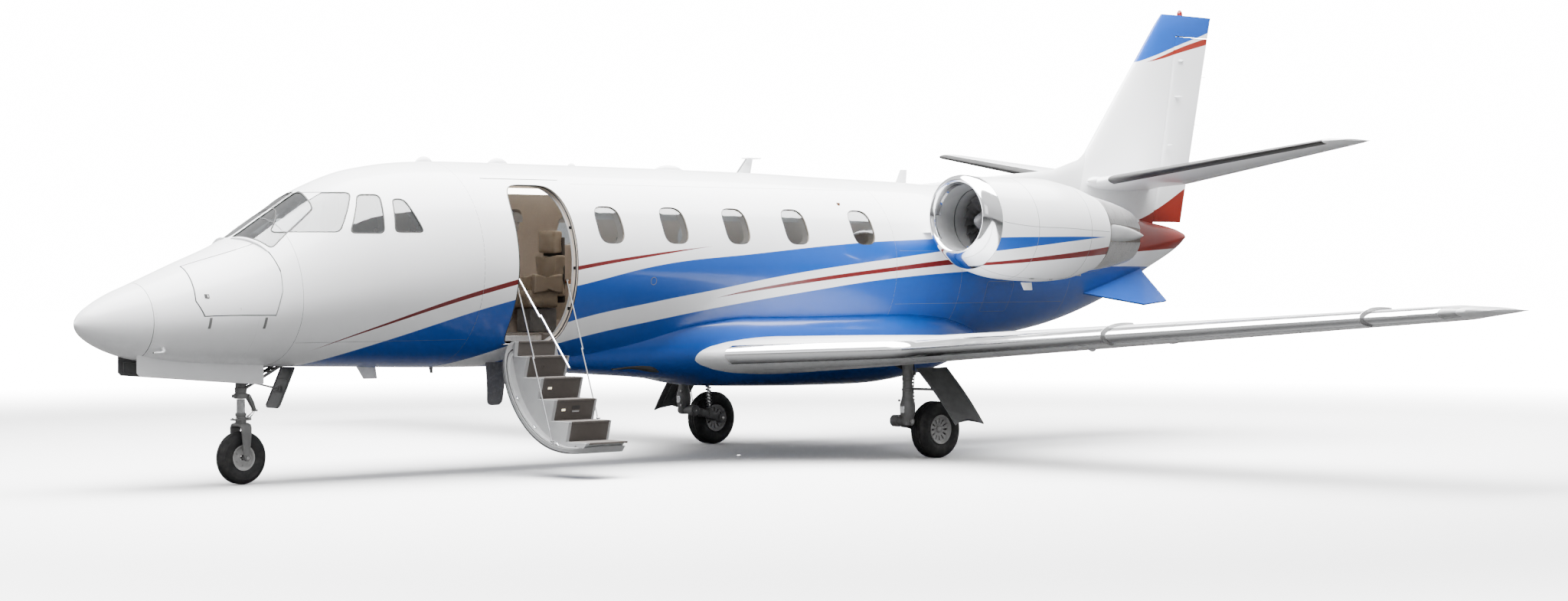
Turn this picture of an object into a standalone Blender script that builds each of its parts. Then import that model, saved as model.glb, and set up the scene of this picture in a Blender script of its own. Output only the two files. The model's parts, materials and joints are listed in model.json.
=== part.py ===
"""Twin-engined business jet, parked on its gear with the airstair down.

Metres, +Z up, the nose towards -X, the door side towards -Y, the ground at Z = 0.
Stations are metres aft of the nose tip: X = station - LENGTH / 2.
"""

import math

import bmesh
import bpy
from mathutils import Matrix, Vector

LENGTH = 16.00
SPAN = 17.17
GAP = 0.0003
CLEAR = 0.007
SIDES = 32

WALL = 0.10
BULKHEAD = 0.05
FLOOR_Z = 1.36
FLOOR_THICK = 0.05
ENTRY_EDGE_Y = -0.44
# Raised floor panels: name, stations, distances from the centre line.
FLOOR_PANELS = (("entry_panel", (4.30, 4.99), (-0.435, 0.50)), ("aisle_panel", (5.04, 9.30), (-0.17, 0.17)))
PANEL_RISE = 0.004

MAIN_WHEEL_S = 9.19
MAIN_WHEEL_Y = 1.80
MAIN_TYRE_R = 0.300
MAIN_TYRE_W = 0.200
NOSE_WHEEL_S = 1.74
NOSE_TYRE_R = 0.250
NOSE_TYRE_W = 0.130
MAIN_RIM_R = 0.150
NOSE_RIM_R = 0.115
MAIN_AXLE_R = 0.030
NOSE_AXLE_R = 0.022
BORE_GAP = 0.0005

# The main gear: the leg's station, the arm's distance out, the shock's ends as (station, z), and the door's
# corners.
LEG_S = 8.775
TRUNNION_Z = 0.40
ARM_Y = 1.635
SHOCK_TOP = (8.985, 0.90)
SHOCK_LOW = (9.02, 0.36)
LEG_DOOR = ((8.80, 1.90, 0.955), (9.26, 1.90, 0.955), (9.28, 2.42, 0.375), (8.86, 2.42, 0.375))
LEG_DOOR_THICK = 0.02
PISTON_TOP = 0.80
# A nose gear door's lower edge as (station, z) at both ends, its distance out and thickness.
NOSE_DOOR_EDGE = ((0.54, 1.045), (1.88, 0.935))
NOSE_DOOR_Y = 0.16
NOSE_DOOR_THICK = 0.015
NOSE_DOOR_TOP = 1.40
# The door behind the nose leg: its hinge and free edge as (station, z), half its width, its thickness.
BRACE_DOOR = ((2.255, 1.12), (2.075, 0.71))
BRACE_DOOR_HALF = 0.12
BRACE_DOOR_THICK = 0.02

ENGINE_Y = 1.62

# The hull's sections: station, crown z, keel z, half width, z where it is widest.
HULL = (
    (0.00, 1.530, 1.510, 0.010, 1.520),
    (0.05, 1.610, 1.430, 0.095, 1.520),
    (0.18, 1.705, 1.335, 0.195, 1.520),
    (0.36, 1.800, 1.255, 0.290, 1.525),
    (0.59, 1.890, 1.192, 0.385, 1.535),
    (1.05, 2.075, 1.140, 0.540, 1.580),
    (1.57, 2.284, 1.115, 0.680, 1.650),
    (2.00, 2.540, 1.100, 0.790, 1.740),
    (2.45, 2.800, 1.085, 0.870, 1.830),
    (3.00, 2.985, 1.070, 0.935, 1.930),
    (3.60, 3.060, 1.050, 0.972, 2.010),
    (4.10, 3.075, 1.040, 0.985, 2.050),
    (8.00, 3.045, 1.015, 0.985, 2.040),
    (9.30, 3.010, 1.020, 0.975, 2.040),
    (10.30, 2.985, 1.060, 0.940, 2.050),
    (11.40, 2.930, 1.160, 0.840, 2.080),
    (12.65, 2.850, 1.322, 0.660, 2.140),
    (13.84, 2.720, 1.638, 0.440, 2.220),
    (14.61, 2.595, 1.970, 0.290, 2.300),
    (15.25, 2.495, 2.245, 0.140, 2.380),
    (15.43, 2.440, 2.350, 0.060, 2.400),
)
# Stations between those rows, where the eased curves bend most.
HULL_BETWEEN = (0.11, 0.27, 0.47, 0.80, 1.30, 1.78, 2.22, 2.72, 3.30, 12.00, 13.25, 14.20, 14.95)
REFINE_OVER = 0.15
RADOME_END = 0.59
NOSE_END = 1.52
COCKPIT_END = 3.86
CABIN_END = 9.45
AFT_END = 12.65
HULL_END = 15.43
# Where the tail cone's hollow ends. Behind it the cone is solid.
TAIL_HOLLOW_END = 14.40

COLOURS = {
    "white": ((0.86, 0.87, 0.88), 0.18, 0.0),
    "blue": ((0.01, 0.12, 0.45), 0.2, 0.0),
    "orange": ((0.75, 0.10, 0.02), 0.25, 0.0),
    "chrome": ((0.75, 0.76, 0.78), 0.08, 1.0),
    "grey": ((0.45, 0.46, 0.47), 0.4, 0.3),
    "steel": ((0.55, 0.55, 0.56), 0.3, 0.9),
    "rubber": ((0.02, 0.02, 0.02), 0.8, 0.0),
    "black": ((0.03, 0.03, 0.03), 0.5, 0.0),
    "glass": ((0.05, 0.06, 0.07), 0.05, 0.0),
    "beige": ((0.55, 0.48, 0.39), 0.6, 0.0),
    "brown": ((0.12, 0.07, 0.04), 0.6, 0.0),
}


def clear_scene():
    for obj in list(bpy.data.objects):
        bpy.data.objects.remove(obj, do_unlink=True)


def x_at(station):
    return station - LENGTH / 2


def material(name, colour):
    base, rough, metal = COLOURS[colour]
    made = bpy.data.materials.new(name)
    made.use_nodes = True
    shader = made.node_tree.nodes["Principled BSDF"]
    shader.inputs["Base Color"].default_value = (*base, 1.0)
    shader.inputs["Roughness"].default_value = rough
    shader.inputs["Metallic"].default_value = metal
    made.diffuse_color = (*base, 1.0)
    return made


def place(obj, colour=None, pivot=None):
    """Links the object, moves its origin to the pivot and gives it its own material."""
    bpy.context.scene.collection.objects.link(obj)
    if pivot is not None:
        obj.data.transform(Matrix.Translation(-Vector(pivot)))
        obj.location = pivot
    if colour:
        obj.data.materials.append(material(obj.name + "_finish", colour))
    obj.data.shade_smooth()
    obj.data.set_sharp_from_angle(angle=math.radians(35))
    return obj


def loft(name, rings, colour=None, pivot=None, closed=False):
    """A closed skin through rings of equally many points. A closed loft is a ring with no end caps."""
    mesh = bpy.data.meshes.new(name)
    bm = bmesh.new()
    rows = [[bm.verts.new(point) for point in ring] for ring in rings]
    pairs = list(zip(rows, rows[1:]))
    if closed:
        pairs.append((rows[-1], rows[0]))
    for one, two in pairs:
        for i in range(len(one)):
            j = (i + 1) % len(one)
            bm.faces.new((one[i], one[j], two[j]))
            bm.faces.new((one[i], two[j], two[i]))
    if not closed:
        bm.faces.new(rows[0])
        bm.faces.new(rows[-1])
    bmesh.ops.recalc_face_normals(bm, faces=bm.faces)
    if bm.calc_volume(signed=True) < 0:
        bmesh.ops.reverse_faces(bm, faces=bm.faces)
    bm.to_mesh(mesh)
    bm.free()
    return place(bpy.data.objects.new(name, mesh), colour, pivot)


def boolean(obj, other, operation="DIFFERENCE"):
    cut = obj.modifiers.new(operation.title(), "BOOLEAN")
    cut.operation = operation
    cut.object = other
    cut.solver = "EXACT"
    other.hide_render = True
    other.display_type = "WIRE"
    return obj


def applied(obj):
    """Replaces the object's mesh by its evaluated mesh, so that later cuts start from plain geometry."""
    bpy.context.view_layer.update()
    graph = bpy.context.evaluated_depsgraph_get()
    mesh = bpy.data.meshes.new_from_object(obj.evaluated_get(graph))
    helpers = [m.object for m in obj.modifiers if m.type == "BOOLEAN"]
    obj.modifiers.clear()
    old = obj.data
    obj.data = mesh
    bpy.data.meshes.remove(old)
    for helper in set(helpers):
        bpy.data.objects.remove(helper, do_unlink=True)
    return obj


def box(name, low, high, colour=None, pivot=None):
    (x0, y0, z0), (x1, y1, z1) = low, high
    ends = [[(x, y0, z0), (x, y1, z0), (x, y1, z1), (x, y0, z1)] for x in (x0, x1)]
    return loft(name, ends, colour, pivot)


def prism(name, outline, y0, y1, colour=None, pivot=None):
    """An outline of (x, z) points swept from y0 to y1."""
    return loft(name, [[(x, y, z) for x, z in outline] for y in (y0, y1)], colour, pivot)


def rod(name, start, end, radius, sides=12, colour=None, pivot=None, grow=0.0):
    """A round bar between two points. Grown, it is thicker and longer by that much all round."""
    start, end = Vector(start), Vector(end)
    along = (end - start).normalized()
    side = Vector((1, 0, 0)) if abs(along.x) < 1e-6 else along.orthogonal().normalized()
    up = along.cross(side)
    turn = [2 * math.pi * (i + 0.5) / sides for i in range(sides)]
    rings = []
    for centre in (start - along * grow, end + along * grow):
        arms = [(radius + grow) * (math.cos(a) * side + math.sin(a) * up) for a in turn]
        rings.append([centre + arm for arm in arms])
    return loft(name, rings, colour, pivot)


def turned(name, profile, centre, sides, colour=None, axis="X", closed=False, start=0.0):
    """Turns (along, radius) points about an axis through the centre, the first at the start angle. A closed
    profile makes a ring."""
    cx, cy, cz = centre
    rings = []
    for along, radius in profile:
        ring = []
        for i in range(sides):
            a = start + 2 * math.pi * i / sides
            c, s = radius * math.cos(a), radius * math.sin(a)
            ring.append((cx + along, cy + c, cz + s) if axis == "X" else (cx + c, cy + along, cz + s))
        rings.append(ring)
    return loft(name, rings, colour, centre, closed)


def joined(name, pieces, colour=None, pivot=None):
    """One object from pieces that overlap, by Boolean unions."""
    first, *rest = pieces
    for piece in rest:
        boolean(first, piece, "UNION")
    applied(first)
    first.name = name
    first.data.name = name
    first.data.materials.clear()
    world = first.matrix_world.copy()
    first.data.transform(world)
    first.matrix_world = Matrix.Identity(4)
    bpy.context.scene.collection.objects.unlink(first)
    return place(first, colour, pivot)


def between(table, station, column):
    """The table's column at a station, on straight lines between its rows."""
    for low, high in zip(table, table[1:]):
        if low[0] <= station <= high[0]:
            part = (station - low[0]) / (high[0] - low[0])
            return low[column] + part * (high[column] - low[column])
    return table[0][column] if station < table[0][0] else table[-1][column]


def eased(table, station, column):
    """The table's column at a station, on cubic arcs through its rows whose slopes never overshoot."""
    gaps = [high[0] - low[0] for low, high in zip(table, table[1:])]
    slopes = [(high[column] - low[column]) / gap for low, high, gap in zip(table, table[1:], gaps)]
    place_in = sum(row[0] <= station for row in table[1:-1])

    def tangent(row):
        if row in (0, len(table) - 1):
            return slopes[0 if row == 0 else -1]
        before, after = slopes[row - 1], slopes[row]
        if before * after <= 0:
            return 0.0
        near, far = 2 * gaps[row] + gaps[row - 1], gaps[row] + 2 * gaps[row - 1]
        return (near + far) / (near / before + far / after)

    low, high, gap = table[place_in], table[place_in + 1], gaps[place_in]
    t = (station - low[0]) / gap
    start = low[column] * (1 + 2 * t) * (1 - t) ** 2 + tangent(place_in) * gap * t * (1 - t) ** 2
    return start + high[column] * t**2 * (3 - 2 * t) + tangent(place_in + 1) * gap * t**2 * (t - 1)


def refined(table):
    """The table's rows with a row on the eased curve between each two that lie far enough apart."""
    rows = [table[0]]
    for low, high in zip(table, table[1:]):
        if high[0] - low[0] > REFINE_OVER:
            middle = (low[0] + high[0]) / 2
            rows.append((middle, *(eased(table, middle, column) for column in range(1, len(low)))))
        rows.append(high)
    return rows


def hull_ring(station, inset=0.0, sides=SIDES):
    crown, keel, half, widest = (eased(HULL, station, c) for c in (1, 2, 3, 4))
    ring = []
    for i in range(sides):
        a = 2 * math.pi * i / sides
        height = (crown - widest if math.sin(a) > 0 else widest - keel) - inset
        ring.append((x_at(station), (half - inset) * math.cos(a), widest + height * math.sin(a)))
    return ring


def hull_half_width(station, z):
    crown, keel, half, widest = (eased(HULL, station, c) for c in (1, 2, 3, 4))
    height = crown - widest if z > widest else widest - keel
    return half * math.sqrt(max(0.0, 1 - ((z - widest) / height) ** 2))


def hull_stations(start, end):
    """Every hull is lofted through the same stations, so that neighbours and cutters share their facets."""
    every = sorted({row[0] for row in HULL} | {NOSE_END, COCKPIT_END, CABIN_END, *HULL_BETWEEN})
    return [start, *(s for s in every if start + 0.02 < s < end - 0.02), end]


def hull_solid(name, start, end, colour=None, inset=0.0):
    return loft(name, [hull_ring(s, inset) for s in hull_stations(start, end)], colour)


def section_half(chord, thick, share):
    """Half the thickness of a symmetric four-digit section at a share of its chord."""
    root = 0.2969 * math.sqrt(share) - 0.1260 * share - 0.3516 * share**2
    root += 0.2843 * share**3 - 0.1036 * share**4
    return max(5 * thick * root * chord, TRAILING_HALF)


def airfoil(chord, thick, points=9):
    """Upper then lower points (along the chord, height) of the section, closer together at its nose."""
    stops = [1 - math.cos(math.pi / 2 * i / (points - 1)) for i in range(points)]
    upper = [(f * chord, section_half(chord, thick, f)) for f in stops]
    return upper + [(along, -height) for along, height in upper[:0:-1]]


def control_outline(chord, thick, hinge):
    """A control surface's section about its hinge: a round nose, then straight to the trailing edge."""
    radius = section_half(chord, thick, hinge)
    nose = []
    for i in range(7):
        a = math.pi / 2 + math.pi * i / 6
        nose.append((hinge * chord + radius * math.cos(a), radius * math.sin(a)))
    return [(chord, 2 * TRAILING_HALF), *nose, (chord, -2 * TRAILING_HALF)]


# The wing's rows: distance from the centre line, leading edge station, trailing edge station, chord z,
# thickness, rise of the leading edge. The hinge lines are straight because z and the trailing edge are.
WING = (
    (0.60, 6.47, 10.160, 1.057, 0.115, 0.050),
    (0.95, 6.80, 10.158, 1.082, 0.115, 0.038),
    (2.30, 8.18, 10.152, 1.175, 0.140, 0.000),
    (8.30, 8.95, 10.120, 1.590, 0.120, 0.000),
    (8.50, 9.08, 10.080, 1.605, 0.090, 0.000),
    (SPAN / 2, 9.35, 9.980, 1.612, 0.030, 0.000),
)
WING_ROOT_Y = 0.80
FLAP = {"inner": 1.10, "outer": 5.45, "chord": 0.50}
AILERON = {"inner": 5.50, "outer": 8.10, "chord": 0.34}
END_GAP = 0.012
TRAILING_HALF = 0.0015
RISE_SHARE = 0.8
SLOT_OVER = 0.2
SLOT_HALF = 0.3
PIN_R = 0.008
PIN_ROOT = 0.03
PIN_GAP = 0.0012
# The wing fences: distances out, reach over and under the wing, how far they stand proud.
FENCES = (4.75, 7.55)
FENCE_TOP = 0.45
FENCE_UNDER = 0.15
FENCE_PROUD = 0.036
FENCE_THICK = 0.008

# The tailplane's rows, as the wing's.
TAILPLANE = (
    (0.02, 13.55, 15.30, 3.020, 0.100, 0.0),
    (3.05, 14.24, 15.02, 3.455, 0.090, 0.0),
    (3.20, 14.48, 14.96, 3.475, 0.040, 0.0),
)
ELEVATOR = {"inner": 0.24, "outer": 2.98, "share": 0.30}

# The fin's rows: z, leading edge station, hinge station, trailing edge station, thickness.
FIN = (
    (2.56, 13.10, 14.86, 15.40, 0.105),
    (3.40, 13.62, 15.02, 15.59, 0.110),
    (5.02, 14.92, 15.335, 15.965, 0.100),
    (5.15, 15.04, 15.36, LENGTH, 0.060),
)
RUDDER_LOW = 2.575
RUDDER_HIGH = 4.88
BEACON_S = 15.40
RIDGE_HALF = 0.075
DORSAL = (
    (10.72, 2.96),
    (11.75, 3.064),
    (13.03, 3.179),
    (13.52, 3.319),
    (13.72, 3.50),
    (14.10, 2.62),
    (10.72, 2.60),
)

# The wing fairing's rows: station, half width, keel z, top z.
FAIRING = (
    (4.85, 0.28, 0.990, 1.20),
    (5.90, 0.58, 0.925, 1.45),
    (6.85, 0.88, 0.850, 1.62),
    (7.40, 0.96, 0.765, 1.66),
    (9.40, 0.96, 0.730, 1.66),
    (10.20, 0.88, 0.800, 1.62),
    (11.00, 0.60, 0.980, 1.45),
    (11.40, 0.34, 1.090, 1.30),
)

# The nacelle's rows: station, radius, z of its centre.
NACELLE = (
    (9.70, 0.405, 2.568),
    (9.74, 0.450, 2.560),
    (9.95, 0.512, 2.490),
    (10.40, 0.557, 2.443),
    (10.90, 0.571, 2.430),
    (11.35, 0.530, 2.410),
    (11.72, 0.440, 2.400),
)
FAN_S = 10.20
FAN_Z = 2.520
FAN_R = 0.335
FAN_HALF = 0.04
INLET = ((9.69, 0.385, 2.568), (9.80, 0.345, 2.562), (10.08, 0.345, FAN_Z), (10.28, 0.345, FAN_Z))
NOZZLE = ((NACELLE[-1][0] + GAP, 0.420, 2.400), (12.10, 0.370, 2.385), (12.40, 0.300, 2.370))
BORE = ((11.95, 0.340, 2.390), (12.50, 0.250, 2.370))
# The side arm of the thrust reverser, seen from the side: (station, z).
STANG_REACH = (0.25, 0.43)
FAN_SHAFT = (0.15, 0.06)
# The pylon at the hull and in the nacelle: distance out, front and rear stations, half thickness.
PYLON = ((0.70, 9.95, 12.20, 0.10), (1.30, 10.35, 11.60, 0.08))
PYLON_Z = 2.42
PYLON_NOSE = 0.35
PYLON_TAIL = 0.50
STANG = ((11.73, 2.30), (11.73, 2.52), (12.05, 2.50), (12.40, 2.42), (12.43, 2.37), (12.38, 2.31))


def wing_rows(table, low, high):
    """The rows between two distances from the centre line, with rows worked out at both."""
    inner = [row for row in table if low + 0.01 < row[0] < high - 0.01]

    def row_at(y):
        return (y, *(between(table, y, column) for column in range(1, 6)))

    return [row_at(low), *inner, row_at(high)]


def grown(along, height, chord, grow):
    """A section's point moved out by about the given length."""
    return along * (1 + 2 * grow / chord) - grow, height + math.copysign(grow, height)


def wing_ring(row, side, grow=0.0):
    y, front, rear, z, thick, rise = row
    chord = rear - front
    ring = []
    for along, height in airfoil(chord, thick):
        lift = rise * max(0.0, 1 - along / chord / RISE_SHARE)
        along, height = grown(along, height, chord, grow)
        ring.append((x_at(front + along), side * y, z + lift + height))
    return ring


def wing_solid(name, table, side, low, high, colour=None, grow=0.0):
    return loft(name, [wing_ring(row, side, grow) for row in wing_rows(table, low, high)], colour)


def control_sections(table, low, high, chord):
    """Rows between two distances: y, leading edge, whole chord, thickness, z, the surface's own chord."""
    for y, front, rear, z, thick, _ in wing_rows(table, low, high):
        yield y, front, rear - front, thick, z, chord(y)


def control_surface(name, table, side, low, high, chord, colour):
    """A flap, aileron or elevator: a round nose about its hinge line, tapering to the trailing edge."""
    rings = []
    for y, front, whole, thick, z, depth in control_sections(table, low, high, chord):
        outline = control_outline(whole, thick, 1 - depth / whole)
        rings.append([(x_at(front + along), side * y, z + height) for along, height in outline])
    return loft(name, rings, colour, hinge_point(table, low, chord, side))


def hinge_point(table, y, chord, side):
    return (x_at(between(table, y, 2) - chord(y)), side * y, between(table, y, 3))


def control_slot(name, table, side, low, high, chord):
    """What is cut from a wing for a control surface: all behind its nose, with the running gap."""
    rings = []
    for y, front, whole, thick, z, depth in control_sections(table, low, high, chord):
        x0 = x_at(front + whole - depth - section_half(whole, thick, 1 - depth / whole) - CLEAR)
        x1 = x_at(front + whole + SLOT_OVER)
        corners = ((x0, -SLOT_HALF), (x1, -SLOT_HALF), (x1, SLOT_HALF), (x0, SLOT_HALF))
        rings.append([(x, side * y, z + height) for x, height in corners])
    return loft(name, rings)


def hinge_pin(table, side, edge, toward, chord):
    """A pin on the hinge line, from within the wing past a slot's end to the end face of its surface."""
    start = Vector(hinge_point(table, edge - toward * PIN_ROOT, chord, side))
    end = Vector(hinge_point(table, edge + toward * (END_GAP - PIN_GAP), chord, side))
    return rod("hinge_pin", start, end, PIN_R, 10)


def add_surfaces(wing, table, side, surfaces):
    """Cuts the slots, adds their pins and makes the surfaces: name, inner and outer y, chord, pin ends."""
    for name, low, high, chord, ends in surfaces:
        inner = low - END_GAP if "inner" in ends else -END_GAP
        boolean(wing, control_slot("slot", table, side, inner, high + END_GAP, chord))
        applied(wing)
        if "inner" in ends:
            boolean(wing, hinge_pin(table, side, low - END_GAP, 1, chord), "UNION")
        boolean(wing, hinge_pin(table, side, high + END_GAP, -1, chord), "UNION")
        applied(wing)
        control_surface(name, table, side, low, high, chord, "white")


def fence(side, y):
    """A thin plate that wraps the leading edge: longer on top, proud of the section all round."""
    front, rear, z, thick = (between(WING, y, column) for column in (1, 2, 3, 4))
    chord = rear - front
    top = [FENCE_TOP * (1 - math.cos(math.pi / 2 * i / 7)) for i in range(8)]
    under = [FENCE_UNDER * (1 - math.cos(math.pi / 2 * i / 4)) for i in range(5)]
    outer = [(along, section_half(chord, thick, along / chord)) for along in top[:0:-1]]
    outer += [(along, -section_half(chord, thick, along / chord)) for along in under]
    tips = len(outer) - 1
    points = []
    for i, (along, height) in enumerate(outer):
        proud = FENCE_PROUD * math.sin(math.pi * (0.08 + 0.84 * i / tips)) ** 0.5
        ahead = proud * max(0.0, 1 - along / FENCE_UNDER)
        points.append((x_at(front + along - ahead), z + height + math.copysign(proud - ahead / 2, height)))
    points += [(x_at(front + FENCE_UNDER), z), (x_at(front + FENCE_TOP), z)]
    low, high = side * y, side * (y + FENCE_THICK)
    return prism("fence", points, low, high)


def build_wing(word, side):
    wing = wing_solid("wing_" + word, WING, side, WING_ROOT_Y, SPAN / 2, "white")
    for y in FENCES:
        boolean(wing, fence(side, y), "UNION")
    applied(wing)
    both = ("inner", "outer")
    add_surfaces(
        wing,
        WING,
        side,
        (
            ("flap_" + word, FLAP["inner"], FLAP["outer"], lambda y: FLAP["chord"], both),
            ("aileron_" + word, AILERON["inner"], AILERON["outer"], lambda y: AILERON["chord"], both),
        ),
    )


def elevator_chord(y):
    return ELEVATOR["share"] * (between(TAILPLANE, y, 2) - between(TAILPLANE, y, 1))


def fin_ring(row, grow=0.0):
    z, front, hinge, rear, thick = row
    chord = rear - front
    points = [grown(along, height, chord, grow) for along, height in airfoil(chord, thick)]
    return [(x_at(front + along), height, z) for along, height in points]


def fin_rows(low, high):
    inner = [row for row in FIN if low + 0.01 < row[0] < high - 0.01]
    ends = [(z, *(between(FIN, z, column) for column in range(1, 5))) for z in (low, high)]
    return [ends[0], *inner, ends[1]]


def rudder_hinge(z):
    return Vector((x_at(between(FIN, z, 2)), 0.0, z))


def build_fin():
    fin = loft("fin", [fin_ring(row) for row in fin_rows(FIN[0][0], FIN[-1][0])], "white")
    rings = []
    for z, front, hinge, rear, thick in fin_rows(RUDDER_LOW - 0.2, RUDDER_HIGH + END_GAP):
        x0 = x_at(hinge - section_half(rear - front, thick, (hinge - front) / (rear - front)) - CLEAR)
        x1 = x_at(rear + SLOT_OVER)
        corners = ((x0, -SLOT_HALF), (x1, -SLOT_HALF), (x1, SLOT_HALF), (x0, SLOT_HALF))
        rings.append([(x, y, z) for x, y in corners])
    boolean(fin, loft("rudder_slot", rings))
    applied(fin)
    boolean(fin, prism("ridge", [(x_at(s), z) for s, z in DORSAL], -RIDGE_HALF, RIDGE_HALF), "UNION")
    boolean(fin, hull_solid("hull_for_fin", CABIN_END, HULL_END, inset=-GAP))
    applied(fin)
    pin_top, pin_end = rudder_hinge(RUDDER_HIGH + END_GAP + PIN_ROOT), rudder_hinge(RUDDER_HIGH + 2 * PIN_GAP)
    boolean(fin, rod("rudder_pin", pin_top, pin_end, PIN_R, 10), "UNION")
    applied(fin)
    build_rudder()
    for word, side in (("left", -1), ("right", 1)):
        half = wing_solid("tailplane_" + word, TAILPLANE, side, TAILPLANE[0][0], TAILPLANE[-1][0], "white")
        boolean(half, loft("fin_grown", [fin_ring(row, grow=GAP) for row in fin_rows(FIN[0][0], FIN[-1][0])]))
        applied(half)
        elevator = ("elevator_" + word, ELEVATOR["inner"], ELEVATOR["outer"], elevator_chord, ("outer",))
        add_surfaces(half, TAILPLANE, side, (elevator,))
    build_beacon()


def build_rudder():
    rings = []
    for z, front, hinge, rear, thick in fin_rows(RUDDER_LOW, RUDDER_HIGH):
        outline = control_outline(rear - front, thick, (hinge - front) / (rear - front))
        rings.append([(x_at(front + along), height, z) for along, height in outline])
    loft("rudder", rings, "white", rudder_hinge(RUDDER_LOW))


def build_beacon():
    """The anti-collision light, a small dome on the fin's tip."""
    profile = ((0.0, 0.035), (0.05, 0.03), (0.075, 0.012))
    foot = Vector((x_at(BEACON_S), 0, FIN[-1][0] + GAP))
    rings = []
    for height, radius in profile:
        turn = [2 * math.pi * i / 12 for i in range(12)]
        rings.append([foot + Vector((radius * math.cos(a), radius * math.sin(a), height)) for a in turn])
    loft("beacon", rings, "black", foot)


def fairing_ring(row):
    station, half, keel, top = row
    middle = (keel + top) / 2
    height = (top - keel) / 2
    ring = []
    for i in range(SIDES):
        a = 2 * math.pi * i / SIDES
        c, s = math.cos(a), math.sin(a)
        ring.append(
            (
                x_at(station),
                half * math.copysign(abs(c) ** 0.75, c),
                middle + height * math.copysign(abs(s) ** 0.75, s),
            )
        )
    return ring


def build_hull():
    hull_solid("radome", 0.0, RADOME_END - GAP, "white")
    hull_solid("nose_section", RADOME_END, NOSE_END - GAP, "white")
    cockpit = hull_solid("cockpit_section", NOSE_END, COCKPIT_END - GAP, "white")
    boolean(cockpit, hull_solid("cockpit_hollow", NOSE_END + BULKHEAD, COCKPIT_END + 0.01, inset=WALL))
    cabin = hull_solid("cabin_shell", COCKPIT_END, CABIN_END - GAP, "white")
    boolean(cabin, hull_solid("cabin_hollow", COCKPIT_END - 0.01, CABIN_END - BULKHEAD, inset=WALL))
    applied(cockpit)
    applied(cabin)
    for word, side in (("left", -1), ("right", 1)):
        for section in (bpy.data.objects["nose_section"], cockpit):
            cut_all(section, [bay_recess(side)])
        build_bay_door(word, side)
    cut_cabin_windows(cabin)
    cut_cockpit_windows(cockpit)
    cut_doorway(cabin)
    aft = hull_solid("aft_fuselage", CABIN_END, AFT_END - GAP, "white")
    boolean(aft, hull_solid("aft_hollow", CABIN_END - 0.01, AFT_END - BULKHEAD, inset=WALL))
    applied(aft)
    tail = hull_solid("tail_cone", AFT_END, HULL_END, "white")
    for side in (-1, 1):
        boolean(tail, strake(side), "UNION")
    applied(tail)
    boolean(tail, hull_solid("tail_hollow", AFT_END - 0.01, TAIL_HOLLOW_END, inset=WALL))
    applied(tail)
    fairing = loft("belly_fairing", [fairing_ring(row) for row in refined(FAIRING)], "blue")
    boolean(fairing, hull_solid("hull_grown", COCKPIT_END, AFT_END, inset=-GAP))
    for side in (-1, 1):
        boolean(fairing, wing_solid("wing_grown", WING, side, WING_ROOT_Y - GAP, 2.30, grow=2 * GAP))
    applied(fairing)


# The nose baggage door's outline on the hull, as (station, distance from the centre line, z). The first and
# the last corner are the ends of its hinge.
BAY_DOOR = (
    (1.005, 0.132, 2.041),
    (0.958, 0.482, 1.721),
    (1.023, 0.531, 1.582),
    (1.682, 0.699, 1.583),
    (1.747, 0.715, 1.807),
    (1.761, 0.657, 1.997),
    (1.707, 0.357, 2.274),
)
BAY_DOOR_THICK = 0.020
BAY_SHRINK = 0.030
# How far the hinge line stands proud of the door's edge: out and up.
BAY_HINGE_PROUD = (0.008, 0.014)
BAY_SWEEP = Vector((0.0, 0.32, 0.26))


def bay_prism(side, shrink=0.0):
    """The door's outline swept through the skin, out to the side and up."""
    points = [Vector((x_at(s), side * y, z)) for s, y, z in BAY_DOOR]
    centre = sum(points, Vector()) / len(points)
    points = [point + (centre - point) * shrink for point in points]
    out = Vector((0.0, side * BAY_SWEEP.y, BAY_SWEEP.z))
    return loft("bay_prism", [[point + way * out for point in points] for way in (-1, 1)])


def bay_recess(side):
    recess = hull_solid("bay_recess", RADOME_END, COCKPIT_END, inset=-0.02)
    depth = BAY_DOOR_THICK + 2 * GAP
    boolean(recess, hull_solid("bay_floor", RADOME_END - 0.01, COCKPIT_END + 0.01, inset=depth))
    boolean(recess, bay_prism(side), "INTERSECT")
    return applied(recess)


def build_bay_door(word, side):
    door = hull_solid("baggage_door_" + word, RADOME_END, COCKPIT_END, "white")
    boolean(door, hull_solid("bay_inner", RADOME_END - 0.01, COCKPIT_END + 0.01, inset=BAY_DOOR_THICK))
    boolean(door, bay_prism(side, shrink=BAY_SHRINK), "INTERSECT")
    applied(door)
    ends = [Vector((x_at(s), side * y, z)) for s, y, z in (BAY_DOOR[0], BAY_DOOR[-1])]
    hinge = (ends[0] + ends[1]) / 2 + Vector((0, side * BAY_HINGE_PROUD[0], BAY_HINGE_PROUD[1]))
    door.data.transform(Matrix.Translation(-hinge))
    door.location = hinge
    return door


STRAKE = ((12.76, 0.36, 1.76), (14.30, 0.22, 2.05), (14.24, 0.75, 1.610), (13.83, 0.75, 1.570))
STRAKE_THICK = 0.02


def strake(side):
    rings = []
    for lift in (-STRAKE_THICK / 2, STRAKE_THICK / 2):
        rings.append([(x_at(s), side * (y + lift * 0.6), z + lift * 0.8) for s, y, z in STRAKE])
    return loft("strake", rings)


WINDOW_STATIONS = (5.47, 6.32, 7.17, 8.01, 9.00)
FAR_WINDOW_STATIONS = (4.62, *WINDOW_STATIONS)
WINDOW_Z = 2.45
WINDOW_SIZE = (0.33, 0.37)


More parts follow.
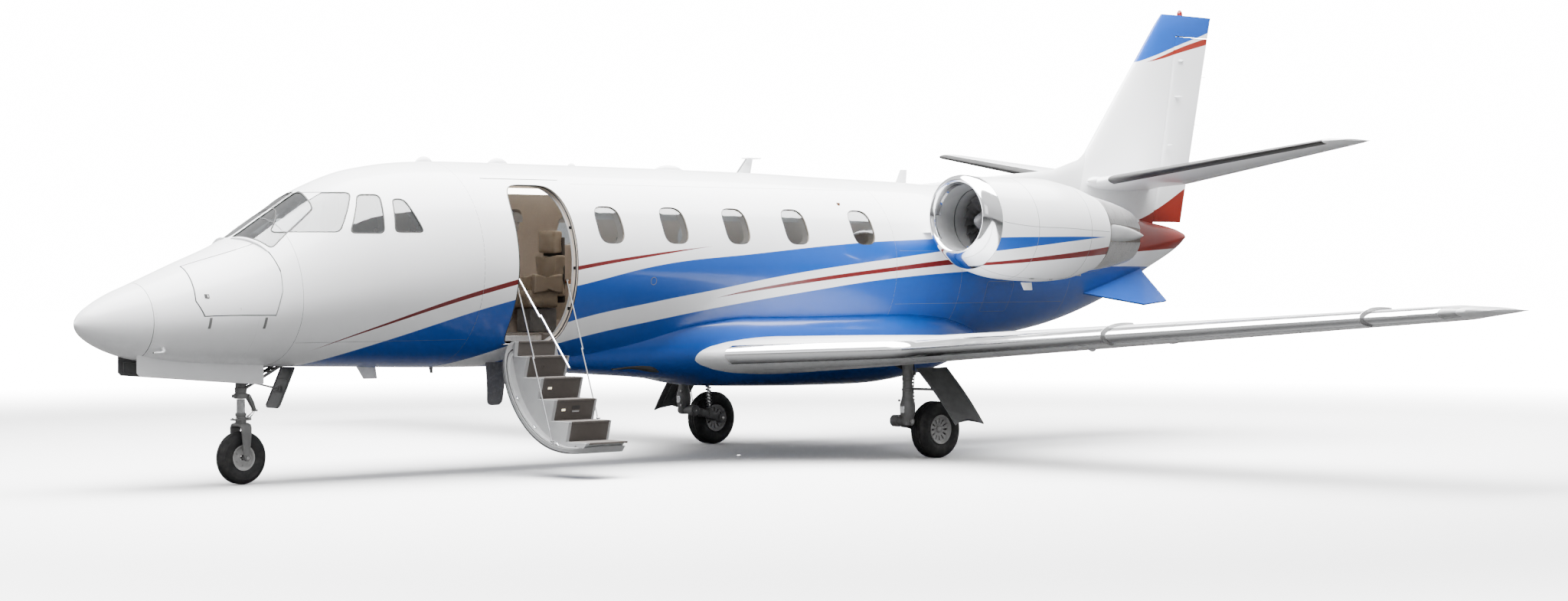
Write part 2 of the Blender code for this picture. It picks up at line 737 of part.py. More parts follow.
def rounded(centre, size, power=0.62, points=16):
    (cx, cz), (w, h) = centre, size
    outline = []
    for i in range(points):
        a = 2 * math.pi * (i + 0.5) / points
        c, s = math.cos(a), math.sin(a)
        outline.append(
            (
                cx + w / 2 * math.copysign(abs(c) ** power, c),
                cz + h / 2 * math.copysign(abs(s) ** power, s),
            )
        )
    return outline


def cut_cabin_windows(cabin):
    for side, stations in ((-1, WINDOW_STATIONS), (1, FAR_WINDOW_STATIONS)):
        for station in stations:
            outline = rounded((x_at(station), WINDOW_Z), WINDOW_SIZE)
            boolean(cabin, prism("window_cut", outline, side * 0.5, side * 1.2))
    applied(cabin)


# Cockpit panes on each side: name, outline as (station, z).
SIDE_PANES = (
    ("forward", ((1.84, 2.36), (2.24, 2.74), (2.66, 2.74), (2.38, 2.36))),
    ("middle", ((2.47, 2.35), (2.70, 2.72), (2.90, 2.72), (2.80, 2.35))),
    ("aft", ((2.91, 2.36), (3.00, 2.68), (3.12, 2.68), (3.22, 2.36))),
)
# Half of the windscreen, as (station, distance from the centre line).
SCREEN = ((1.62, 0.025), (2.36, 0.025), (2.27, 0.42), (1.76, 0.50))


def cut_cockpit_windows(cockpit):
    for side in (-1, 1):
        for word, outline in SIDE_PANES:
            boolean(cockpit, prism("pane_cut", [(x_at(s), z) for s, z in outline], side * 0.3, side * 1.2))
        boolean(cockpit, screen_prism(side))
    applied(cockpit)


def screen_prism(side):
    return loft("screen_cut", [[(x_at(s), side * y, z) for s, y in SCREEN] for z in (2.22, 3.10)])


DOOR_STATIONS = (4.27, 5.00)
DOOR_Z = (1.27, 2.84)
DOOR_THICK = 0.05
DOOR_CLEAR = 0.010
DOOR_POWERS = (0.28, 0.42)
DOOR_POINTS = 24
STAIR_CLEAR = 0.030
DOOR_HINGE = (-0.640, 1.262)
DOOR_OPEN = math.radians(130)
# The sill hinge: stations of the hull's knuckles, with one of the door's arms against each one's aft end.
KNUCKLES = ((4.44, 4.50), (4.69, 4.75))
ARM_WIDTH = 0.05
KNUCKLE_R = 0.006
KNUCKLE_REACH = 0.045
ARM_HALF = 0.003
ARM_LENGTH = 0.035
STAIR_STATIONS = (4.40, 4.93)
# The stairs with the door down, as (y, z): each nosing and the foot of the riser under it.
STAIR_EDGE = (
    (-0.690, 1.300),
    (-0.750, 1.300),
    (-0.730, 1.155),
    (-0.930, 1.155),
    (-0.870, 0.952),
    (-1.150, 0.952),
    (-1.090, 0.747),
    (-1.360, 0.747),
    (-1.300, 0.543),
    (-1.580, 0.543),
    (-1.530, 0.350),
    (-1.850, 0.350),
)
LINK_SIDES = 8
LINK_FLAT = math.cos(math.pi / LINK_SIDES)
LINK_GAP = 0.0005
STAY_R = 0.007
# Each folding stay at rest: name, station, foot (y, z) pinned to the door, top (y, z) left free.
STAY_LINKS = (
    ("stay_forward", 4.300, (-1.445, 0.356), (-0.862, 1.945)),
    ("stay_aft", 4.9370, (-1.358, 0.555), (-0.868, 1.899)),
)
RAIL_R = 0.011
RAIL_STATION = 4.350
RAIL_PIVOT = (-0.753, 2.044)
RAIL_END = (-1.628, 1.061)


def door_outline(grow=0.0):
    """The doorway as (x, z): signed powers of the cosine and sine, squarer in its lower corners."""
    (s0, s1), (z0, z1) = DOOR_STATIONS, DOOR_Z
    outline = []
    for i in range(DOOR_POINTS):
        a = 2 * math.pi * (i + 0.5) / DOOR_POINTS
        c, s = math.cos(a), math.sin(a)
        power = DOOR_POWERS[0] if s < 0 else DOOR_POWERS[1]
        x = x_at((s0 + s1) / 2) + ((s1 - s0) / 2 + grow) * math.copysign(abs(c) ** power, c)
        outline.append((x, (z0 + z1) / 2 + ((z1 - z0) / 2 + grow) * math.copysign(abs(s) ** power, s)))
    return outline


def cut_doorway(cabin):
    boolean(cabin, prism("doorway", door_outline(), -1.2, -0.3))
    applied(cabin)
    y, z = DOOR_HINGE
    for start, end in KNUCKLES:
        boolean(cabin, rod("knuckle", (x_at(start), y, z), (x_at(end), y, z), KNUCKLE_R, 10), "UNION")
        plate_low = (x_at(start), y - KNUCKLE_R / 2, z - KNUCKLE_R)
        plate_high = (x_at(end), y + KNUCKLE_REACH, z + KNUCKLE_R / 2)
        boolean(cabin, box("knuckle_plate", plate_low, plate_high), "UNION")
    applied(cabin)
    y, z = RAIL_PIVOT
    lug = box("rail_lug", (x_at(4.20), -0.93, z - 0.03), (x_at(4.262), y + 0.02, z + 0.03))
    boolean(cabin, lug, "UNION")
    pin_end = RAIL_STATION - RAIL_R * LINK_FLAT - LINK_GAP
    boolean(cabin, rod("rail_pin", (x_at(4.22), y, z), (x_at(pin_end), y, z), 0.012), "UNION")
    applied(cabin)


def swung(point, angle):
    """A (y, z) point turned about the door's hinge."""
    y, z = point[0] - DOOR_HINGE[0], point[1] - DOOR_HINGE[1]
    c, s = math.cos(angle), math.sin(angle)
    return (DOOR_HINGE[0] + y * c - z * s, DOOR_HINGE[1] + y * s + z * c)


def build_door():
    """The airstair, modelled shut in the hull's skin and then swung down about its sill hinge."""
    door = hull_solid("airstair_door", COCKPIT_END, CABIN_END, "grey")
    boolean(door, hull_solid("door_hollow", COCKPIT_END, CABIN_END, inset=DOOR_THICK))
    boolean(door, prism("door_edge", door_outline(-DOOR_CLEAR), -1.2, -0.3), "INTERSECT")
    applied(door)
    boolean(door, stairs(), "UNION")
    station = STAY_LINKS[0][1] - STAY_R * LINK_FLAT - LINK_GAP
    y, z = swung(STAY_LINKS[0][2], -DOOR_OPEN)
    lug = box("stay_lug", (x_at(station - 0.007), y - 0.06, z - 0.02), (x_at(station), y + 0.015, z + 0.02))
    boolean(door, lug, "UNION")
    for _, station in KNUCKLES:
        boolean(door, door_arm(station + GAP), "UNION")
    applied(door)
    centre = Vector((x_at(sum(DOOR_STATIONS) / 2), *DOOR_HINGE))
    door.data.transform(Matrix.Translation(-centre))
    door.location = centre
    door.rotation_euler = (DOOR_OPEN, 0, 0)


def door_arm(station):
    """A flat hinge arm from the sill hinge into the shut door's lower edge."""
    y, z = DOOR_HINGE
    along = Vector((0, 0.56, 0.83)) * ARM_LENGTH
    across = Vector((0, 0.83, -0.56)) * ARM_HALF
    rings = []
    for x in (x_at(station), x_at(station + ARM_WIDTH)):
        foot = Vector((x, y, z)) - along * 0.15
        rings.append([foot - across, foot + across, foot + along + across, foot + along - across])
    return loft("door_arm", rings)


def stairs():
    """The stair block in the shut door's frame, its outer side buried in the door's skin."""
    station = sum(DOOR_STATIONS) / 2
    ring = hull_ring(station, inset=DOOR_THICK * 0.6, sides=96)
    skin = [(y, z) for _, y, z in ring if y < 0 and DOOR_Z[0] + 0.06 < z < DOOR_Z[1] - 0.06]
    skin.sort(key=lambda point: point[1])
    edge = [swung(point, -DOOR_OPEN) for point in STAIR_EDGE]
    outline = edge + list(reversed(skin))
    block = loft("stairs", [[(x_at(s), y, z) for y, z in outline] for s in STAIR_STATIONS])
    boolean(block, prism("stair_edge", door_outline(-STAIR_CLEAR), -2.0, 1.0), "INTERSECT")
    return applied(block)


def folding_link(name, station, foot, top, radius):
    """Two straight halves lying flat to flat, the far half further along X, pinned at mid length."""
    foot, top = Vector((x_at(station), *foot)), Vector((x_at(station), *top))
    middle = (foot + top) / 2
    side = Vector((2 * radius * LINK_FLAT + LINK_GAP, 0, 0))
    along = (top - foot).normalized() * radius
    rod(name + "_near", foot - along, middle + along, radius, LINK_SIDES, "steel", foot)
    rod(name + "_far", middle - along + side, top + side, radius, LINK_SIDES, "steel", middle + side)


def build_links():
    for name, station, foot, top in STAY_LINKS:
        folding_link(name, station, foot, top, STAY_R)
    folding_link("handrail", RAIL_STATION, RAIL_PIVOT, RAIL_END, RAIL_R)


def ring_about(station, y, z, radius, sides=28):
    turn = [2 * math.pi * i / sides for i in range(sides)]
    return [(x_at(station), y + radius * math.cos(a), z + radius * math.sin(a)) for a in turn]


def pylon(side):
    """The stub that carries the engine: a long flat lozenge at the hull that narrows towards the nacelle."""
    rings = []
    for across, front, rear, thick in PYLON:
        front_flat, rear_flat = front + PYLON_NOSE, rear - PYLON_TAIL
        upper = ((front, 0), (front_flat, thick), (rear_flat, thick), (rear, -0.02))
        outline = (*upper, (rear_flat, -thick), (front_flat, -thick))
        rings.append([(x_at(s), side * across, PYLON_Z + height) for s, height in outline])
    return loft("pylon", rings)


def build_engine(word, side):
    y = side * ENGINE_Y
    nacelle = loft("nacelle_" + word, [ring_about(s, y, z, r) for s, r, z in refined(NACELLE)], "white")
    boolean(nacelle, pylon(side), "UNION")
    boolean(nacelle, hull_solid("hull_grown", CABIN_END, HULL_END, inset=-GAP))
    applied(nacelle)
    boolean(nacelle, loft("inlet", [ring_about(s, y, z, r) for s, r, z in INLET]))
    applied(nacelle)
    shaft_s = FAN_S + FAN_HALF + GAP
    shaft_end = (x_at(shaft_s + FAN_SHAFT[0]), y, FAN_Z)
    boolean(nacelle, rod("shaft", (x_at(shaft_s), y, FAN_Z), shaft_end, FAN_SHAFT[1]), "UNION")
    applied(nacelle)
    build_fan(word, y)
    nozzle = loft("reverser_" + word, [ring_about(s, y, z, r) for s, r, z in NOZZLE], "grey")
    for out in (-1, 1):
        outline = [(x_at(s), z) for s, z in STANG]
        boolean(nozzle, prism("stang", outline, y + out * STANG_REACH[0], y + out * STANG_REACH[1]), "UNION")
    boolean(nozzle, loft("bore", [ring_about(s, y, z, r) for s, r, z in BORE]))
    boolean(nozzle, hull_solid("hull_grown", CABIN_END, HULL_END, inset=-0.02))
    applied(nozzle)


# The fan's spinner as (x behind the fan's middle, radius).
SPINNER = ((-0.20, 0.01), (-0.17, 0.05), (-0.10, 0.095), (-0.02, 0.13))


def build_fan(word, y):
    """Blades cut as teeth: each leaves the hub, reaches the tip and comes back within its share of a turn."""
    blades, hub = 20, 0.12
    outline = []
    for i in range(blades):
        for share, radius in ((0.0, hub), (0.08, FAN_R), (0.52, FAN_R), (0.60, hub)):
            a = 2 * math.pi * (i + share) / blades
            outline.append((radius * math.cos(a), radius * math.sin(a)))
    x0 = x_at(FAN_S)
    rings = [[(x0 + dx, y + c, FAN_Z + s) for c, s in outline] for dx in (-FAN_HALF, FAN_HALF)]
    fan = loft("fan_" + word, rings, "steel", (x0, y, FAN_Z))
    spinner = turned("spinner", SPINNER, (x0, y, FAN_Z), 20)
    boolean(fan, spinner, "UNION")
    return fan


def wheel(name, station, y, radius, width, rim, bore, sides=28):
    """A wheel and its tyre as one body, turned about its axle, with a bore through the hub. It stands on a
    flat of the tyre, as a loaded tyre does, and each flat's middle is at the tyre's radius."""
    half = width / 2
    step = math.pi / sides
    outer = (
        (half * 0.62, bore),
        (half * 0.70, rim * 0.55),
        (half * 0.62, rim * 0.92),
        (half * 0.98, rim + 0.015),
        (half, (rim + radius) / 2),
        (half * 0.75, radius - 0.012),
        (half * 0.25, radius),
    )
    outer = [(along, r / math.cos(step)) for along, r in outer]
    profile = [(-along, r) for along, r in outer] + outer[::-1]
    centre = (x_at(station), y, radius)
    return turned(name, profile, centre, sides, "rubber", axis="Y", closed=True, start=step)


def leg_rods(side, grow=0.0):
    """The main leg: its strut, the trunnion that carries the arm, and the shock's upper pin and lug."""
    x, y = x_at(LEG_S), side * MAIN_WHEEL_Y
    pin_y = side * (MAIN_WHEEL_Y - 0.095)
    pin = (x_at(SHOCK_TOP[0]), SHOCK_TOP[1])
    rods = (
        ("strut", (x, y, 0.39), (x, y, 1.12), 0.055),
        ("knuckle", (x, y, 0.44), (x, y, 0.66), 0.072),
        ("trunnion", (x, y + side * 0.06, TRUNNION_Z), (x, side * (ARM_Y - 0.055), TRUNNION_Z), 0.045),
        ("shock_lug", (x, y, SHOCK_TOP[1]), (pin[0], pin_y, pin[1]), 0.026),
        ("shock_pin", (pin[0], pin_y, pin[1]), (pin[0], side * (ARM_Y - 0.045), pin[1]), 0.016),
    )
    return [rod(name, start, end, radius, grow=grow) for name, start, end, radius in rods]


def arm_rods(side, grow=0.0):
    """The trailing arm: its eye on the trunnion, the beam, the axle and the axle's collar."""
    y, z = side * ARM_Y, MAIN_TYRE_R
    eye, hub = x_at(LEG_S), x_at(MAIN_WHEEL_S)
    rods = (
        ("eye", (eye, side * (ARM_Y - 0.045), TRUNNION_Z), (eye, side * (ARM_Y + 0.045), TRUNNION_Z), 0.065),
        ("beam", (eye, y, TRUNNION_Z), (x_at(MAIN_WHEEL_S + 0.03), y, z), 0.038),
        ("axle", (hub, y, z), (hub, side * (MAIN_WHEEL_Y + 0.05), z), MAIN_AXLE_R),
        ("collar", (hub, side * (MAIN_WHEEL_Y - 0.115), z), (hub, side * (ARM_Y - 0.04), z), 0.055),
    )
    return [rod(name, start, end, radius, grow=grow) for name, start, end, radius in rods]


def cut_all(obj, cutters):
    for cutter in cutters:
        boolean(obj, cutter)
    return applied(obj)


def build_main_gear(word, side):
    wheel(
        "main_wheel_" + word,
        MAIN_WHEEL_S,
        side * MAIN_WHEEL_Y,
        MAIN_TYRE_R,
        MAIN_TYRE_W,
        MAIN_RIM_R,
        MAIN_AXLE_R + BORE_GAP,
    )
    leg = joined("main_leg_" + word, leg_rods(side), "grey")
    cut_all(leg, [wing_solid("wing_grown", WING, side, WING_ROOT_Y, SPAN / 2, grow=GAP)])
    arm = joined("trailing_arm_" + word, arm_rods(side), "grey")
    cut_all(arm, leg_rods(side, GAP))
    (top_s, top_z), (low_s, low_z) = SHOCK_TOP, SHOCK_LOW
    top, low = (x_at(top_s), side * ARM_Y, top_z + 0.03), (x_at(low_s), side * ARM_Y, low_z)
    shock = rod("shock_" + word, top, low, 0.036, 16, "steel")
    cut_all(shock, leg_rods(side, GAP) + arm_rods(side, GAP))
    build_leg_door(word, side)


def build_leg_door(word, side):
    """The gear door that hangs splayed outboard of the leg, with the bracket that carries it."""
    sheets = []
    for lift in (0.0, LEG_DOOR_THICK):
        sheets.append([(x_at(s), side * (y + lift), z) for s, y, z in LEG_DOOR])
    door = loft("leg_door_" + word, sheets, "grey")
    bracket_z = 0.74
    high, low = LEG_DOOR[0], LEG_DOOR[-1]
    door_y = high[1] + (high[2] - bracket_z) / (high[2] - low[2]) * (low[1] - high[1])
    start = (x_at(LEG_S + 0.02), side * MAIN_WHEEL_Y, bracket_z)
    end = (x_at(LEG_S + 0.10), side * (door_y + 0.01), bracket_z)
    boolean(door, rod("bracket", start, end, 0.016), "UNION")
    applied(door)
    wing = wing_solid("wing_grown", WING, side, WING_ROOT_Y, SPAN / 2, grow=GAP)
    cut_all(door, leg_rods(side, GAP) + [wing])


def nose_leg_rods():
    """The nose leg's barrel, its drag brace and the rod that holds the door behind the leg."""
    s = NOSE_WHEEL_S
    rods = (
        ("barrel", (s, PISTON_TOP), (s, 1.20), 0.060),
        ("brace", (s, 0.90), (s + 0.55, 1.20), 0.028),
        ("door_rod", (s + 0.10, 0.955), (s + 0.415, 0.862), 0.012),
    )
    return [rod(name, (x_at(a), 0, z), (x_at(b), 0, top), radius) for name, (a, z), (b, top), radius in rods]


def brace_door():
    (s0, z0), (s1, z1) = BRACE_DOOR
    sheets = []
    for back in (0.0, BRACE_DOOR_THICK):
        corners = ((s0, z0, -1), (s0, z0, 1), (s1, z1, 1), (s1, z1, -1))
        sheets.append([(x_at(s + back), way * BRACE_DOOR_HALF, z) for s, z, way in corners])
    return loft("brace_door", sheets)


def build_nose_gear():
    s, r = NOSE_WHEEL_S, NOSE_TYRE_R
    wheel("nose_wheel", s, 0.0, r, NOSE_TYRE_W, NOSE_RIM_R, NOSE_AXLE_R + BORE_GAP, 24)
    leg = joined("nose_leg", [*nose_leg_rods(), brace_door()], "grey")
    cut_all(leg, [hull_solid("hull_grown", 0.18, COCKPIT_END, inset=-GAP)])
    arms = [rod("piston", (x_at(s), 0, 0.56), (x_at(s), 0, PISTON_TOP - GAP), 0.040)]
    arms.append(box("crown", (x_at(s - 0.05), -0.115, 0.53), (x_at(s + 0.05), 0.115, 0.58)))
    for side in (-1, 1):
        arms.append(box("arm", (x_at(s - 0.03), side * 0.085, r - 0.04), (x_at(s + 0.03), side * 0.11, 0.56)))
    arms.append(rod("axle", (x_at(s), -0.10, r), (x_at(s), 0.10, r), NOSE_AXLE_R))
    arms.append(box("link", (x_at(s + 0.02), -0.02, 0.58), (x_at(s + 0.16), 0.02, 0.62)))
    joined("nose_fork", arms, "steel", (x_at(s), 0, r))
    (s0, z0), (s1, z1) = NOSE_DOOR_EDGE
    outline = [(x_at(s0), z0), (x_at(s1), z1), (x_at(s1), NOSE_DOOR_TOP), (x_at(s0), NOSE_DOOR_TOP)]
    for word, side in (("left", -1), ("right", 1)):
        inner, outer = side * NOSE_DOOR_Y, side * (NOSE_DOOR_Y + NOSE_DOOR_THICK)
        door = prism("nose_gear_door_" + word, outline, inner, outer, "grey")
        cut_all(door, [hull_solid("hull_grown", 0.18, COCKPIT_END, inset=-GAP)])


def build_inside():
    front, rear = NOSE_END + BULKHEAD + GAP, CABIN_END - BULKHEAD - GAP
    low, high = (x_at(front), -0.7, FLOOR_Z - FLOOR_THICK), (x_at(rear), 0.7, FLOOR_Z)
    floor = box("cabin_floor", low, high, "brown")
    boolean(floor, hull_solid("floor_bound", front - 0.02, rear + 0.02, inset=WALL + GAP), "INTERSECT")
    low, high = x_at(DOOR_STATIONS[0] - 0.01), x_at(DOOR_STATIONS[1] + 0.01)
    boolean(floor, box("entry_notch", (low, -0.9, FLOOR_Z - 0.1), (high, ENTRY_EDGE_Y, FLOOR_Z + 0.1)))
    for name, (start, end), (left, right) in FLOOR_PANELS:
        corner = (x_at(start), left, FLOOR_Z - FLOOR_THICK / 2)
        boolean(floor, box(name, corner, (x_at(end), right, FLOOR_Z + PANEL_RISE)), "UNION")
    applied(floor)
    seats = (
        ("crew_seat_left", 2.95, -0.37, 1),
        ("crew_seat_right", 2.95, 0.37, 1),
        ("cabin_seat_1_left", 6.30, -0.45, -1),
        ("cabin_seat_1_right", 5.60, 0.45, 1),
        ("cabin_seat_2_left", 7.75, -0.45, 1),
        ("cabin_seat_2_right", 7.20, 0.45, -1),
    )
    for name, station, y, facing in seats:
        build_seat(name, station, y, facing)


SEAT_REACH = 0.24
# A seat's blocks: name, reach ahead of its rear, half width, height above the floor.
SEAT = (
    ("base", (0.06, 0.42), 0.12, (GAP, 0.25)),
    ("cushion", (0.0, 0.48), 0.22, (0.24, 0.42)),
    ("back", (0.0, 0.12), 0.22, (0.30, 1.05)),
)


def build_seat(name, station, y, facing):
    """Facing 1 looks forward: its back is aft of its cushion."""
    pieces = []
    rear = station + facing * SEAT_REACH
    for part, (fore, aft), half, (low, high) in SEAT:
        ends = sorted((rear - facing * fore, rear - facing * aft))
        corners = [(x_at(s), y + way * half, FLOOR_Z + z) for s, way, z in zip(ends, (-1, 1), (low, high))]
        pieces.append(box(part, *corners))
    base, cushion, back = pieces
    joined(name, [base, cushion, back], "beige", (x_at(station), y, FLOOR_Z + GAP))


def main():
    clear_scene()
    build_hull()
    build_door()
    build_links()
    build_inside()
    for word, side in (("left", -1), ("right", 1)):
        build_wing(word, side)
        build_engine(word, side)
        build_main_gear(word, side)
    build_fin()
    build_nose_gear()


main()
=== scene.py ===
"""The looks of the business jet: skins, paint, glass, cabin, gear and small fittings.

Metres, +Z up, the nose towards -X, the door side towards -Y, the ground at Z = 0.
Stations are metres aft of the nose tip: X = station - LENGTH / 2.
"""

import json
import math

import bmesh
import bpy
import numpy as np
from bpy.props import FloatProperty, FloatVectorProperty, IntProperty, PointerProperty
from mathutils import Matrix, Vector

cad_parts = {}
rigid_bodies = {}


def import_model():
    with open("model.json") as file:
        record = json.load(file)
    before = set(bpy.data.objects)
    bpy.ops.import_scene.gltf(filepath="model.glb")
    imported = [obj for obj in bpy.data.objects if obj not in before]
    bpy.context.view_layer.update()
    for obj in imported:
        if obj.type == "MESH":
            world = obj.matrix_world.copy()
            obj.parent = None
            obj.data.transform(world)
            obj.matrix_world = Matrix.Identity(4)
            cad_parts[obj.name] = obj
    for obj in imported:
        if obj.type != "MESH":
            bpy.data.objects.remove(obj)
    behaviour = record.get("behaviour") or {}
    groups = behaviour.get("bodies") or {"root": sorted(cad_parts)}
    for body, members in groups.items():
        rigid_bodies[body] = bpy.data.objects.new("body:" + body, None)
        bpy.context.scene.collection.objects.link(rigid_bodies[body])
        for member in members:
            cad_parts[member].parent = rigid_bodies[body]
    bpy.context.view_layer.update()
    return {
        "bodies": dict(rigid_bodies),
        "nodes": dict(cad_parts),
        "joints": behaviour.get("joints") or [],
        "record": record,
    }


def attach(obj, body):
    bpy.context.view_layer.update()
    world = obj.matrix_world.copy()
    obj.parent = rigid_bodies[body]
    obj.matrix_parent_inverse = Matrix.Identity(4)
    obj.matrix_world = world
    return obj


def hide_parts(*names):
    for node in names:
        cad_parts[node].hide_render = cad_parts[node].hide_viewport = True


bl_info = {
    "name": "Business jet looks",
    "version": (1, 0, 0),
    "blender": (4, 5, 0),
    "location": "3D View > Sidebar > Jet",
    "description": "Skins, paint, glass, cabin and gear details of a parked business jet",
    "category": "Object",
}

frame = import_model()

LENGTH = 16.00
SIDES = (("left", -1), ("right", 1))

# The hull's sections: station, crown z, keel z, half width, z where it is widest.
HULL = np.array(
    (
        (0.00, 1.530, 1.510, 0.010, 1.520),
        (0.05, 1.610, 1.430, 0.095, 1.520),
        (0.18, 1.705, 1.335, 0.195, 1.520),
        (0.36, 1.800, 1.255, 0.290, 1.525),
        (0.59, 1.890, 1.192, 0.385, 1.535),
        (1.05, 2.075, 1.140, 0.540, 1.580),
        (1.57, 2.284, 1.115, 0.680, 1.650),
        (2.00, 2.540, 1.100, 0.790, 1.740),
        (2.45, 2.800, 1.085, 0.870, 1.830),
        (3.00, 2.985, 1.070, 0.935, 1.930),
        (3.60, 3.060, 1.050, 0.972, 2.010),
        (4.10, 3.075, 1.040, 0.985, 2.050),
        (8.00, 3.045, 1.015, 0.985, 2.040),
        (9.30, 3.010, 1.020, 0.975, 2.040),
        (10.30, 2.985, 1.060, 0.940, 2.050),
        (11.40, 2.930, 1.160, 0.840, 2.080),
        (12.65, 2.850, 1.322, 0.660, 2.140),
        (13.84, 2.720, 1.638, 0.440, 2.220),
        (14.61, 2.595, 1.970, 0.290, 2.300),
        (15.25, 2.495, 2.245, 0.140, 2.380),
        (15.43, 2.440, 2.350, 0.060, 2.400),
    )
)
RADOME_END, NOSE_END, COCKPIT_END = 0.59, 1.52, 3.86
CABIN_END, AFT_END, HULL_END = 9.45, 12.65, 15.43
WALL, BULKHEAD, FLOOR_Z = 0.10, 0.05, 1.36

# The wing's and tailplane's rows: distance from the centre line, leading and trailing edge stations, chord z,
# thickness, rise of the leading edge.
WING = np.array(
    (
        (0.60, 6.47, 10.160, 1.057, 0.115, 0.050),
        (0.95, 6.80, 10.158, 1.082, 0.115, 0.038),
        (2.30, 8.18, 10.152, 1.175, 0.140, 0.000),
        (8.30, 8.95, 10.120, 1.590, 0.120, 0.000),
        (8.50, 9.08, 10.080, 1.605, 0.090, 0.000),
        (8.585, 9.35, 9.980, 1.612, 0.030, 0.000),
    )
)
TAILPLANE = np.array(
    (
        (0.02, 13.55, 15.30, 3.020, 0.100, 0.0),
        (3.05, 14.24, 15.02, 3.455, 0.090, 0.0),
        (3.20, 14.48, 14.96, 3.475, 0.040, 0.0),
    )
)
FLAP = {"inner": 1.10, "outer": 5.45, "chord": 0.50}
AILERON = {"inner": 5.50, "outer": 8.10, "chord": 0.34}
ELEVATOR = {"inner": 0.24, "outer": 2.98, "share": 0.30}
# The fin's rows: z, leading edge, hinge and trailing edge stations, thickness.
FIN = np.array(
    (
        (2.56, 13.10, 14.86, 15.40, 0.105),
        (3.40, 13.62, 15.02, 15.59, 0.110),
        (5.02, 14.92, 15.335, 15.965, 0.100),
        (5.15, 15.04, 15.36, 16.00, 0.060),
    )
)
RUDDER_LOW, RUDDER_HIGH = 2.575, 4.88
DORSAL = ((10.72, 2.96), (11.75, 3.064), (13.03, 3.179), (13.52, 3.319), (13.72, 3.50), (14.10, 2.62), (10.72, 2.60))
CLEAR, END_GAP, SLOT_HALF = 0.007, 0.012, 0.3
# The wing fairing's rows: station, half width, keel z, top z.
FAIRING = np.array(
    (
        (4.85, 0.28, 0.990, 1.20),
        (5.90, 0.58, 0.925, 1.45),
        (6.85, 0.88, 0.850, 1.62),
        (7.40, 0.96, 0.765, 1.66),
        (9.40, 0.96, 0.730, 1.66),
        (10.20, 0.88, 0.800, 1.62),
        (11.00, 0.60, 0.980, 1.45),
        (11.40, 0.34, 1.090, 1.30),
    )
)
# The nacelle's rows: station, radius, z of its centre.
NACELLE = np.array(
    (
        (9.70, 0.405, 2.568),
        (9.74, 0.450, 2.560),
        (9.95, 0.512, 2.490),
        (10.40, 0.557, 2.443),
        (10.90, 0.571, 2.430),
        (11.35, 0.530, 2.410),
        (11.72, 0.440, 2.400),
    )
)
ENGINE_Y, FAN_S, FAN_Z, FAN_R = 1.62, 10.20, 2.520, 0.335

WINDOW_STATIONS = {-1: (5.47, 6.32, 7.17, 8.01, 9.00), 1: (4.62, 5.47, 6.32, 7.17, 8.01, 9.00)}
WINDOW_Z, WINDOW_SIZE = 2.45, (0.33, 0.37)
SIDE_PANES = (
    ("forward", ((1.84, 2.36), (2.24, 2.74), (2.66, 2.74), (2.38, 2.36))),
    ("middle", ((2.47, 2.35), (2.70, 2.72), (2.90, 2.72), (2.80, 2.35))),
    ("aft", ((2.91, 2.36), (3.00, 2.68), (3.12, 2.68), (3.22, 2.36))),
)
SCREEN = ((1.62, 0.025), (2.36, 0.025), (2.27, 0.42), (1.76, 0.50))
DOOR_STATIONS, DOOR_Z = (4.27, 5.00), (1.27, 2.84)
DOOR_HINGE, DOOR_OPEN = (-0.640, 1.262), math.radians(130)

# The livery, as edges of (station, z): each colour lies between two of them.
BLUE_TOP = ((2.20, 1.09), (3.00, 1.36), (4.19, 1.695), (5.02, 1.846), (6.14, 2.057), (7.32, 2.16), (8.80, 2.277),
            (9.57, 2.314), (11.60, 2.36), (11.70, 2.355))
BLUE_LOW = ((3.73, 1.02), (4.315, 1.224), (4.976, 1.476), (6.107, 1.685), (6.757, 1.781), (7.885, 1.951),
            (9.62, 2.139), (11.60, 2.345), (11.70, 2.36))
WHITE_LOW = ((4.25, 1.00), (4.996, 1.263), (6.149, 1.49), (8.186, 1.772), (9.67, 1.921), (12.0, 2.01), (13.87, 2.028),
             (14.81, 2.027), (15.5, 2.05))
STRIPE_ONE_TOP = ((1.98, 1.17), (2.70, 1.46), (4.24, 1.905), (5.05, 2.045), (6.0, 2.165), (6.78, 2.240))
STRIPE_ONE_LOW = ((1.98, 1.18), (2.70, 1.44), (4.24, 1.855), (5.05, 2.005), (6.0, 2.140), (6.78, 2.240))
STRIPE_TWO_TOP = ((6.80, 1.695), (7.341, 1.795), (9.62, 2.045), (11.64, 2.215), (13.5, 2.42), (14.51, 2.60),
                  (14.99, 2.775), (15.475, 2.992), (15.9, 3.18))
STRIPE_TWO_LOW = ((6.80, 1.700), (7.341, 1.770), (9.62, 1.995), (11.64, 2.120), (14.295, 2.214), (15.266, 2.255),
                  (15.5, 2.262))
FIN_CAP = ((14.30, 4.50), (14.486, 4.523), (14.80, 4.61), (15.30, 4.77), (15.883, 4.942), (16.0, 4.98))
CRESCENT_TOP = ((14.58, 4.505), (14.90, 4.60), (15.35, 4.745), (15.853, 4.880), (16.0, 4.92))
CRESCENT_LOW = ((14.58, 4.520), (14.90, 4.575), (15.35, 4.685), (15.853, 4.797), (16.0, 4.83))
NACELLE_BLUE_TOP = ((9.74, 2.335), (10.40, 2.345), (11.20, 2.352), (11.62, 2.350))
NACELLE_BLUE_LOW = ((9.74, 2.175), (10.40, 2.245), (11.20, 2.322), (11.62, 2.350))
NACELLE_RED_TOP = ((9.40, 2.03), (10.20, 2.098), (11.00, 2.175), (11.72, 2.245))
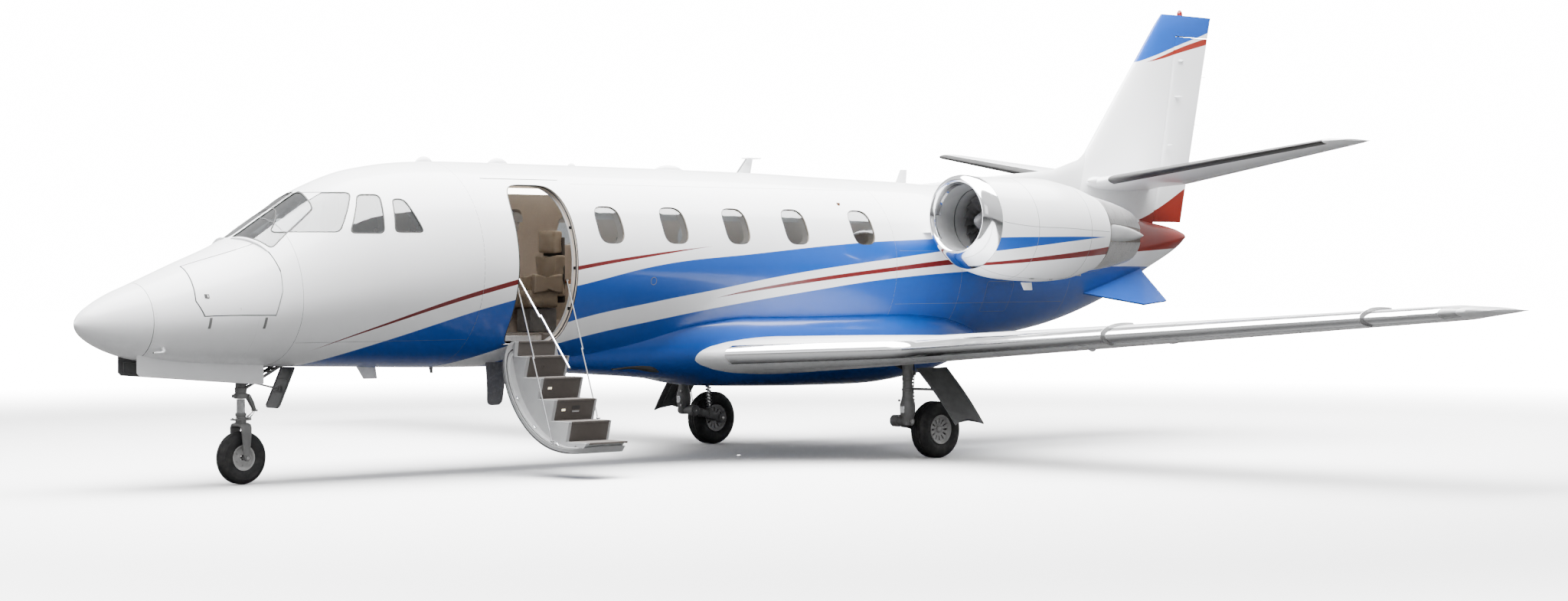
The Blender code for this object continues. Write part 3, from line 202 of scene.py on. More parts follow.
NACELLE_RED_LOW = ((9.40, 2.00), (10.20, 2.058), (11.00, 2.115), (11.72, 2.160))


def x_at(station):
    return station - LENGTH / 2


# Shapes

def smooth(table, column, where):
    """A table's column as a smooth curve through its rows: cubic arcs whose slopes never overshoot."""
    x, y = table[:, 0], table[:, column]
    where = np.clip(np.asarray(where, float), x[0], x[-1])
    step = np.diff(x)
    secant = np.diff(y) / step
    slope = np.zeros(len(x))
    slope[0], slope[-1] = secant[0], secant[-1]
    before, after = secant[:-1], secant[1:]
    w1, w2 = 2 * step[1:] + step[:-1], step[1:] + 2 * step[:-1]
    same = before * after > 0
    slope[1:-1][same] = ((w1 + w2)[same]) / (w1[same] / before[same] + w2[same] / after[same])
    i = np.clip(np.searchsorted(x, where, side="right") - 1, 0, len(x) - 2)
    t = (where - x[i]) / step[i]
    first = y[i] * (1 + 2 * t) * (1 - t) ** 2 + slope[i] * step[i] * t * (1 - t) ** 2
    second = y[i + 1] * t**2 * (3 - 2 * t) + slope[i + 1] * step[i] * t**2 * (t - 1)
    return first + second


def straight(table, column, where):
    return np.interp(where, table[:, 0], table[:, column])


def hull_point(station, angle, inset=0.0):
    """The hull is two half ellipses at each station, joined where it is widest. Angle 0 is the right side."""
    station, angle = np.broadcast_arrays(np.asarray(station, float), np.asarray(angle, float))
    crown, keel, half, widest = (smooth(HULL, column, station) for column in (1, 2, 3, 4))
    height = np.where(np.sin(angle) > 0, crown - widest, widest - keel) - inset
    y = (half - inset) * np.cos(angle)
    return np.stack((x_at(station), y, widest + height * np.sin(angle)), -1)


def hull_angle(station, z, side):
    """The angle at which the hull's skin reaches a height on one side."""
    crown, keel, widest = (smooth(HULL, column, station) for column in (1, 2, 4))
    height = np.where(np.asarray(z) > widest, crown - widest, widest - keel)
    angle = np.arcsin(np.clip((z - widest) / height, -1, 1))
    return angle if side > 0 else math.pi - angle


def hull_side(station, z, side, lift=0.0):
    """The skin's point at a station and a height, moved out by the lift."""
    return hull_point(station, hull_angle(station, z, side), -lift)


def hull_normal(station, angle):
    """The cross product of the skin's two directions, taken by small differences, facing out."""
    small = 1e-3
    along = hull_point(np.asarray(station) + small, angle) - hull_point(np.asarray(station) - small, angle)
    round_ = hull_point(station, np.asarray(angle) + small) - hull_point(station, np.asarray(angle) - small)
    normal = np.cross(round_, along)
    return -normal / np.linalg.norm(normal, axis=-1, keepdims=True)


def new_mesh(name, verts, faces, paint=None, body="airframe", slot=None, replaces=(), sharp=35, mats=()):
    """A piece from arrays of points and faces, with its paint and its body; the slot it stands for is not used."""
    mesh = bpy.data.meshes.new(name)
    verts = np.asarray(verts, float).reshape(-1, 3)
    mesh.from_pydata(verts.tolist(), [], [list(face) for face in faces])
    mesh.validate()
    obj = bpy.data.objects.new(name, mesh)
    bpy.context.scene.collection.objects.link(obj)
    for finish in ([paint] if paint else []) + list(mats):
        mesh.materials.append(finish)
    mesh.shade_smooth()
    if sharp:
        mesh.set_sharp_from_angle(angle=math.radians(sharp))
    if body:
        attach(obj, body)
    if replaces:
        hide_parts(*replaces)
    return obj


def grid_faces(rows, columns, wrap_columns=True, wrap_rows=False):
    """Quads between neighbouring rows and columns of a grid of points."""
    r = np.arange(rows if wrap_rows else rows - 1)
    c = np.arange(columns if wrap_columns else columns - 1)
    r, c = np.meshgrid(r, c, indexing="ij")
    r2, c2 = (r + 1) % rows, (c + 1) % columns
    return np.stack((r * columns + c, r * columns + c2, r2 * columns + c2, r2 * columns + c), -1).reshape(-1, 4)


def skin(name, points, caps=True, wrap=True, rings=False, **how):
    """A surface over a grid of points (rows, columns, 3), closed round its columns, its ends capped."""
    rows, columns = points.shape[:2]
    faces = grid_faces(rows, columns, wrap, rings).tolist()
    if caps and wrap and not rings:
        faces.append(list(range(columns)))
        faces.append(list(range((rows - 1) * columns, rows * columns)))
    obj = new_mesh(name, points, faces, **how)
    outwards(obj)
    return obj


def outwards(obj):
    """Turns a closed mesh's faces outwards."""
    bm = bmesh.new()
    bm.from_mesh(obj.data)
    bmesh.ops.recalc_face_normals(bm, faces=bm.faces)
    if bm.calc_volume(signed=True) < 0:
        bmesh.ops.reverse_faces(bm, faces=bm.faces)
    bm.to_mesh(obj.data)
    bm.free()


def sweep(points, closed=False):
    """Frames along a path: unit tangents and two normals, each frame turned as little as can be from the last."""
    points = np.asarray(points, float)
    ahead = np.roll(points, -1, 0) if closed else np.vstack((points[1:], 2 * points[-1:] - points[-2:-1]))
    behind = np.roll(points, 1, 0) if closed else np.vstack((2 * points[:1] - points[1:2], points[:-1]))
    tangent = ahead - behind
    tangent /= np.linalg.norm(tangent, axis=1, keepdims=True)
    side = np.cross(tangent[0], (0, 0, 1) if abs(tangent[0][2]) < 0.9 else (1, 0, 0))
    sides = []
    for along in tangent:
        side = side - along * (side @ along)
        side = side / np.linalg.norm(side)
        sides.append(side)
    sides = np.array(sides)
    return tangent, sides, np.cross(tangent, sides)


def tube_points(path, radius, around=10, closed=False):
    """Circles of a given radius, or one for each point, square to a path."""
    path = np.asarray(path, float)
    _, side, up = sweep(path, closed)
    turn = np.linspace(0, 2 * math.pi, around, endpoint=False)
    radius = np.broadcast_to(np.asarray(radius, float), (len(path),))[:, None, None]
    circle = np.cos(turn)[None, :, None] * side[:, None] + np.sin(turn)[None, :, None] * up[:, None]
    return path[:, None] + radius * circle


def tube(name, path, radius, around=10, closed=False, **how):
    return skin(name, tube_points(path, radius, around, closed), rings=closed, **how)


def turned(name, profile, centre, axis=0, around=48, closed=False, **how):
    """A profile of (along, radius) turned about an axis through the centre."""
    profile = np.asarray(profile, float)
    turn = np.linspace(0, 2 * math.pi, around, endpoint=False)
    across = [(1, 2), (2, 0), (0, 1)][axis]
    points = np.zeros((len(profile), around, 3))
    points[..., axis] = profile[:, None, 0]
    points[..., across[0]] = profile[:, None, 1] * np.cos(turn)
    points[..., across[1]] = profile[:, None, 1] * np.sin(turn)
    return skin(name, points + np.asarray(centre, float), rings=closed, **how)


def slab(name, low, high, bevel=0.0, segments=2, **how):
    """A box between two corners with its edges rounded."""
    (x0, y0, z0), (x1, y1, z1) = low, high
    verts = [(x, y, z) for x in (x0, x1) for y in (y0, y1) for z in (z0, z1)]
    faces = [(0, 1, 3, 2), (4, 6, 7, 5), (0, 4, 5, 1), (2, 3, 7, 6), (0, 2, 6, 4), (1, 5, 7, 3)]
    obj = new_mesh(name, verts, faces, **how)
    outwards(obj)
    if bevel:
        round_edges(obj, bevel, segments)
    return obj


def round_edges(obj, width, segments=2, angle=30):
    """Bevels the edges and applies it, so that a pattern on Object coordinates stays put."""
    edge = obj.modifiers.new("Rounded edges", "BEVEL")
    edge.width = width
    edge.segments = segments
    edge.limit_method = "ANGLE"
    edge.angle_limit = math.radians(angle)
    return applied(obj)


def applied(obj):
    """Replaces the mesh by what its modifiers make of it."""
    bpy.context.view_layer.update()
    graph = bpy.context.evaluated_depsgraph_get()
    mesh = bpy.data.meshes.new_from_object(obj.evaluated_get(graph), preserve_all_data_layers=True, depsgraph=graph)
    helpers = {m.object for m in obj.modifiers if m.type == "BOOLEAN"}
    obj.modifiers.clear()
    obj.data = mesh
    for helper in helpers:
        bpy.data.objects.remove(helper, do_unlink=True)
    return obj


def prism(outline, low, high, axis=1):
    """An outline in the two other axes swept along one axis, as a helper with no body."""
    outline = np.asarray(outline, float)
    rings = np.zeros((2, len(outline), 3))
    rest = [i for i in range(3) if i != axis]
    rings[:, :, rest[0]], rings[:, :, rest[1]] = outline[:, 0], outline[:, 1]
    rings[0, :, axis], rings[1, :, axis] = low, high
    return skin("helper", rings, body=None)


def cut(obj, *helpers, operation="DIFFERENCE", sharp=35):
    """Applies Booleans with each helper and removes the helpers."""
    for helper in helpers:
        step = obj.modifiers.new("Cut", "BOOLEAN")
        step.operation = operation
        step.object = helper
        step.solver = "EXACT"
    applied(obj)
    obj.data.shade_smooth()
    obj.data.set_sharp_from_angle(angle=math.radians(sharp))
    return obj


def joined(name, pieces):
    """Several pieces as one object that keeps the first one's body."""
    first = pieces[0]
    bm = bmesh.new()
    mats = []
    for piece in pieces:
        local = [m for m in piece.data.materials]
        for m in local:
            if m not in mats:
                mats.append(m)
        start = len(bm.faces)
        bm.from_mesh(piece.data)
        bm.faces.ensure_lookup_table()
        for face in bm.faces[start:]:
            face.material_index = mats.index(local[face.material_index]) if local else 0
    mesh = bpy.data.meshes.new(name)
    bm.to_mesh(mesh)
    bm.free()
    for m in mats:
        mesh.materials.append(m)
    first.data = mesh
    first.name = name
    for piece in pieces[1:]:
        bpy.data.objects.remove(piece, do_unlink=True)
    return first


def superellipse(centre, size, power, points):
    """A rounded rectangle: each coordinate is a signed power of the cosine or sine of the angle."""
    turn = np.linspace(0, 2 * math.pi, points, endpoint=False)
    c, s = np.cos(turn), np.sin(turn)
    x = centre[0] + size[0] / 2 * np.sign(c) * np.abs(c) ** power
    z = centre[1] + size[1] / 2 * np.sign(s) * np.abs(s) ** power
    return np.stack((x, z), -1)


def rounded_polygon(corners, radius, steps=5):
    """A polygon of (station, z) corners with each corner replaced by an arc-like curve of about the given radius."""
    corners = np.asarray(corners, float)
    out = []
    for before, corner, after in zip(np.roll(corners, 1, 0), corners, np.roll(corners, -1, 0)):
        a = corner + (before - corner) * min(0.45, radius / np.linalg.norm(before - corner))
        b = corner + (after - corner) * min(0.45, radius / np.linalg.norm(after - corner))
        for t in np.linspace(0, 1, steps):
            out.append(a * (1 - t) ** 2 + corner * 2 * t * (1 - t) + b * t**2)
    return np.array(out)


def dense(outline, step=0.02, closed=True):
    """More points along an outline, no further apart than the step."""
    outline = np.asarray(outline, float)
    ends = np.roll(outline, -1, 0) if closed else outline[1:]
    out = []
    for a, b in zip(outline, ends):
        count = max(1, int(np.linalg.norm(b - a) / step))
        out.extend(a + (b - a) * k / count for k in range(count))
    if not closed:
        out.append(outline[-1])
    return np.array(out)


def on_hull(outline, side, lift=0.0):
    """An outline of (station, z) laid on one side of the hull."""
    outline = np.asarray(outline, float)
    return hull_side(outline[:, 0], outline[:, 1], side, lift)


def strip_points(path, normals, width, height):
    """A low rounded bar along a path on a surface: five points across it at each stop."""
    path, normals = np.asarray(path, float), np.asarray(normals, float)
    tangent = np.gradient(path, axis=0)
    across = np.cross(tangent, normals)
    across /= np.linalg.norm(across, axis=1, keepdims=True)
    shape = ((-0.5, -0.6), (-0.42, 0.7), (0.0, 1.0), (0.42, 0.7), (0.5, -0.6))
    return np.stack([path + across * (u * width) + normals * (v * height) for u, v in shape], 1)


def hull_strip(name, outline, side, width, height, closed=True, **how):
    """A strip that follows an outline of (station, z) on the hull."""
    outline = dense(outline, 0.025, closed)
    if closed:
        outline = np.vstack((outline, outline[:1]))
    angle = hull_angle(outline[:, 0], outline[:, 1], side)
    path = hull_point(outline[:, 0], angle)
    return skin(name, strip_points(path, hull_normal(outline[:, 0], angle), width, height), **how)


def hull_ring_strip(name, station, width, height, low=0.0, high=2 * math.pi, **how):
    """A strip round the hull at one station, between two angles."""
    angle = np.linspace(low, high, 97)
    path = hull_point(station, angle)
    return skin(name, strip_points(path, hull_normal(np.full(97, station), angle), width, height), **how)


def studs(name, points, normals, radius, height, around=7, **how):
    """Many low round heads as one mesh: a small dome of two rings and a top point for each place."""
    points, normals = np.asarray(points, float), np.asarray(normals, float)
    pick = np.where(np.abs(normals[:, 2:3]) < 0.9, np.array([[0.0, 0.0, 1.0]]), np.array([[1.0, 0.0, 0.0]]))
    side = np.cross(normals, pick)
    side /= np.linalg.norm(side, axis=1, keepdims=True)
    up = np.cross(normals, side)
    turn = np.linspace(0, 2 * math.pi, around, endpoint=False)
    ring = np.cos(turn)[None, :, None] * side[:, None] + np.sin(turn)[None, :, None] * up[:, None]
    low = points[:, None] + ring * radius - normals[:, None] * height * 0.5
    mid = points[:, None] + ring * radius * 0.8 + normals[:, None] * height * 0.6
    top = (points + normals * height)[:, None]
    verts = np.concatenate((low, mid, top), 1)
    each = 2 * around + 1
    i = np.arange(around)
    j = (i + 1) % around
    quads = np.stack((i, j, j + around, i + around), -1)
    tips = np.stack((i + around, j + around, np.full(around, 2 * around)), -1)
    faces = []
    for k in range(len(points)):
        faces.extend((quads + k * each).tolist())
        faces.extend((tips + k * each).tolist())
    obj = new_mesh(name, verts, faces, **how)
    outwards(obj)
    return obj


# Finishes

class Finish:
    """A material and its node tree, with short calls for the few nodes these finishes use."""

    def __init__(self, name, colour=(0.8, 0.8, 0.8), rough=0.4, metal=0.0, **sockets):
        self.material = bpy.data.materials.new(name)
        self.material.use_nodes = True
        self.nodes = self.material.node_tree.nodes
        self.links = self.material.node_tree.links
        self.shader = self.nodes["Principled BSDF"]
        self.place = self.nodes.new("ShaderNodeTexCoord").outputs["Object"]
        self.material.diffuse_color = (*colour, 1.0)
        self.set("Base Color", (*colour, 1.0))
        self.set("Roughness", rough)
        self.set("Metallic", metal)
        for socket, value in sockets.items():
            self.set(socket.replace("_", " "), value)

    def set(self, socket, value):
        target = self.shader.inputs[socket]
        if isinstance(value, bpy.types.NodeSocket):
            self.links.new(value, target)
        else:
            target.default_value = value

    def node(self, kind, inputs=(), **settings):
        made = self.nodes.new("ShaderNode" + kind)
        for key, value in settings.items():
            setattr(made, key, value)
        for key, value in dict(inputs).items():
            if isinstance(value, bpy.types.NodeSocket):
                self.links.new(value, made.inputs[key])
            elif value is not None:
                made.inputs[key].default_value = value
        return made

    def axes(self):
        return self.node("SeparateXYZ", {0: self.place}).outputs

    def math(self, operation, a, b=None, c=None, clamp=False):
        return self.node("Math", {0: a, 1: b, 2: c}, operation=operation, use_clamp=clamp).outputs[0]

    def mix(self, share, a, b, blend="MIX"):
        def four(colour):
            return (*colour, 1.0) if isinstance(colour, tuple) and len(colour) == 3 else colour

        return self.node("Mix", {0: share, 6: four(a), 7: four(b)}, data_type="RGBA", blend_type=blend).outputs[2]

    def noise(self, scale, detail=3.0, rough=0.55, place=None, stretch=None):
        place = place or self.place
        if stretch:
            place = self.node("Mapping", {"Vector": place, "Scale": stretch}).outputs[0]
        made = self.node("TexNoise", {"Vector": place, "Scale": scale, "Detail": detail, "Roughness": rough})
        return made.outputs["Fac"]

    def span(self, value, low, high, out_low=0.0, out_high=1.0):
        sockets = {0: value, 1: low, 2: high, 3: out_low, 4: out_high}
        return self.node("MapRange", sockets, clamp=True).outputs[0]

    def bump(self, height, strength=0.2, distance=0.001):
        made = self.node("Bump", {"Height": height, "Strength": strength, "Distance": distance})
        self.links.new(made.outputs[0], self.shader.inputs["Normal"])

    def curve(self, share, points, top):
        """A height read off a curve of (station, z) points, both stored as shares."""
        made = self.node("FloatCurve", {"Value": share})
        line = made.mapping.curves[0]
        while len(line.points) < len(points):
            line.points.new(0.5, 0.5)
        for knot, (station, z) in zip(line.points, points):
            knot.location = (station / LENGTH, z / top)
        made.mapping.update()
        return self.math("MULTIPLY", made.outputs[0], top)

    def worn(self, colour, amount=0.06, scale=3.0):
        """The colour a little lighter and darker in broad patches, as handled surfaces are."""
        shade = self.span(self.noise(scale), 0.3, 0.7, 1.0 - amount, 1.0 + amount)
        scaled = self.node("VectorMath", {0: colour, "Scale": shade}, operation="SCALE")
        return scaled.outputs[0]


WHITE = (0.80, 0.805, 0.815)
BLUE = (0.0, 0.058, 0.32)
DARK_RED = (0.12, 0.004, 0.004)
ORANGE_RED = (0.21, 0.012, 0.004)
TOP_Z = 6.0
EDGE_WIDTH = 0.004


def paint_sheen(finish):
    """Clear lacquer over the colour, with the faint ripple of sprayed paint."""
    finish.set("Roughness", finish.span(finish.noise(2.3, 4.0), 0.3, 0.7, 0.30, 0.36))
    finish.set("Specular IOR Level", 0.30)
    finish.set("Coat Weight", 0.35)
    finish.set("Coat Roughness", 0.06)
    finish.bump(finish.noise(90.0, 2.0), 0.02, 0.0003)


def livery(name, areas):
    """White lacquer with coloured areas. Each area lies between two edges of (station, z); a top or low edge may
    be missing, and its colour may change along the length from one to another between two stations."""
    finish = Finish(name)
    x, _, z = finish.axes()
    share = finish.math("MULTIPLY_ADD", x, 1 / LENGTH, 0.5)
    colour = finish.mix(0.0, WHITE, WHITE)
    for low, top, ends, (first, second, start, end) in areas:
        mask = None
        for edge, way in ((low, 1), (top, -1)):
            if edge:
                over = finish.math("SUBTRACT", z, finish.curve(share, edge, TOP_Z))
                side = finish.math("MULTIPLY_ADD", over, way / EDGE_WIDTH, 0.5, clamp=True)
                mask = side if mask is None else finish.math("MULTIPLY", mask, side)
        for station, way in zip(ends, (1, -1)):
            if station is not None:
                beyond = finish.math("MULTIPLY_ADD", x, way / EDGE_WIDTH, -way * x_at(station) / EDGE_WIDTH, clamp=True)
                mask = finish.math("MULTIPLY", mask, beyond)
        change = finish.span(x, x_at(start), x_at(end))
        colour = finish.mix(mask, colour, finish.mix(change, first, second))
    finish.set("Base Color", finish.worn(colour, 0.02, 1.3))
    paint_sheen(finish)
    return finish.material


ONE_BLUE = (BLUE, BLUE, 0.0, 1.0)
REDS = (DARK_RED, ORANGE_RED, 10.5, 14.6)


def make_finishes():
    """Every finish of the aircraft, by a short name."""
    made = {}
    made["hull"] = livery("hull_paint", (
        (BLUE_LOW, BLUE_TOP, (2.22, 11.68), ONE_BLUE),
        (None, WHITE_LOW, (4.20, None), ONE_BLUE),
        (STRIPE_ONE_LOW, STRIPE_ONE_TOP, (1.98, 6.78), REDS),
        (STRIPE_TWO_LOW, STRIPE_TWO_TOP, (6.80, None), REDS),
    ))
    made["fin"] = livery("fin_paint", (
        (STRIPE_TWO_LOW, STRIPE_TWO_TOP, (6.80, None), REDS),
        (FIN_CAP, None, (13.0, None), ONE_BLUE),
        (CRESCENT_LOW, CRESCENT_TOP, (13.0, None), REDS),
    ))
    made["nacelle"] = livery("nacelle_paint", (
        (NACELLE_BLUE_LOW, NACELLE_BLUE_TOP, (9.0, 11.62), ONE_BLUE),
        (NACELLE_RED_LOW, NACELLE_RED_TOP, (9.40, None), REDS),
    ))
    plain = Finish("white_lacquer")
    plain.set("Base Color", plain.worn(plain.mix(0.0, WHITE, WHITE), 0.03, 1.5))
    paint_sheen(plain)
    made["white"] = plain.material
    blue = Finish("blue_lacquer")
    blue.set("Base Color", blue.worn(blue.mix(0.0, BLUE, BLUE), 0.04, 1.5))
    paint_sheen(blue)
    made["blue"] = blue.material

    chrome = Finish("polished_metal", metal=1.0)
    chrome.set("Base Color", chrome.worn(chrome.mix(0.0, (0.86, 0.87, 0.88), (0.86, 0.87, 0.88)), 0.02, 4.0))
    chrome.set("Roughness", chrome.span(chrome.noise(9.0, 5.0), 0.3, 0.75, 0.05, 0.16))
    chrome.bump(chrome.noise(220.0, 2.0, stretch=(0.15, 1.0, 1.0)), 0.03, 0.0003)
    made["chrome"] = chrome.material

    brushed = Finish("brushed_metal", metal=1.0)
    grain = brushed.noise(160.0, 3.0, stretch=(1.0, 0.04, 0.04))
    tone = brushed.mix(brushed.noise(1.8, 4.0), (0.36, 0.36, 0.37), (0.62, 0.61, 0.60))
    brushed.set("Base Color", tone)
    brushed.set("Roughness", brushed.span(grain, 0.2, 0.8, 0.22, 0.42))
    brushed.bump(grain, 0.12, 0.0004)
    made["brushed"] = brushed.material

    hot = Finish("heat_stained_metal", metal=1.0)
    stain = hot.mix(hot.span(hot.noise(2.5, 5.0), 0.35, 0.65), (0.30, 0.27, 0.24), (0.46, 0.44, 0.43))
    hot.set("Base Color", hot.mix(hot.span(hot.axes()[0], x_at(11.9), x_at(12.45)), stain, (0.23, 0.19, 0.17)))
    hot.set("Roughness", hot.span(hot.noise(14.0, 4.0), 0.3, 0.7, 0.28, 0.50))
    made["hot"] = hot.material

    grey = Finish("grey_enamel")
    grey.set("Base Color", grey.worn(grey.mix(grey.noise(18.0, 5.0), (0.19, 0.193, 0.197), (0.25, 0.252, 0.255)), 0.10, 6.0))
    grey.set("Roughness", grey.span(grey.noise(30.0, 3.0), 0.3, 0.7, 0.34, 0.52))
    grey.bump(grey.noise(240.0, 2.0), 0.10, 0.0004)
    made["grey"] = grey.material

    pale = Finish("pale_grey_enamel")
    pale.set("Base Color", pale.worn(pale.mix(pale.noise(12.0, 4.0), (0.30, 0.303, 0.307), (0.35, 0.353, 0.357)), 0.06, 4.0))
    pale.set("Roughness", pale.span(pale.noise(40.0, 3.0), 0.3, 0.7, 0.36, 0.50))
    pale.bump(pale.noise(320.0, 2.0), 0.12, 0.0004)
    made["pale"] = pale.material

    seal = Finish("dark_seal", rough=0.6)
    seal.set("Base Color", seal.worn(seal.mix(seal.noise(30.0), (0.018, 0.018, 0.019), (0.035, 0.034, 0.033)), 0.15, 9.0))
    seal.bump(seal.noise(180.0, 2.0), 0.15, 0.0005)
    made["seal"] = seal.material

    seam = Finish("panel_seam", rough=0.5)
    seam.set("Base Color", seam.mix(seam.noise(7.0), (0.11, 0.112, 0.115), (0.17, 0.172, 0.175)))
    made["seam"] = seam.material

    tyre = Finish("tyre_rubber", rough=0.75)
    dust = tyre.span(tyre.noise(11.0, 5.0), 0.45, 0.75)
    tyre.set("Base Color", tyre.mix(dust, (0.012, 0.012, 0.013), (0.034, 0.033, 0.031)))
    tyre.set("Roughness", tyre.span(tyre.noise(26.0, 3.0), 0.3, 0.7, 0.55, 0.80))
    tyre.bump(tyre.noise(300.0, 2.0), 0.2, 0.0006)
    made["tyre"] = tyre.material

    boot = Finish("rubber_boot", rough=0.45)
    boot.set("Base Color", boot.mix(boot.noise(5.0, 4.0), (0.016, 0.016, 0.017), (0.040, 0.039, 0.038)))
    boot.bump(boot.noise(150.0, 3.0), 0.15, 0.0006)
    made["boot"] = boot.material

    glass = Finish("window_glass", (0.75, 0.78, 0.80), 0.03, Transmission_Weight=1.0, IOR=1.75)
    glass.set("Base Color", glass.mix(glass.noise(0.8), (0.50, 0.53, 0.55), (0.58, 0.60, 0.61)))
    glass.set("Roughness", glass.span(glass.noise(3.0, 2.0), 0.3, 0.7, 0.02, 0.05))
    made["glass"] = glass.material

    lamp = Finish("lamp_glass", rough=0.08, Transmission_Weight=0.5, IOR=1.45)
    lamp.set("Base Color", lamp.mix(lamp.noise(40.0), (0.75, 0.76, 0.78), (0.9, 0.9, 0.9)))
    made["lamp"] = lamp.material

    leather = Finish("beige_leather")
    grain = leather.node("TexVoronoi", {"Vector": leather.place, "Scale": 260.0}, feature="F1").outputs["Distance"]
    hide = leather.mix(leather.noise(2.2, 5.0), (0.27, 0.225, 0.175), (0.36, 0.305, 0.24))
    leather.set("Base Color", leather.worn(hide, 0.10, 5.0))
    leather.set("Roughness", leather.span(leather.noise(20.0, 3.0), 0.3, 0.7, 0.42, 0.60))
    leather.bump(leather.math("ADD", grain, leather.noise(90.0, 4.0)), 0.30, 0.0008)
    made["leather"] = leather.material

    carpet = Finish("cabin_carpet_pile", rough=0.95)
    pile = carpet.noise(420.0, 3.0)
    carpet.set("Base Color", carpet.mix(pile, (0.045, 0.034, 0.026), (0.10, 0.078, 0.060)))
    carpet.set("Sheen Weight", 0.3)
    carpet.bump(pile, 0.6, 0.003)
    made["carpet"] = carpet.material

    tread = Finish("step_tread", rough=0.85)
    grit = tread.noise(380.0, 3.0)
    tread.set("Base Color", tread.mix(grit, (0.055, 0.048, 0.043), (0.095, 0.084, 0.076)))
    tread.bump(grit, 0.6, 0.0015)
    made["tread"] = tread.material

    wood = Finish("walnut_veneer", rough=0.25, Coat_Weight=0.6)
    rings = wood.node("TexWave", {"Vector": wood.place, "Scale": 1.6, "Distortion": 6.0, "Detail": 4.0}, wave_type="BANDS", bands_direction="Z")
    wood.set("Base Color", wood.mix(rings.outputs["Fac"], (0.055, 0.022, 0.010), (0.14, 0.062, 0.028)))
    wood.bump(rings.outputs["Fac"], 0.05, 0.0004)
    made["wood"] = wood.material

    glow = Finish("cabin_lamp_glow", rough=0.4)
    glow.set("Base Color", glow.mix(glow.noise(20.0), (0.80, 0.76, 0.70), (0.86, 0.82, 0.76)))
    glow.set("Emission Color", glow.mix(glow.noise(6.0), (1.0, 0.93, 0.85), (1.0, 0.96, 0.90)))
    glow.set("Emission Strength", 11.0)
    made["glow"] = glow.material

    small = Finish("step_lamp_glow", rough=0.3)
    small.set("Base Color", small.mix(small.noise(60.0), (0.85, 0.80, 0.62), (0.92, 0.88, 0.72)))
    small.set("Emission Color", small.mix(small.noise(60.0), (1.0, 0.86, 0.55), (1.0, 0.92, 0.66)))
    small.set("Emission Strength", 1.5)
    made["glow_small"] = small.material

    liner = Finish("cabin_liner", rough=0.6)
    liner.set("Base Color", liner.worn(liner.mix(liner.noise(60.0), (0.38, 0.33, 0.28), (0.44, 0.385, 0.33)), 0.05, 2.0))
    liner.bump(liner.noise(300.0, 2.0), 0.12, 0.0005)
    made["liner"] = liner.material

    wing = Finish("wing_lacquer")
    wing.set("Base Color", wing.worn(wing.mix(wing.noise(0.9, 4.0), (0.66, 0.67, 0.68), WHITE), 0.05, 2.5))
    paint_sheen(wing)
    made["wing"] = wing.material

    duct = Finish("inlet_duct_paint", rough=0.4)
    duct.set("Base Color", duct.worn(duct.mix(duct.noise(8.0, 4.0), (0.17, 0.172, 0.176), (0.24, 0.242, 0.246)), 0.06, 5.0))
    duct.bump(duct.noise(120.0, 3.0), 0.08, 0.0004)
    made["duct"] = duct.material

    fan = Finish("fan_titanium", metal=1.0)
    streak = fan.noise(90.0, 3.0, stretch=(0.2, 1.0, 1.0))
    fan.set("Base Color", fan.mix(streak, (0.20, 0.20, 0.205), (0.34, 0.34, 0.345)))
    fan.set("Roughness", fan.span(streak, 0.3, 0.7, 0.30, 0.45))
    made["fan"] = fan.material

    spinner = Finish("spinner_paint", rough=0.45)
    spinner.set("Base Color", spinner.worn(spinner.mix(spinner.noise(20.0), (0.10, 0.10, 0.105), (0.15, 0.15, 0.155)), 0.2, 12.0))
    spinner.bump(spinner.noise(200.0, 2.0), 0.1, 0.0004)
    made["spinner"] = spinner.material

    beacon = Finish("beacon_red_glass", rough=0.08, Transmission_Weight=0.6, IOR=1.45)
    beacon.set("Base Color", beacon.mix(beacon.noise(30.0), (0.30, 0.02, 0.02), (0.45, 0.04, 0.03)))
    made["beacon"] = beacon.material

    for name, low, high, rough in (
        ("leg", (0.135, 0.135, 0.135), (0.18, 0.18, 0.18), 0.42),
        ("rim", (0.36, 0.36, 0.355), (0.46, 0.46, 0.455), 0.38),
        ("door", (0.085, 0.086, 0.088), (0.115, 0.116, 0.118), 0.40),
        ("chute", (0.15, 0.149, 0.157), (0.19, 0.188, 0.198), 0.25),
    ):
        enamel = Finish(name + "_enamel")
        enamel.set("Base Color", enamel.worn(enamel.mix(enamel.noise(14.0, 5.0), low, high), 0.10, 7.0))
        enamel.set("Roughness", enamel.span(enamel.noise(30.0, 3.0), 0.3, 0.7, rough - 0.07, rough + 0.08))
        enamel.bump(enamel.noise(150.0, 3.0), 0.10, 0.0005)
        made[name] = enamel.material

    spring = Finish("spring_steel", rough=0.35, metal=0.6)
    spring.set("Base Color", spring.worn(spring.mix(spring.noise(40.0), (0.10, 0.10, 0.105), (0.20, 0.20, 0.21)), 0.15, 20.0))
    made["spring"] = spring.material

    dark = Finish("black_plastic", rough=0.5)
    dark.set("Base Color", dark.worn(dark.mix(dark.noise(50.0), (0.010, 0.010, 0.011), (0.026, 0.026, 0.027)), 0.1, 7.0))
    dark.bump(dark.noise(260.0, 2.0), 0.12, 0.0004)
    made["dark"] = dark.material
    return made


FINISH = {}


def paint(name):
    if not FINISH:
        FINISH.update(make_finishes())
    return FINISH[name]


# Fuselage

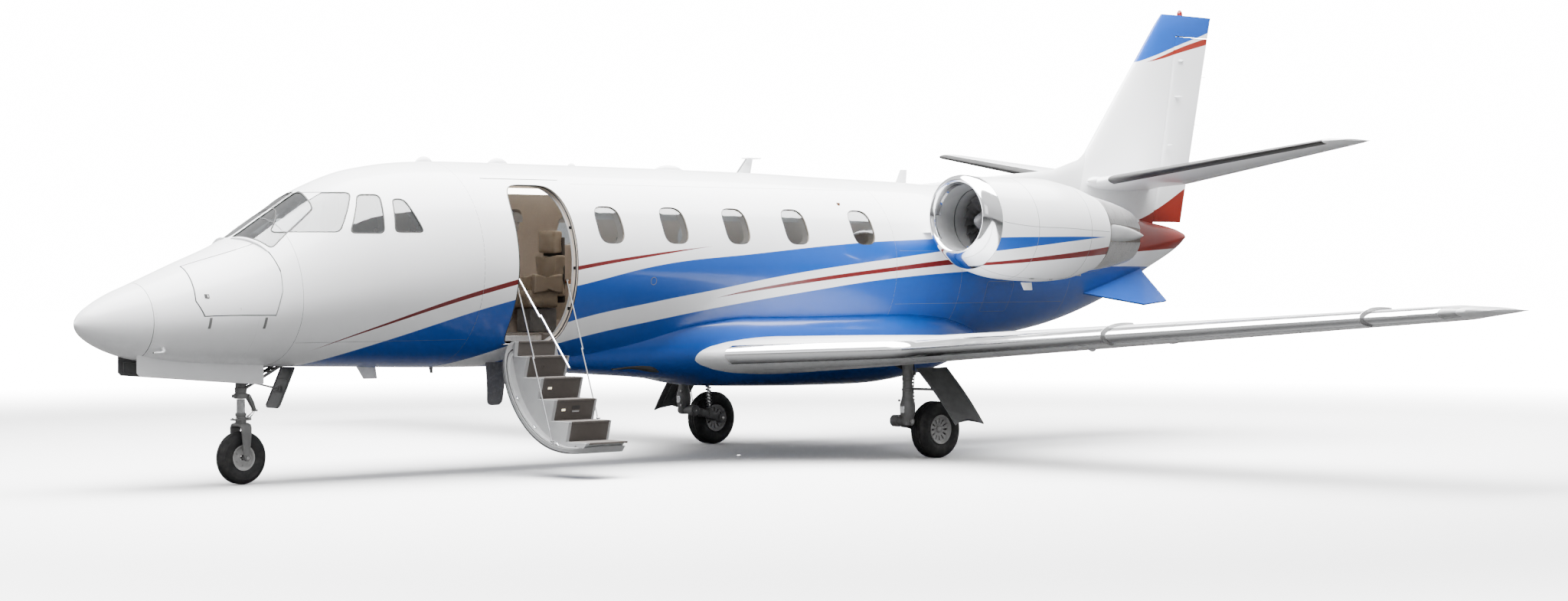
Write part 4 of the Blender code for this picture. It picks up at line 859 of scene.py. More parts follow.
HULL_AROUND = 144
BAY_DOOR = (
    (1.005, 0.132, 2.041),
    (0.958, 0.482, 1.721),
    (1.023, 0.531, 1.582),
    (1.682, 0.699, 1.583),
    (1.747, 0.715, 1.807),
    (1.761, 0.657, 1.997),
    (1.707, 0.357, 2.274),
)
BAY_DOOR_THICK, BAY_SWEEP, BAY_SHRINK = 0.020, (0.32, 0.26), 0.024
DOOR_THICK, DOOR_CLEAR, STAIR_CLEAR = 0.05, 0.010, 0.030


def stations_between(start, end, step):
    """Stops from one end to the other, with one a little inside each end so that shading meets the next skin."""
    count = max(3, int(math.ceil((end - start) / step)) + 1)
    inside = np.linspace(start, end, count)[1:-1]
    edge = min(0.01, (end - start) / 8)
    return np.concatenate(([start, start + edge], inside[(inside > start + edge) & (inside < end - edge)], [end - edge, end]))


def hull_grid(start, end, inset=0.0, step=0.05, around=HULL_AROUND):
    stations = stations_between(start, end, step)
    turn = np.linspace(0, 2 * math.pi, around, endpoint=False)
    return hull_point(stations[:, None], turn[None, :], inset)


def hull_solid(name, start, end, inset=0.0, step=0.05, **how):
    return skin(name, hull_grid(start, end, inset, step), **how)


def line_inside(obj, inset, *mats):
    """Gives the faces deeper than the inset under the hull's skin the first of some more materials."""
    for finish in mats:
        obj.data.materials.append(finish)
    mesh = obj.data
    centre = np.empty(len(mesh.polygons) * 3)
    mesh.polygons.foreach_get("center", centre)
    centre = centre.reshape(-1, 3)
    station = centre[:, 0] + LENGTH / 2
    crown, keel, half, widest = (smooth(HULL, column, station) for column in (1, 2, 3, 4))
    height = np.where(centre[:, 2] > widest, crown - widest, widest - keel)
    radius = np.hypot(centre[:, 1] / (half - inset), (centre[:, 2] - widest) / (height - inset))
    index = np.empty(len(mesh.polygons), np.int32)
    mesh.polygons.foreach_get("material_index", index)
    index[(radius < 1.0) & (index == 0)] = len(mesh.materials) - len(mats)
    mesh.polygons.foreach_set("material_index", index)
    mesh.update()


def bay_outline(side, shrink=0.0):
    points = np.array([(x_at(s), side * y, z) for s, y, z in BAY_DOOR])
    return points + (points.mean(0) - points) * shrink


def bay_prism(side, shrink=0.0):
    """The baggage door's outline swept through the skin, out to the side and up."""
    points = bay_outline(side, shrink)
    out = np.array((0.0, side * BAY_SWEEP[0], BAY_SWEEP[1]))
    return skin("helper", np.stack((points - out, points + out)), body=None)


def door_outline(grow=0.0, points=72):
    """The doorway as (x, z): signed powers of the cosine and sine, its lower corners squarer than its upper."""
    (s0, s1), (z0, z1) = DOOR_STATIONS, DOOR_Z
    turn = 2 * math.pi * (np.arange(points) + 0.5) / points
    c, s = np.cos(turn), np.sin(turn)
    power = np.where(s < 0, 0.28, 0.42)
    x = x_at((s0 + s1) / 2) + ((s1 - s0) / 2 + grow) * np.sign(c) * np.abs(c) ** power
    z = (z0 + z1) / 2 + ((z1 - z0) / 2 + grow) * np.sign(s) * np.abs(s) ** power
    return np.stack((x, z), -1)


def as_x(outline):
    outline = np.asarray(outline, float)
    return np.stack((x_at(outline[:, 0]), outline[:, 1]), -1)


def pane_outline(outline, grow=0.0, radius=0.05):
    outline = np.asarray(outline, float)
    if grow:
        middle = outline.mean(0)
        away = outline - middle
        outline = middle + away * (1 + grow / np.linalg.norm(away, axis=1, keepdims=True))
    return rounded_polygon(outline, radius)


def window_outline(station, grow=0.0):
    return superellipse((station, WINDOW_Z), (WINDOW_SIZE[0] + 2 * grow, WINDOW_SIZE[1] + 2 * grow), 0.62, 40)


def screen_outline(side, grow=0.0):
    """Half of the windscreen as (station, y)."""
    corners = np.array([(s, y) for s, y in SCREEN])
    middle = corners.mean(0)
    away = corners - middle
    corners = middle + away * (1 + grow / np.linalg.norm(away, axis=1, keepdims=True))
    corners[:, 1] = np.maximum(corners[:, 1], 0.022 - grow)
    outline = rounded_polygon(corners, 0.05)
    return outline * (1, side)


def screen_prism(side, grow=0.0, low=2.10, high=3.2):
    return prism(as_x(screen_outline(side, grow)), low, high, axis=2)


def panel_on_hull(name, outline, side, lift, thick, top=False, **how):
    """A plate that follows the hull inside an outline: the outline drawn in towards its middle in rings.
    A side plate's outline is (station, z), and a top plate's is (station, y)."""
    outline = dense(outline, 0.03)
    middle = outline.mean(0)
    shares = np.array((1.0, 0.8, 0.6, 0.4, 0.2, 0.03))
    flat = middle + (outline - middle)[None] * shares[:, None, None]

    def laid(offset):
        station, other = flat[..., 0], flat[..., 1]
        if top:
            half = smooth(HULL, 3, station)
            angle = np.arccos(np.clip(other / half, -1, 1))
        else:
            angle = hull_angle(station, other, side)
        return hull_point(station, angle, -offset)

    outer, inner = laid(lift), laid(lift - thick)
    return skin(name, np.concatenate((outer[::-1], inner)), **how)


def build_fuselage():
    white, liner = paint("hull"), paint("liner")
    hull_solid("radome_skin", 0.0, RADOME_END - 0.0006, step=0.02, paint=white, replaces=("radome",), slot="white_paint")
    nose = hull_solid("nose_skin", RADOME_END, NOSE_END - 0.0003, paint=white, replaces=("nose_section",), slot="white_paint")
    cockpit = hull_solid("cockpit_skin", NOSE_END, COCKPIT_END - 0.0003, paint=white, replaces=("cockpit_section",),
                         slot="white_paint")
    cut(cockpit, hull_solid("helper", NOSE_END + BULKHEAD, COCKPIT_END + 0.01, WALL, body=None))
    cabin = hull_solid("cabin_skin", COCKPIT_END, CABIN_END - 0.0003, paint=white, replaces=("cabin_shell",),
                       slot="white_paint")
    cut(cabin, hull_solid("helper", COCKPIT_END - 0.01, CABIN_END - BULKHEAD, WALL, body=None))
    for _, side in SIDES:
        for section in (nose, cockpit):
            recess = hull_solid("recess", RADOME_END, COCKPIT_END, -0.02, body=None)
            cut(recess, hull_solid("helper", RADOME_END - 0.01, COCKPIT_END + 0.01, BAY_DOOR_THICK + 0.001, body=None))
            cut(recess, bay_prism(side), operation="INTERSECT")
            cut(section, recess)
    for _, side in SIDES:
        panes = [prism(as_x(pane_outline(outline)), side * 0.3, side * 1.2) for _, outline in SIDE_PANES]
        cut(cockpit, *panes, screen_prism(side))
        holes = [prism(as_x(window_outline(s)), side * 0.5, side * 1.2) for s in WINDOW_STATIONS[side]]
        cut(cabin, *holes)
    cut(cabin, prism(door_outline(), -1.2, -0.3))
    line_inside(nose, 0.008, paint("dark"))
    line_inside(cockpit, 0.02, paint("dark"))
    line_inside(cabin, 0.02, liner)
    hull_solid("aft_fuselage_skin", CABIN_END, AFT_END - 0.0003, paint=white, replaces=("aft_fuselage",), slot="white_paint")
    build_tail_cone()
    build_fairing()
    build_hull_seams()


STRAKE = ((12.76, 0.36, 1.76), (14.30, 0.22, 2.05), (14.24, 0.75, 1.610), (13.83, 0.75, 1.570))


def build_tail_cone():
    cone = hull_solid("tail_cone_skin", AFT_END, HULL_END, paint=paint("hull"), replaces=("tail_cone",), slot="white_paint")
    for _, side in SIDES:
        rings = [[(x_at(s), side * (y + lift * 0.6), z + lift * 0.8) for s, y, z in STRAKE] for lift in (-0.01, 0.01)]
        cut(cone, skin("strake", np.array(rings), body=None), operation="UNION")
    turned("tail_light", [(0.0, 0.030), (0.012, 0.034), (0.04, 0.030), (0.062, 0.018), (0.068, 0.004)],
           (x_at(HULL_END) - 0.006, 0, 2.395), around=24, paint=paint("dark"))


def fairing_grid(rows, around=96):
    """Superellipses: the cosine and sine of the angle to the power 0.75 at each station."""
    turn = np.linspace(0, 2 * math.pi, around, endpoint=False)
    c, s = np.cos(turn), np.sin(turn)
    half, keel, top = (smooth(FAIRING, column, rows)[:, None] for column in (1, 2, 3))
    y = half * np.sign(c) * np.abs(c) ** 0.75
    z = (keel + top) / 2 + (top - keel) / 2 * np.sign(s) * np.abs(s) ** 0.75
    return np.stack((np.broadcast_to(x_at(rows)[:, None], y.shape), y, z), -1)


def build_fairing():
    fairing = skin("belly_fairing_skin", fairing_grid(np.linspace(4.85, 11.40, 80)), paint=paint("hull"),
                   replaces=("belly_fairing",), slot="blue_paint")
    cut(fairing, hull_solid("helper", COCKPIT_END, AFT_END, 0.003, body=None))


def build_hull_seams():
    """Panel seams as thin low strips, and rows of flush heads round the panes and panels."""
    seam = paint("seam")
    strips = [hull_ring_strip("seam", station, 0.0035, 0.0006, paint=seam) for station in (1.93, 3.86, 9.45, 10.52, 12.65)]
    for side in (-1, 1):
        for z, s0, s1 in ((1.33, 1.95, 3.84), (2.86, 5.2, 9.4), (2.20, 9.5, 12.6), (1.62, 9.5, 12.6)):
            line = np.stack((np.linspace(s0, s1, 40), np.full(40, z)), -1)
            strips.append(hull_strip("seam", line, side, 0.003, 0.0005, closed=False, paint=seam))
        panel = rounded_polygon(((11.0, 1.52), (11.0, 1.86), (11.5, 1.86), (11.5, 1.52)), 0.04)
        strips.append(hull_strip("seam", panel, side, 0.003, 0.0005, paint=seam))
        hatch = rounded_polygon(((12.9, 1.95), (12.9, 2.25), (13.3, 2.25), (13.3, 1.98)), 0.04)
        strips.append(hull_strip("seam", hatch, side, 0.003, 0.0005, paint=seam))
    joined("hull_seams", strips)
    radome = hull_ring_strip("radome_seam", RADOME_END, 0.005, 0.0006, paint=paint("dark"))
    points, normals = [], []

    def row(outline, side, step):
        line = dense(outline, step)
        angle = hull_angle(line[:, 0], line[:, 1], side)
        points.append(hull_point(line[:, 0], angle))
        normals.append(hull_normal(line[:, 0], angle))

    for side in (-1, 1):
        for _, outline in SIDE_PANES:
            row(pane_outline(outline, 0.035, 0.06), side, 0.032)
        row(rounded_polygon(((11.03, 1.55), (11.03, 1.83), (11.47, 1.83), (11.47, 1.55)), 0.03), side, 0.05)
    turn = np.linspace(0, 2 * math.pi, 60, endpoint=False)
    points.append(hull_point(np.full(60, RADOME_END + 0.022), turn))
    normals.append(hull_normal(np.full(60, RADOME_END + 0.022), turn))
    studs("hull_rivets", np.concatenate(points), np.concatenate(normals), 0.0042, 0.0008, paint=seam)
    return radome


def build_baggage_doors():
    for word, side in SIDES:
        door = hull_solid("baggage_door_skin_" + word, RADOME_END, COCKPIT_END, step=0.03, paint=paint("hull"),
                          body="baggage_door_" + word, replaces=("baggage_door_" + word,), slot="white_paint")
        cut(door, hull_solid("helper", RADOME_END - 0.01, COCKPIT_END + 0.01, BAY_DOOR_THICK, body=None))
        cut(door, bay_prism(side, BAY_SHRINK), operation="INTERSECT")
        line_inside(door, 0.008, paint("pale"))


def build_cockpit_glass():
    glass, frame_dark = paint("glass"), paint("seal")
    for word, side in SIDES:
        for name, outline in SIDE_PANES:
            pane = pane_outline(outline, -0.001)
            panel_on_hull(f"{name}_pane_{word}", pane, side, -0.004, 0.012, paint=glass)
            hull_strip(f"{name}_pane_seal_{word}", pane_outline(outline), side, 0.012, 0.0015, paint=frame_dark)
        pane = screen_outline(side, -0.001)
        panel_on_hull(f"windscreen_{word}", pane, side, -0.004, 0.014, top=True, paint=glass)
        line = dense(screen_outline(side), 0.025)
        line = np.vstack((line, line[:1]))
        angle = np.arccos(np.clip(line[:, 1] / smooth(HULL, 3, line[:, 0]), -1, 1))
        strip = strip_points(hull_point(line[:, 0], angle), hull_normal(line[:, 0], angle), 0.014, 0.002)
        skin(f"windscreen_seal_{word}", strip, paint=frame_dark)
        build_wiper(word, side)


def build_wiper(word, side):
    """The rain deflector at the foot of the windscreen: a low faired bar."""
    station = np.linspace(1.60, 1.72, 16)
    across = np.linspace(0.06, 0.50, 16)
    angle = np.arccos(np.clip(side * across / smooth(HULL, 3, station), -1, 1))
    path = hull_point(station, angle, -0.008)
    radius = 0.016 * np.sin(np.linspace(0.12, math.pi - 0.12, 16)) ** 0.5
    tube(f"rain_deflector_{word}", path, radius, 12, paint=paint("white"))


def build_cabin_windows():
    glass = paint("glass")
    for word, side in SIDES:
        for number, station in enumerate(WINDOW_STATIONS[side], 1):
            panel_on_hull(f"cabin_pane_{number}_{word}", window_outline(station, -0.001), side, -0.008, 0.010, paint=glass)
            hull_strip(f"cabin_pane_rim_{number}_{word}", window_outline(station), side, 0.007, 0.0012, paint=paint("seal"))
            # Pale blinds across the upper part of each window, behind the glass: real blinds, and also a painted
            # reflection for the lighter band that the glass reflects there.
            shade = window_outline(station, 0.03)
            panel_on_hull(f"window_shade_{number}_{word}", shade[shade[:, 1] > WINDOW_Z + 0.09], side, -WALL - 0.004, 0.004,
                          paint=paint("pale"))


# Entry

def swung(points):
    """Points of the shut door turned down about its sill hinge, as it stands open."""
    points = np.asarray(points, float)
    y, z = points[..., 1] - DOOR_HINGE[0], points[..., 2] - DOOR_HINGE[1]
    c, s = math.cos(DOOR_OPEN), math.sin(DOOR_OPEN)
    return np.stack((points[..., 0], DOOR_HINGE[0] + y * c - z * s, DOOR_HINGE[1] + y * s + z * c), -1)


def swing_down(obj):
    mesh = obj.data
    points = np.empty(len(mesh.vertices) * 3)
    mesh.vertices.foreach_get("co", points)
    mesh.vertices.foreach_set("co", swung(points.reshape(-1, 3)).ravel())
    mesh.update()
    return obj


def frame_point(station, z, inset):
    """A point at a height on the near side of the hull's inner face, a given depth under its skin."""
    crown, keel, half, widest = (smooth(HULL, column, station) for column in (1, 2, 3, 4))
    height = np.where(z > widest, crown - widest, widest - keel) - inset
    share = np.clip((z - widest) / height, -1, 1)
    return np.stack((x_at(station), -(half - inset) * np.sqrt(1 - share**2), z), -1)


def build_doorway():
    """The frame of the doorway: its seal, its inner trim, the sill plate and the latch fittings."""
    (s0, s1), (z0, z1) = DOOR_STATIONS, DOOR_Z
    outline = door_outline(0.0) + (LENGTH / 2, 0)
    hull_strip("doorway_rim", outline, -1, 0.010, 0.0015, paint=paint("seal"))
    for name, inset, grow, radius, finish in (
        ("doorway_seal", 0.030, 0.000, 0.008, "seal"),
        ("doorway_trim", 0.086, 0.006, 0.014, "pale"),
    ):
        line = dense(door_outline(grow, 96) + (LENGTH / 2, 0), 0.03)
        tube(name, frame_point(line[:, 0], line[:, 1], inset), radius, 8, closed=True, paint=paint(finish))
    fittings = []
    for z in (1.62, 2.02, 2.42):
        for station in (s0 - 0.004, s1 + 0.004):
            point = frame_point(np.array([station]), np.array([z]), 0.05)[0]
            fittings.append(slab("latch", point - (0.010, 0.022, 0.018), point + (0.010, 0.022, 0.018), 0.004,
                                 paint=paint("chrome")))
    joined("latch_fittings", fittings)
    slab("sill_plate", (x_at(s0 + 0.05), -0.66, z0 - 0.004), (x_at(s1 - 0.05), -0.45, z0 + 0.008), 0.003, paint=paint("brushed"))
    rail = np.stack((np.linspace(4.12, 5.08, 30), np.full(30, 2.90)), -1)
    hull_strip("drip_rail", rail, -1, 0.016, 0.010, closed=False, paint=paint("white"))


# The stairs with the door down, as (y, z): each nosing and the foot of the riser under it.
STAIR_EDGE = (
    (-0.690, 1.300), (-0.750, 1.300), (-0.730, 1.155), (-0.930, 1.155), (-0.870, 0.952), (-1.150, 0.952),
    (-1.090, 0.747), (-1.360, 0.747), (-1.300, 0.543), (-1.580, 0.543), (-1.530, 0.350), (-1.850, 0.350),
)
STAIR_STATIONS = (4.40, 4.93)


def unswung(y, z):
    c, s = math.cos(-DOOR_OPEN), math.sin(-DOOR_OPEN)
    y, z = y - DOOR_HINGE[0], z - DOOR_HINGE[1]
    return DOOR_HINGE[0] + y * c - z * s, DOOR_HINGE[1] + y * s + z * c


def build_airstair():
    body = "airstair_door"
    door = hull_solid("airstair_skin", COCKPIT_END, CABIN_END, paint=paint("hull"), step=0.05, body=body,
                      replaces=("airstair_door",), slot="door_grey")
    cut(door, hull_solid("helper", COCKPIT_END - 0.01, CABIN_END + 0.01, DOOR_THICK, body=None))
    cut(door, prism(door_outline(-DOOR_CLEAR), -1.2, -0.3), operation="INTERSECT")
    line_inside(door, 0.004, paint("pale"))
    swing_down(door)
    build_stair_block(body)
    build_door_rims(body)
    build_door_fittings(body)


def build_stair_block(body):
    """Side walls with the stairs' stepped edge, and a tread and a riser for each step between them."""
    turn = np.linspace(0.5 * math.pi, 1.5 * math.pi, 120)
    ring = hull_point(np.full(120, sum(DOOR_STATIONS) / 2), turn, DOOR_THICK * 0.6)
    ring = ring[(ring[:, 2] > DOOR_Z[0] + 0.06) & (ring[:, 2] < DOOR_Z[1] - 0.06)]
    back = swung(ring)[:, 1:]
    back = back[np.argsort(ring[:, 2])]
    stairs = np.array(STAIR_EDGE)
    outline = np.vstack((stairs, back[::-1]))
    s0, s1 = STAIR_STATIONS
    block = prism(outline, x_at(s0), x_at(s1), axis=0)
    limit = prism(door_outline(-STAIR_CLEAR), -2.0, 1.0)
    swing_down(limit)
    cut(block, limit, operation="INTERSECT")
    block.name = "stair_block"
    block.data.materials.append(paint("pale"))
    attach(block, body)
    round_edges(block, 0.006)
    treads, risers = [], []
    for (y0, z0), (y1, z1) in zip(stairs[1::2], stairs[2::2]):
        low, high = (y1, z1), (y0, z0)
        mid = (np.array(low) + high) / 2
        along = (np.array(high) - low) / 2 * 0.97
        out = np.array((-along[1], along[0])) / np.linalg.norm(along)
        out = out if out[0] < 0 else -out
        corners = [mid - along - out * 0.01, mid + along - out * 0.01, mid + along + out * 0.0035, mid - along + out * 0.0035]
        risers.append(prism(corners, x_at(s0 + 0.040), x_at(s1 - 0.030), axis=0))
    for (y0, z0), (y1, z1) in zip(stairs[0::2], stairs[1::2]):
        corners = [(y0 - 0.010, z0 - 0.01), (y1 - 0.008, z0 - 0.016), (y1 - 0.010, z0 + 0.004), (y0 - 0.010, z0 + 0.004)]
        treads.append(prism(corners, x_at(s0 + 0.040), x_at(s1 - 0.030), axis=0))
    for name, pieces, finish in (("stair_treads", treads, "tread"), ("stair_risers", risers, "tread")):
        for piece in pieces:
            piece.data.materials.append(paint(finish))
            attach(piece, body)
            round_edges(piece, 0.003)
        joined(name, pieces)
    lamps, others = [], []
    for number, ((y0, z0), (y1, z1)) in enumerate(zip(stairs[1::2], stairs[2::2]), 1):
        mid = np.array(((y0 + y1) / 2, (z0 + z1) / 2))
        up = np.array((y0 - y1, z0 - z1)) / np.hypot(y0 - y1, z0 - z1)
        out = np.array((-abs(up[1]), abs(up[0]))) if up[0] < 0 else np.array((-up[1], up[0]))

        def plate(station, wide, tall, lift, depth=0.008, centre=mid, up=up, out=out):
            ring = [centre + up * (a * tall / 2) + out * b for a, b in ((-1, lift - depth), (1, lift - depth), (1, lift), (-1, lift))]
            made = prism(ring, x_at(station - wide / 2), x_at(station + wide / 2), axis=0)
            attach(made, body)
            return made

        if number in (3, 4):
            lamp = plate(s0 + 0.13, 0.045, 0.022, 0.0065)
            lamp.data.materials.append(paint("glow_small"))
            lamps.append(lamp)
        if number == 2:
            turn = np.linspace(0, 2 * math.pi, 20, endpoint=False)
            ring = [(x_at(4.62) + 0.013 * math.cos(a), *(mid + up * 0.013 * math.sin(a) + out * 0.0045)) for a in turn]
            others.append(tube("button", ring, 0.003, 6, closed=True, paint=paint("tread"), body=body))
        if number == 4:
            for tall, wide, lift, finish in ((0.10, 0.11, 0.0052, "tread"), (0.035, 0.095, 0.0066, "seal")):
                piece = plate(4.68, wide, tall, lift, centre=mid + up * (0.0 if finish == "tread" else 0.022))
                piece.data.materials.append(paint(finish))
                others.append(piece)
            bar_piece = plate(4.68, 0.085, 0.016, 0.0105, centre=mid - up * 0.018)
            bar_piece.data.materials.append(paint("pale"))
            others.append(bar_piece)
    joined("stair_lamps", lamps)
    joined("stair_latch", others)


def build_door_rims(body):
    """Two dark seals round the door's inner edge and a pale rim between them, swung down with it."""
    for name, inset, grow, radius, finish in (
        ("airstair_outer_seal", 0.012, -0.013, 0.007, "seal"),
        ("airstair_inner_seal", 0.046, -0.024, 0.009, "seal"),
        ("airstair_rim", 0.050, -0.052, 0.011, "pale"),
    ):
        line = dense(door_outline(grow, 96) + (LENGTH / 2, 0), 0.03)
        angle = hull_angle(line[:, 0], line[:, 1], -1)
        path = swung(hull_point(line[:, 0], angle, inset))
        tube(name, path, radius, 8, closed=True, paint=paint(finish), body=body)


def build_door_fittings(body):
    pieces = []
    for station in (4.33, 4.95):
        for z in (1.75, 2.15, 2.55):
            point = hull_side(np.array([station]), np.array([z]), -1, -0.055)[0]
            low, high = point - (0.012, 0.016, 0.024), point + (0.012, 0.016, 0.024)
            pieces.append(swing_down(slab("pin", low, high, 0.004, paint=paint("chrome"), body=body)))
    joined("door_pins", pieces)
    pads = []
    for station in (4.42, 4.86):
        point = hull_side(np.array([station]), np.array([2.72]), -1, -0.058)[0]
        low, high = point - (0.03, 0.012, 0.016), point + (0.03, 0.012, 0.016)
        pads.append(swing_down(slab("pad", low, high, 0.005, paint=paint("seal"), body=body)))
    joined("door_bumpers", pads)


RAIL_STATION, RAIL_PIVOT, RAIL_END = 4.350, (-0.753, 2.044), (-1.628, 1.061)


def build_handrail():
    """The folding handrail as bright tube: two halves meeting at mid length, the free end ending in a knob."""
    x = x_at(RAIL_STATION)
    start, end = np.array(RAIL_PIVOT), np.array(RAIL_END)
    middle = (start + end) / 2
    along = (end - start) / np.linalg.norm(end - start)
    offset = 0.0208
    near = [(x, *(start - along * 0.011)), (x, *(middle + along * 0.011))]
    tube("handrail_near_tube", np.linspace(near[0], near[1], 6), 0.0105, 14, paint=paint("chrome"), body="handrail_near",
         replaces=("handrail_near",), slot="bright_steel")
    far = np.linspace((x + offset, *(middle - along * 0.011)), (x + offset, *end), 8)
    tube("handrail_far_tube", far, 0.0105, 14, paint=paint("chrome"), body="handrail_far", replaces=("handrail_far",),
         slot="bright_steel")
    knob = np.array([(x + offset, *end), (x + offset, *(end + along * 0.012))])
    tube("handrail_knob", knob, (0.0125, 0.010), 14, paint=paint("dark"), body="handrail_far")
    boss = np.array([(x_at(4.26), *start), (x_at(4.352), *start)])
    tube("handrail_boss", boss, 0.016, 14, paint=paint("brushed"))


STAY_LINKS = (
    ("stay_forward", 4.300, (-1.445, 0.356), (-0.862, 1.945)),
    ("stay_aft", 4.9370, (-1.358, 0.555), (-0.868, 1.899)),
)


def build_stays():
    for name, station, foot, top in STAY_LINKS:
        for half in ("near", "far"):
            node = bpy.data.objects[f"{name}_{half}"]
            dress(node, "chrome")
        lug = np.array(foot)
        path = [(x_at(station) - 0.012, *lug), (x_at(station) + 0.026, *lug)]
        tube(f"{name}_foot_pin", path, 0.010, 12, paint=paint("brushed"), body="airstair_door")
        path = [(x_at(station) + 0.006, *top), (x_at(station) + 0.03, *top)]
        tube(f"{name}_top_pin", path, 0.009, 12, paint=paint("brushed"), body=f"{name}_far")


def dress(obj, finish):
    """Gives a CAD node one of the finishes."""
    mesh = obj.data
    while len(obj.material_slots) < 1:
        mesh.materials.append(None)
    for entry in obj.material_slots:
        entry.link = "OBJECT"
        entry.material = paint(finish)


# Cabin

SEATS = (
    ("crew_seat_left", 2.95, -0.37, -1),
    ("crew_seat_right", 2.95, 0.37, -1),
    ("cabin_seat_1_left", 6.30, -0.45, 1),
    ("cabin_seat_1_right", 5.60, 0.45, -1),
    ("cabin_seat_2_left", 7.75, -0.45, -1),
    ("cabin_seat_2_right", 7.20, 0.45, 1),
)


SEAT_REACH = 0.24


def puffed(name, low, high, fill, seed):
    """A cushion: a rounded block, remeshed and blown up a little by a cloth simulation, then smoothed."""
    low, high = np.asarray(low, float), np.asarray(high, float)
    obj = slab(name, low, high, min(0.035, (high - low).min() * 0.42), 4, body=None)
    obj.data.materials.append(paint("leather"))
    remesh = obj.modifiers.new("remesh", "REMESH")
    remesh.mode = "VOXEL"
    remesh.voxel_size = 0.012
    applied(obj)
    cloth = obj.modifiers.new("cloth", "CLOTH")
    cloth.settings.use_pressure = True
    cloth.settings.uniform_pressure_force = 4.0 * fill / 0.6
    cloth.settings.effector_weights.gravity = 0.0
    cloth.settings.quality = 5
    cloth.settings.tension_stiffness = 20.0
    cloth.settings.compression_stiffness = 15.0
    cloth.point_cache.frame_start = 1
    cloth.point_cache.frame_end = 20
    scene = bpy.context.scene
    for number in range(1, 21):
        scene.frame_set(number)
    applied(obj)
    scene.frame_set(1)
    mesh = obj.data
    points = np.empty(len(mesh.vertices) * 3)
    mesh.vertices.foreach_get("co", points)
    points = points.reshape(-1, 3)
    middle, half = (low + high) / 2, (high - low) / 2 + 0.006
    points = middle + half * np.tanh((points - middle) / half * 1.0) / math.tanh(1.0)
    points = np.clip(points, low - 0.006, high + 0.006)
    mesh.vertices.foreach_set("co", points.ravel())
    mesh.polygons.foreach_set("use_smooth", np.ones(len(mesh.polygons), bool))
    mesh.update()
    return obj


def build_seat(node, station, y, facing, number):
    """A seat's cushion, back, headrest and armrests. It faces along +X for 1 and -X for -1."""
    x0 = x_at(station - facing * SEAT_REACH)
    z0 = FLOOR_Z

    def block(ahead0, ahead1, half0, half1, low, high):
        xs = sorted((x0 + facing * ahead0, x0 + facing * ahead1))
        return (xs[0], y + half0, z0 + low), (xs[1], y + half1, z0 + high)

    pieces = [
        (*block(0.10, 0.475, -0.19, 0.19, 0.26, 0.425), 0.9),
        (*block(0.0, 0.115, -0.19, 0.19, 0.36, 0.80), 0.7),
        (*block(0.005, 0.11, -0.14, 0.14, 0.82, 1.045), 0.8),
        (*block(0.06, 0.44, -0.218, -0.165, 0.40, 0.60), 0.4),
        (*block(0.06, 0.44, 0.165, 0.218, 0.40, 0.60), 0.4),
    ]
    made = [puffed(f"{node}_piece", low, high, fill, number) for low, high, fill in pieces]
    seat = joined(f"{node}_padding", made)
    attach(seat, "airframe")
    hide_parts(node)
    low, high = block(0.07, 0.41, -0.12, 0.12, 0.0, 0.25)
    slab(f"{node}_base", low, high, 0.012, paint=paint("grey"))
    low, high = block(-0.004, 0.02, -0.17, 0.17, 0.30, 0.98)
    slab(f"{node}_shell", low, high, 0.010, paint=paint("tread"))


def build_cabin():
    for number, (node, station, y, facing) in enumerate(SEATS):
        build_seat(node, station, y, facing, number)
    build_carpet()
    build_cabinets()
    build_cockpit()


def build_carpet():
    """The cabin floor dressed in carpet with its own pile, and a brushed step at the door's sill."""
    for node in ("cabin_floor",):
        dress(bpy.data.objects[node], "carpet")
    slab("door_sill_step", (x_at(4.36), -0.50, 1.30), (x_at(4.92), -0.445, 1.352), 0.005, paint=paint("brushed"))


def build_cabinets():
    """Low side ledges under the windows, the forward closet and the aft partition in polished wood, liner panels under
    the ledges and on the closet's front, and two ceiling lights.
    """
    wood, liner = paint("wood"), paint("liner")
    for side in (-1, 1):
        start = 5.10 if side < 0 else 4.30
        y0, y1 = sorted((side * 0.68, side * 0.80))
        slab("side_ledge", (x_at(start), y0, 1.86), (x_at(9.30), y1, 1.90), 0.008, paint=wood)
        y0, y1 = sorted((side * 0.70, side * 0.79))
        slab("side_panel", (x_at(start), y0, 1.44), (x_at(9.30), y1, 1.86), 0.008, paint=liner)
    slab("galley", (x_at(4.22), 0.36, 1.365), (x_at(4.28), 0.78, 2.62), 0.010, paint=wood)
    slab("galley_front", (x_at(4.284), 0.40, 1.40), (x_at(4.292), 0.74, 2.55), 0.003, paint=liner)
    for station, z0, z1 in ((8.78, 1.365, 2.72),):
        for side in (-1, 1):
            y0, y1 = sorted((side * 0.26, side * 0.74))
            slab("aft_partition", (x_at(station), y0, z0), (x_at(station + 0.04), y1, z1), 0.010, paint=wood)
    for y in (-0.30, 0.30):
        tube("ceiling_light", np.array([(x_at(4.4), y, 2.80), (x_at(9.2), y, 2.78)]), 0.02, 10, paint=paint("glow"))


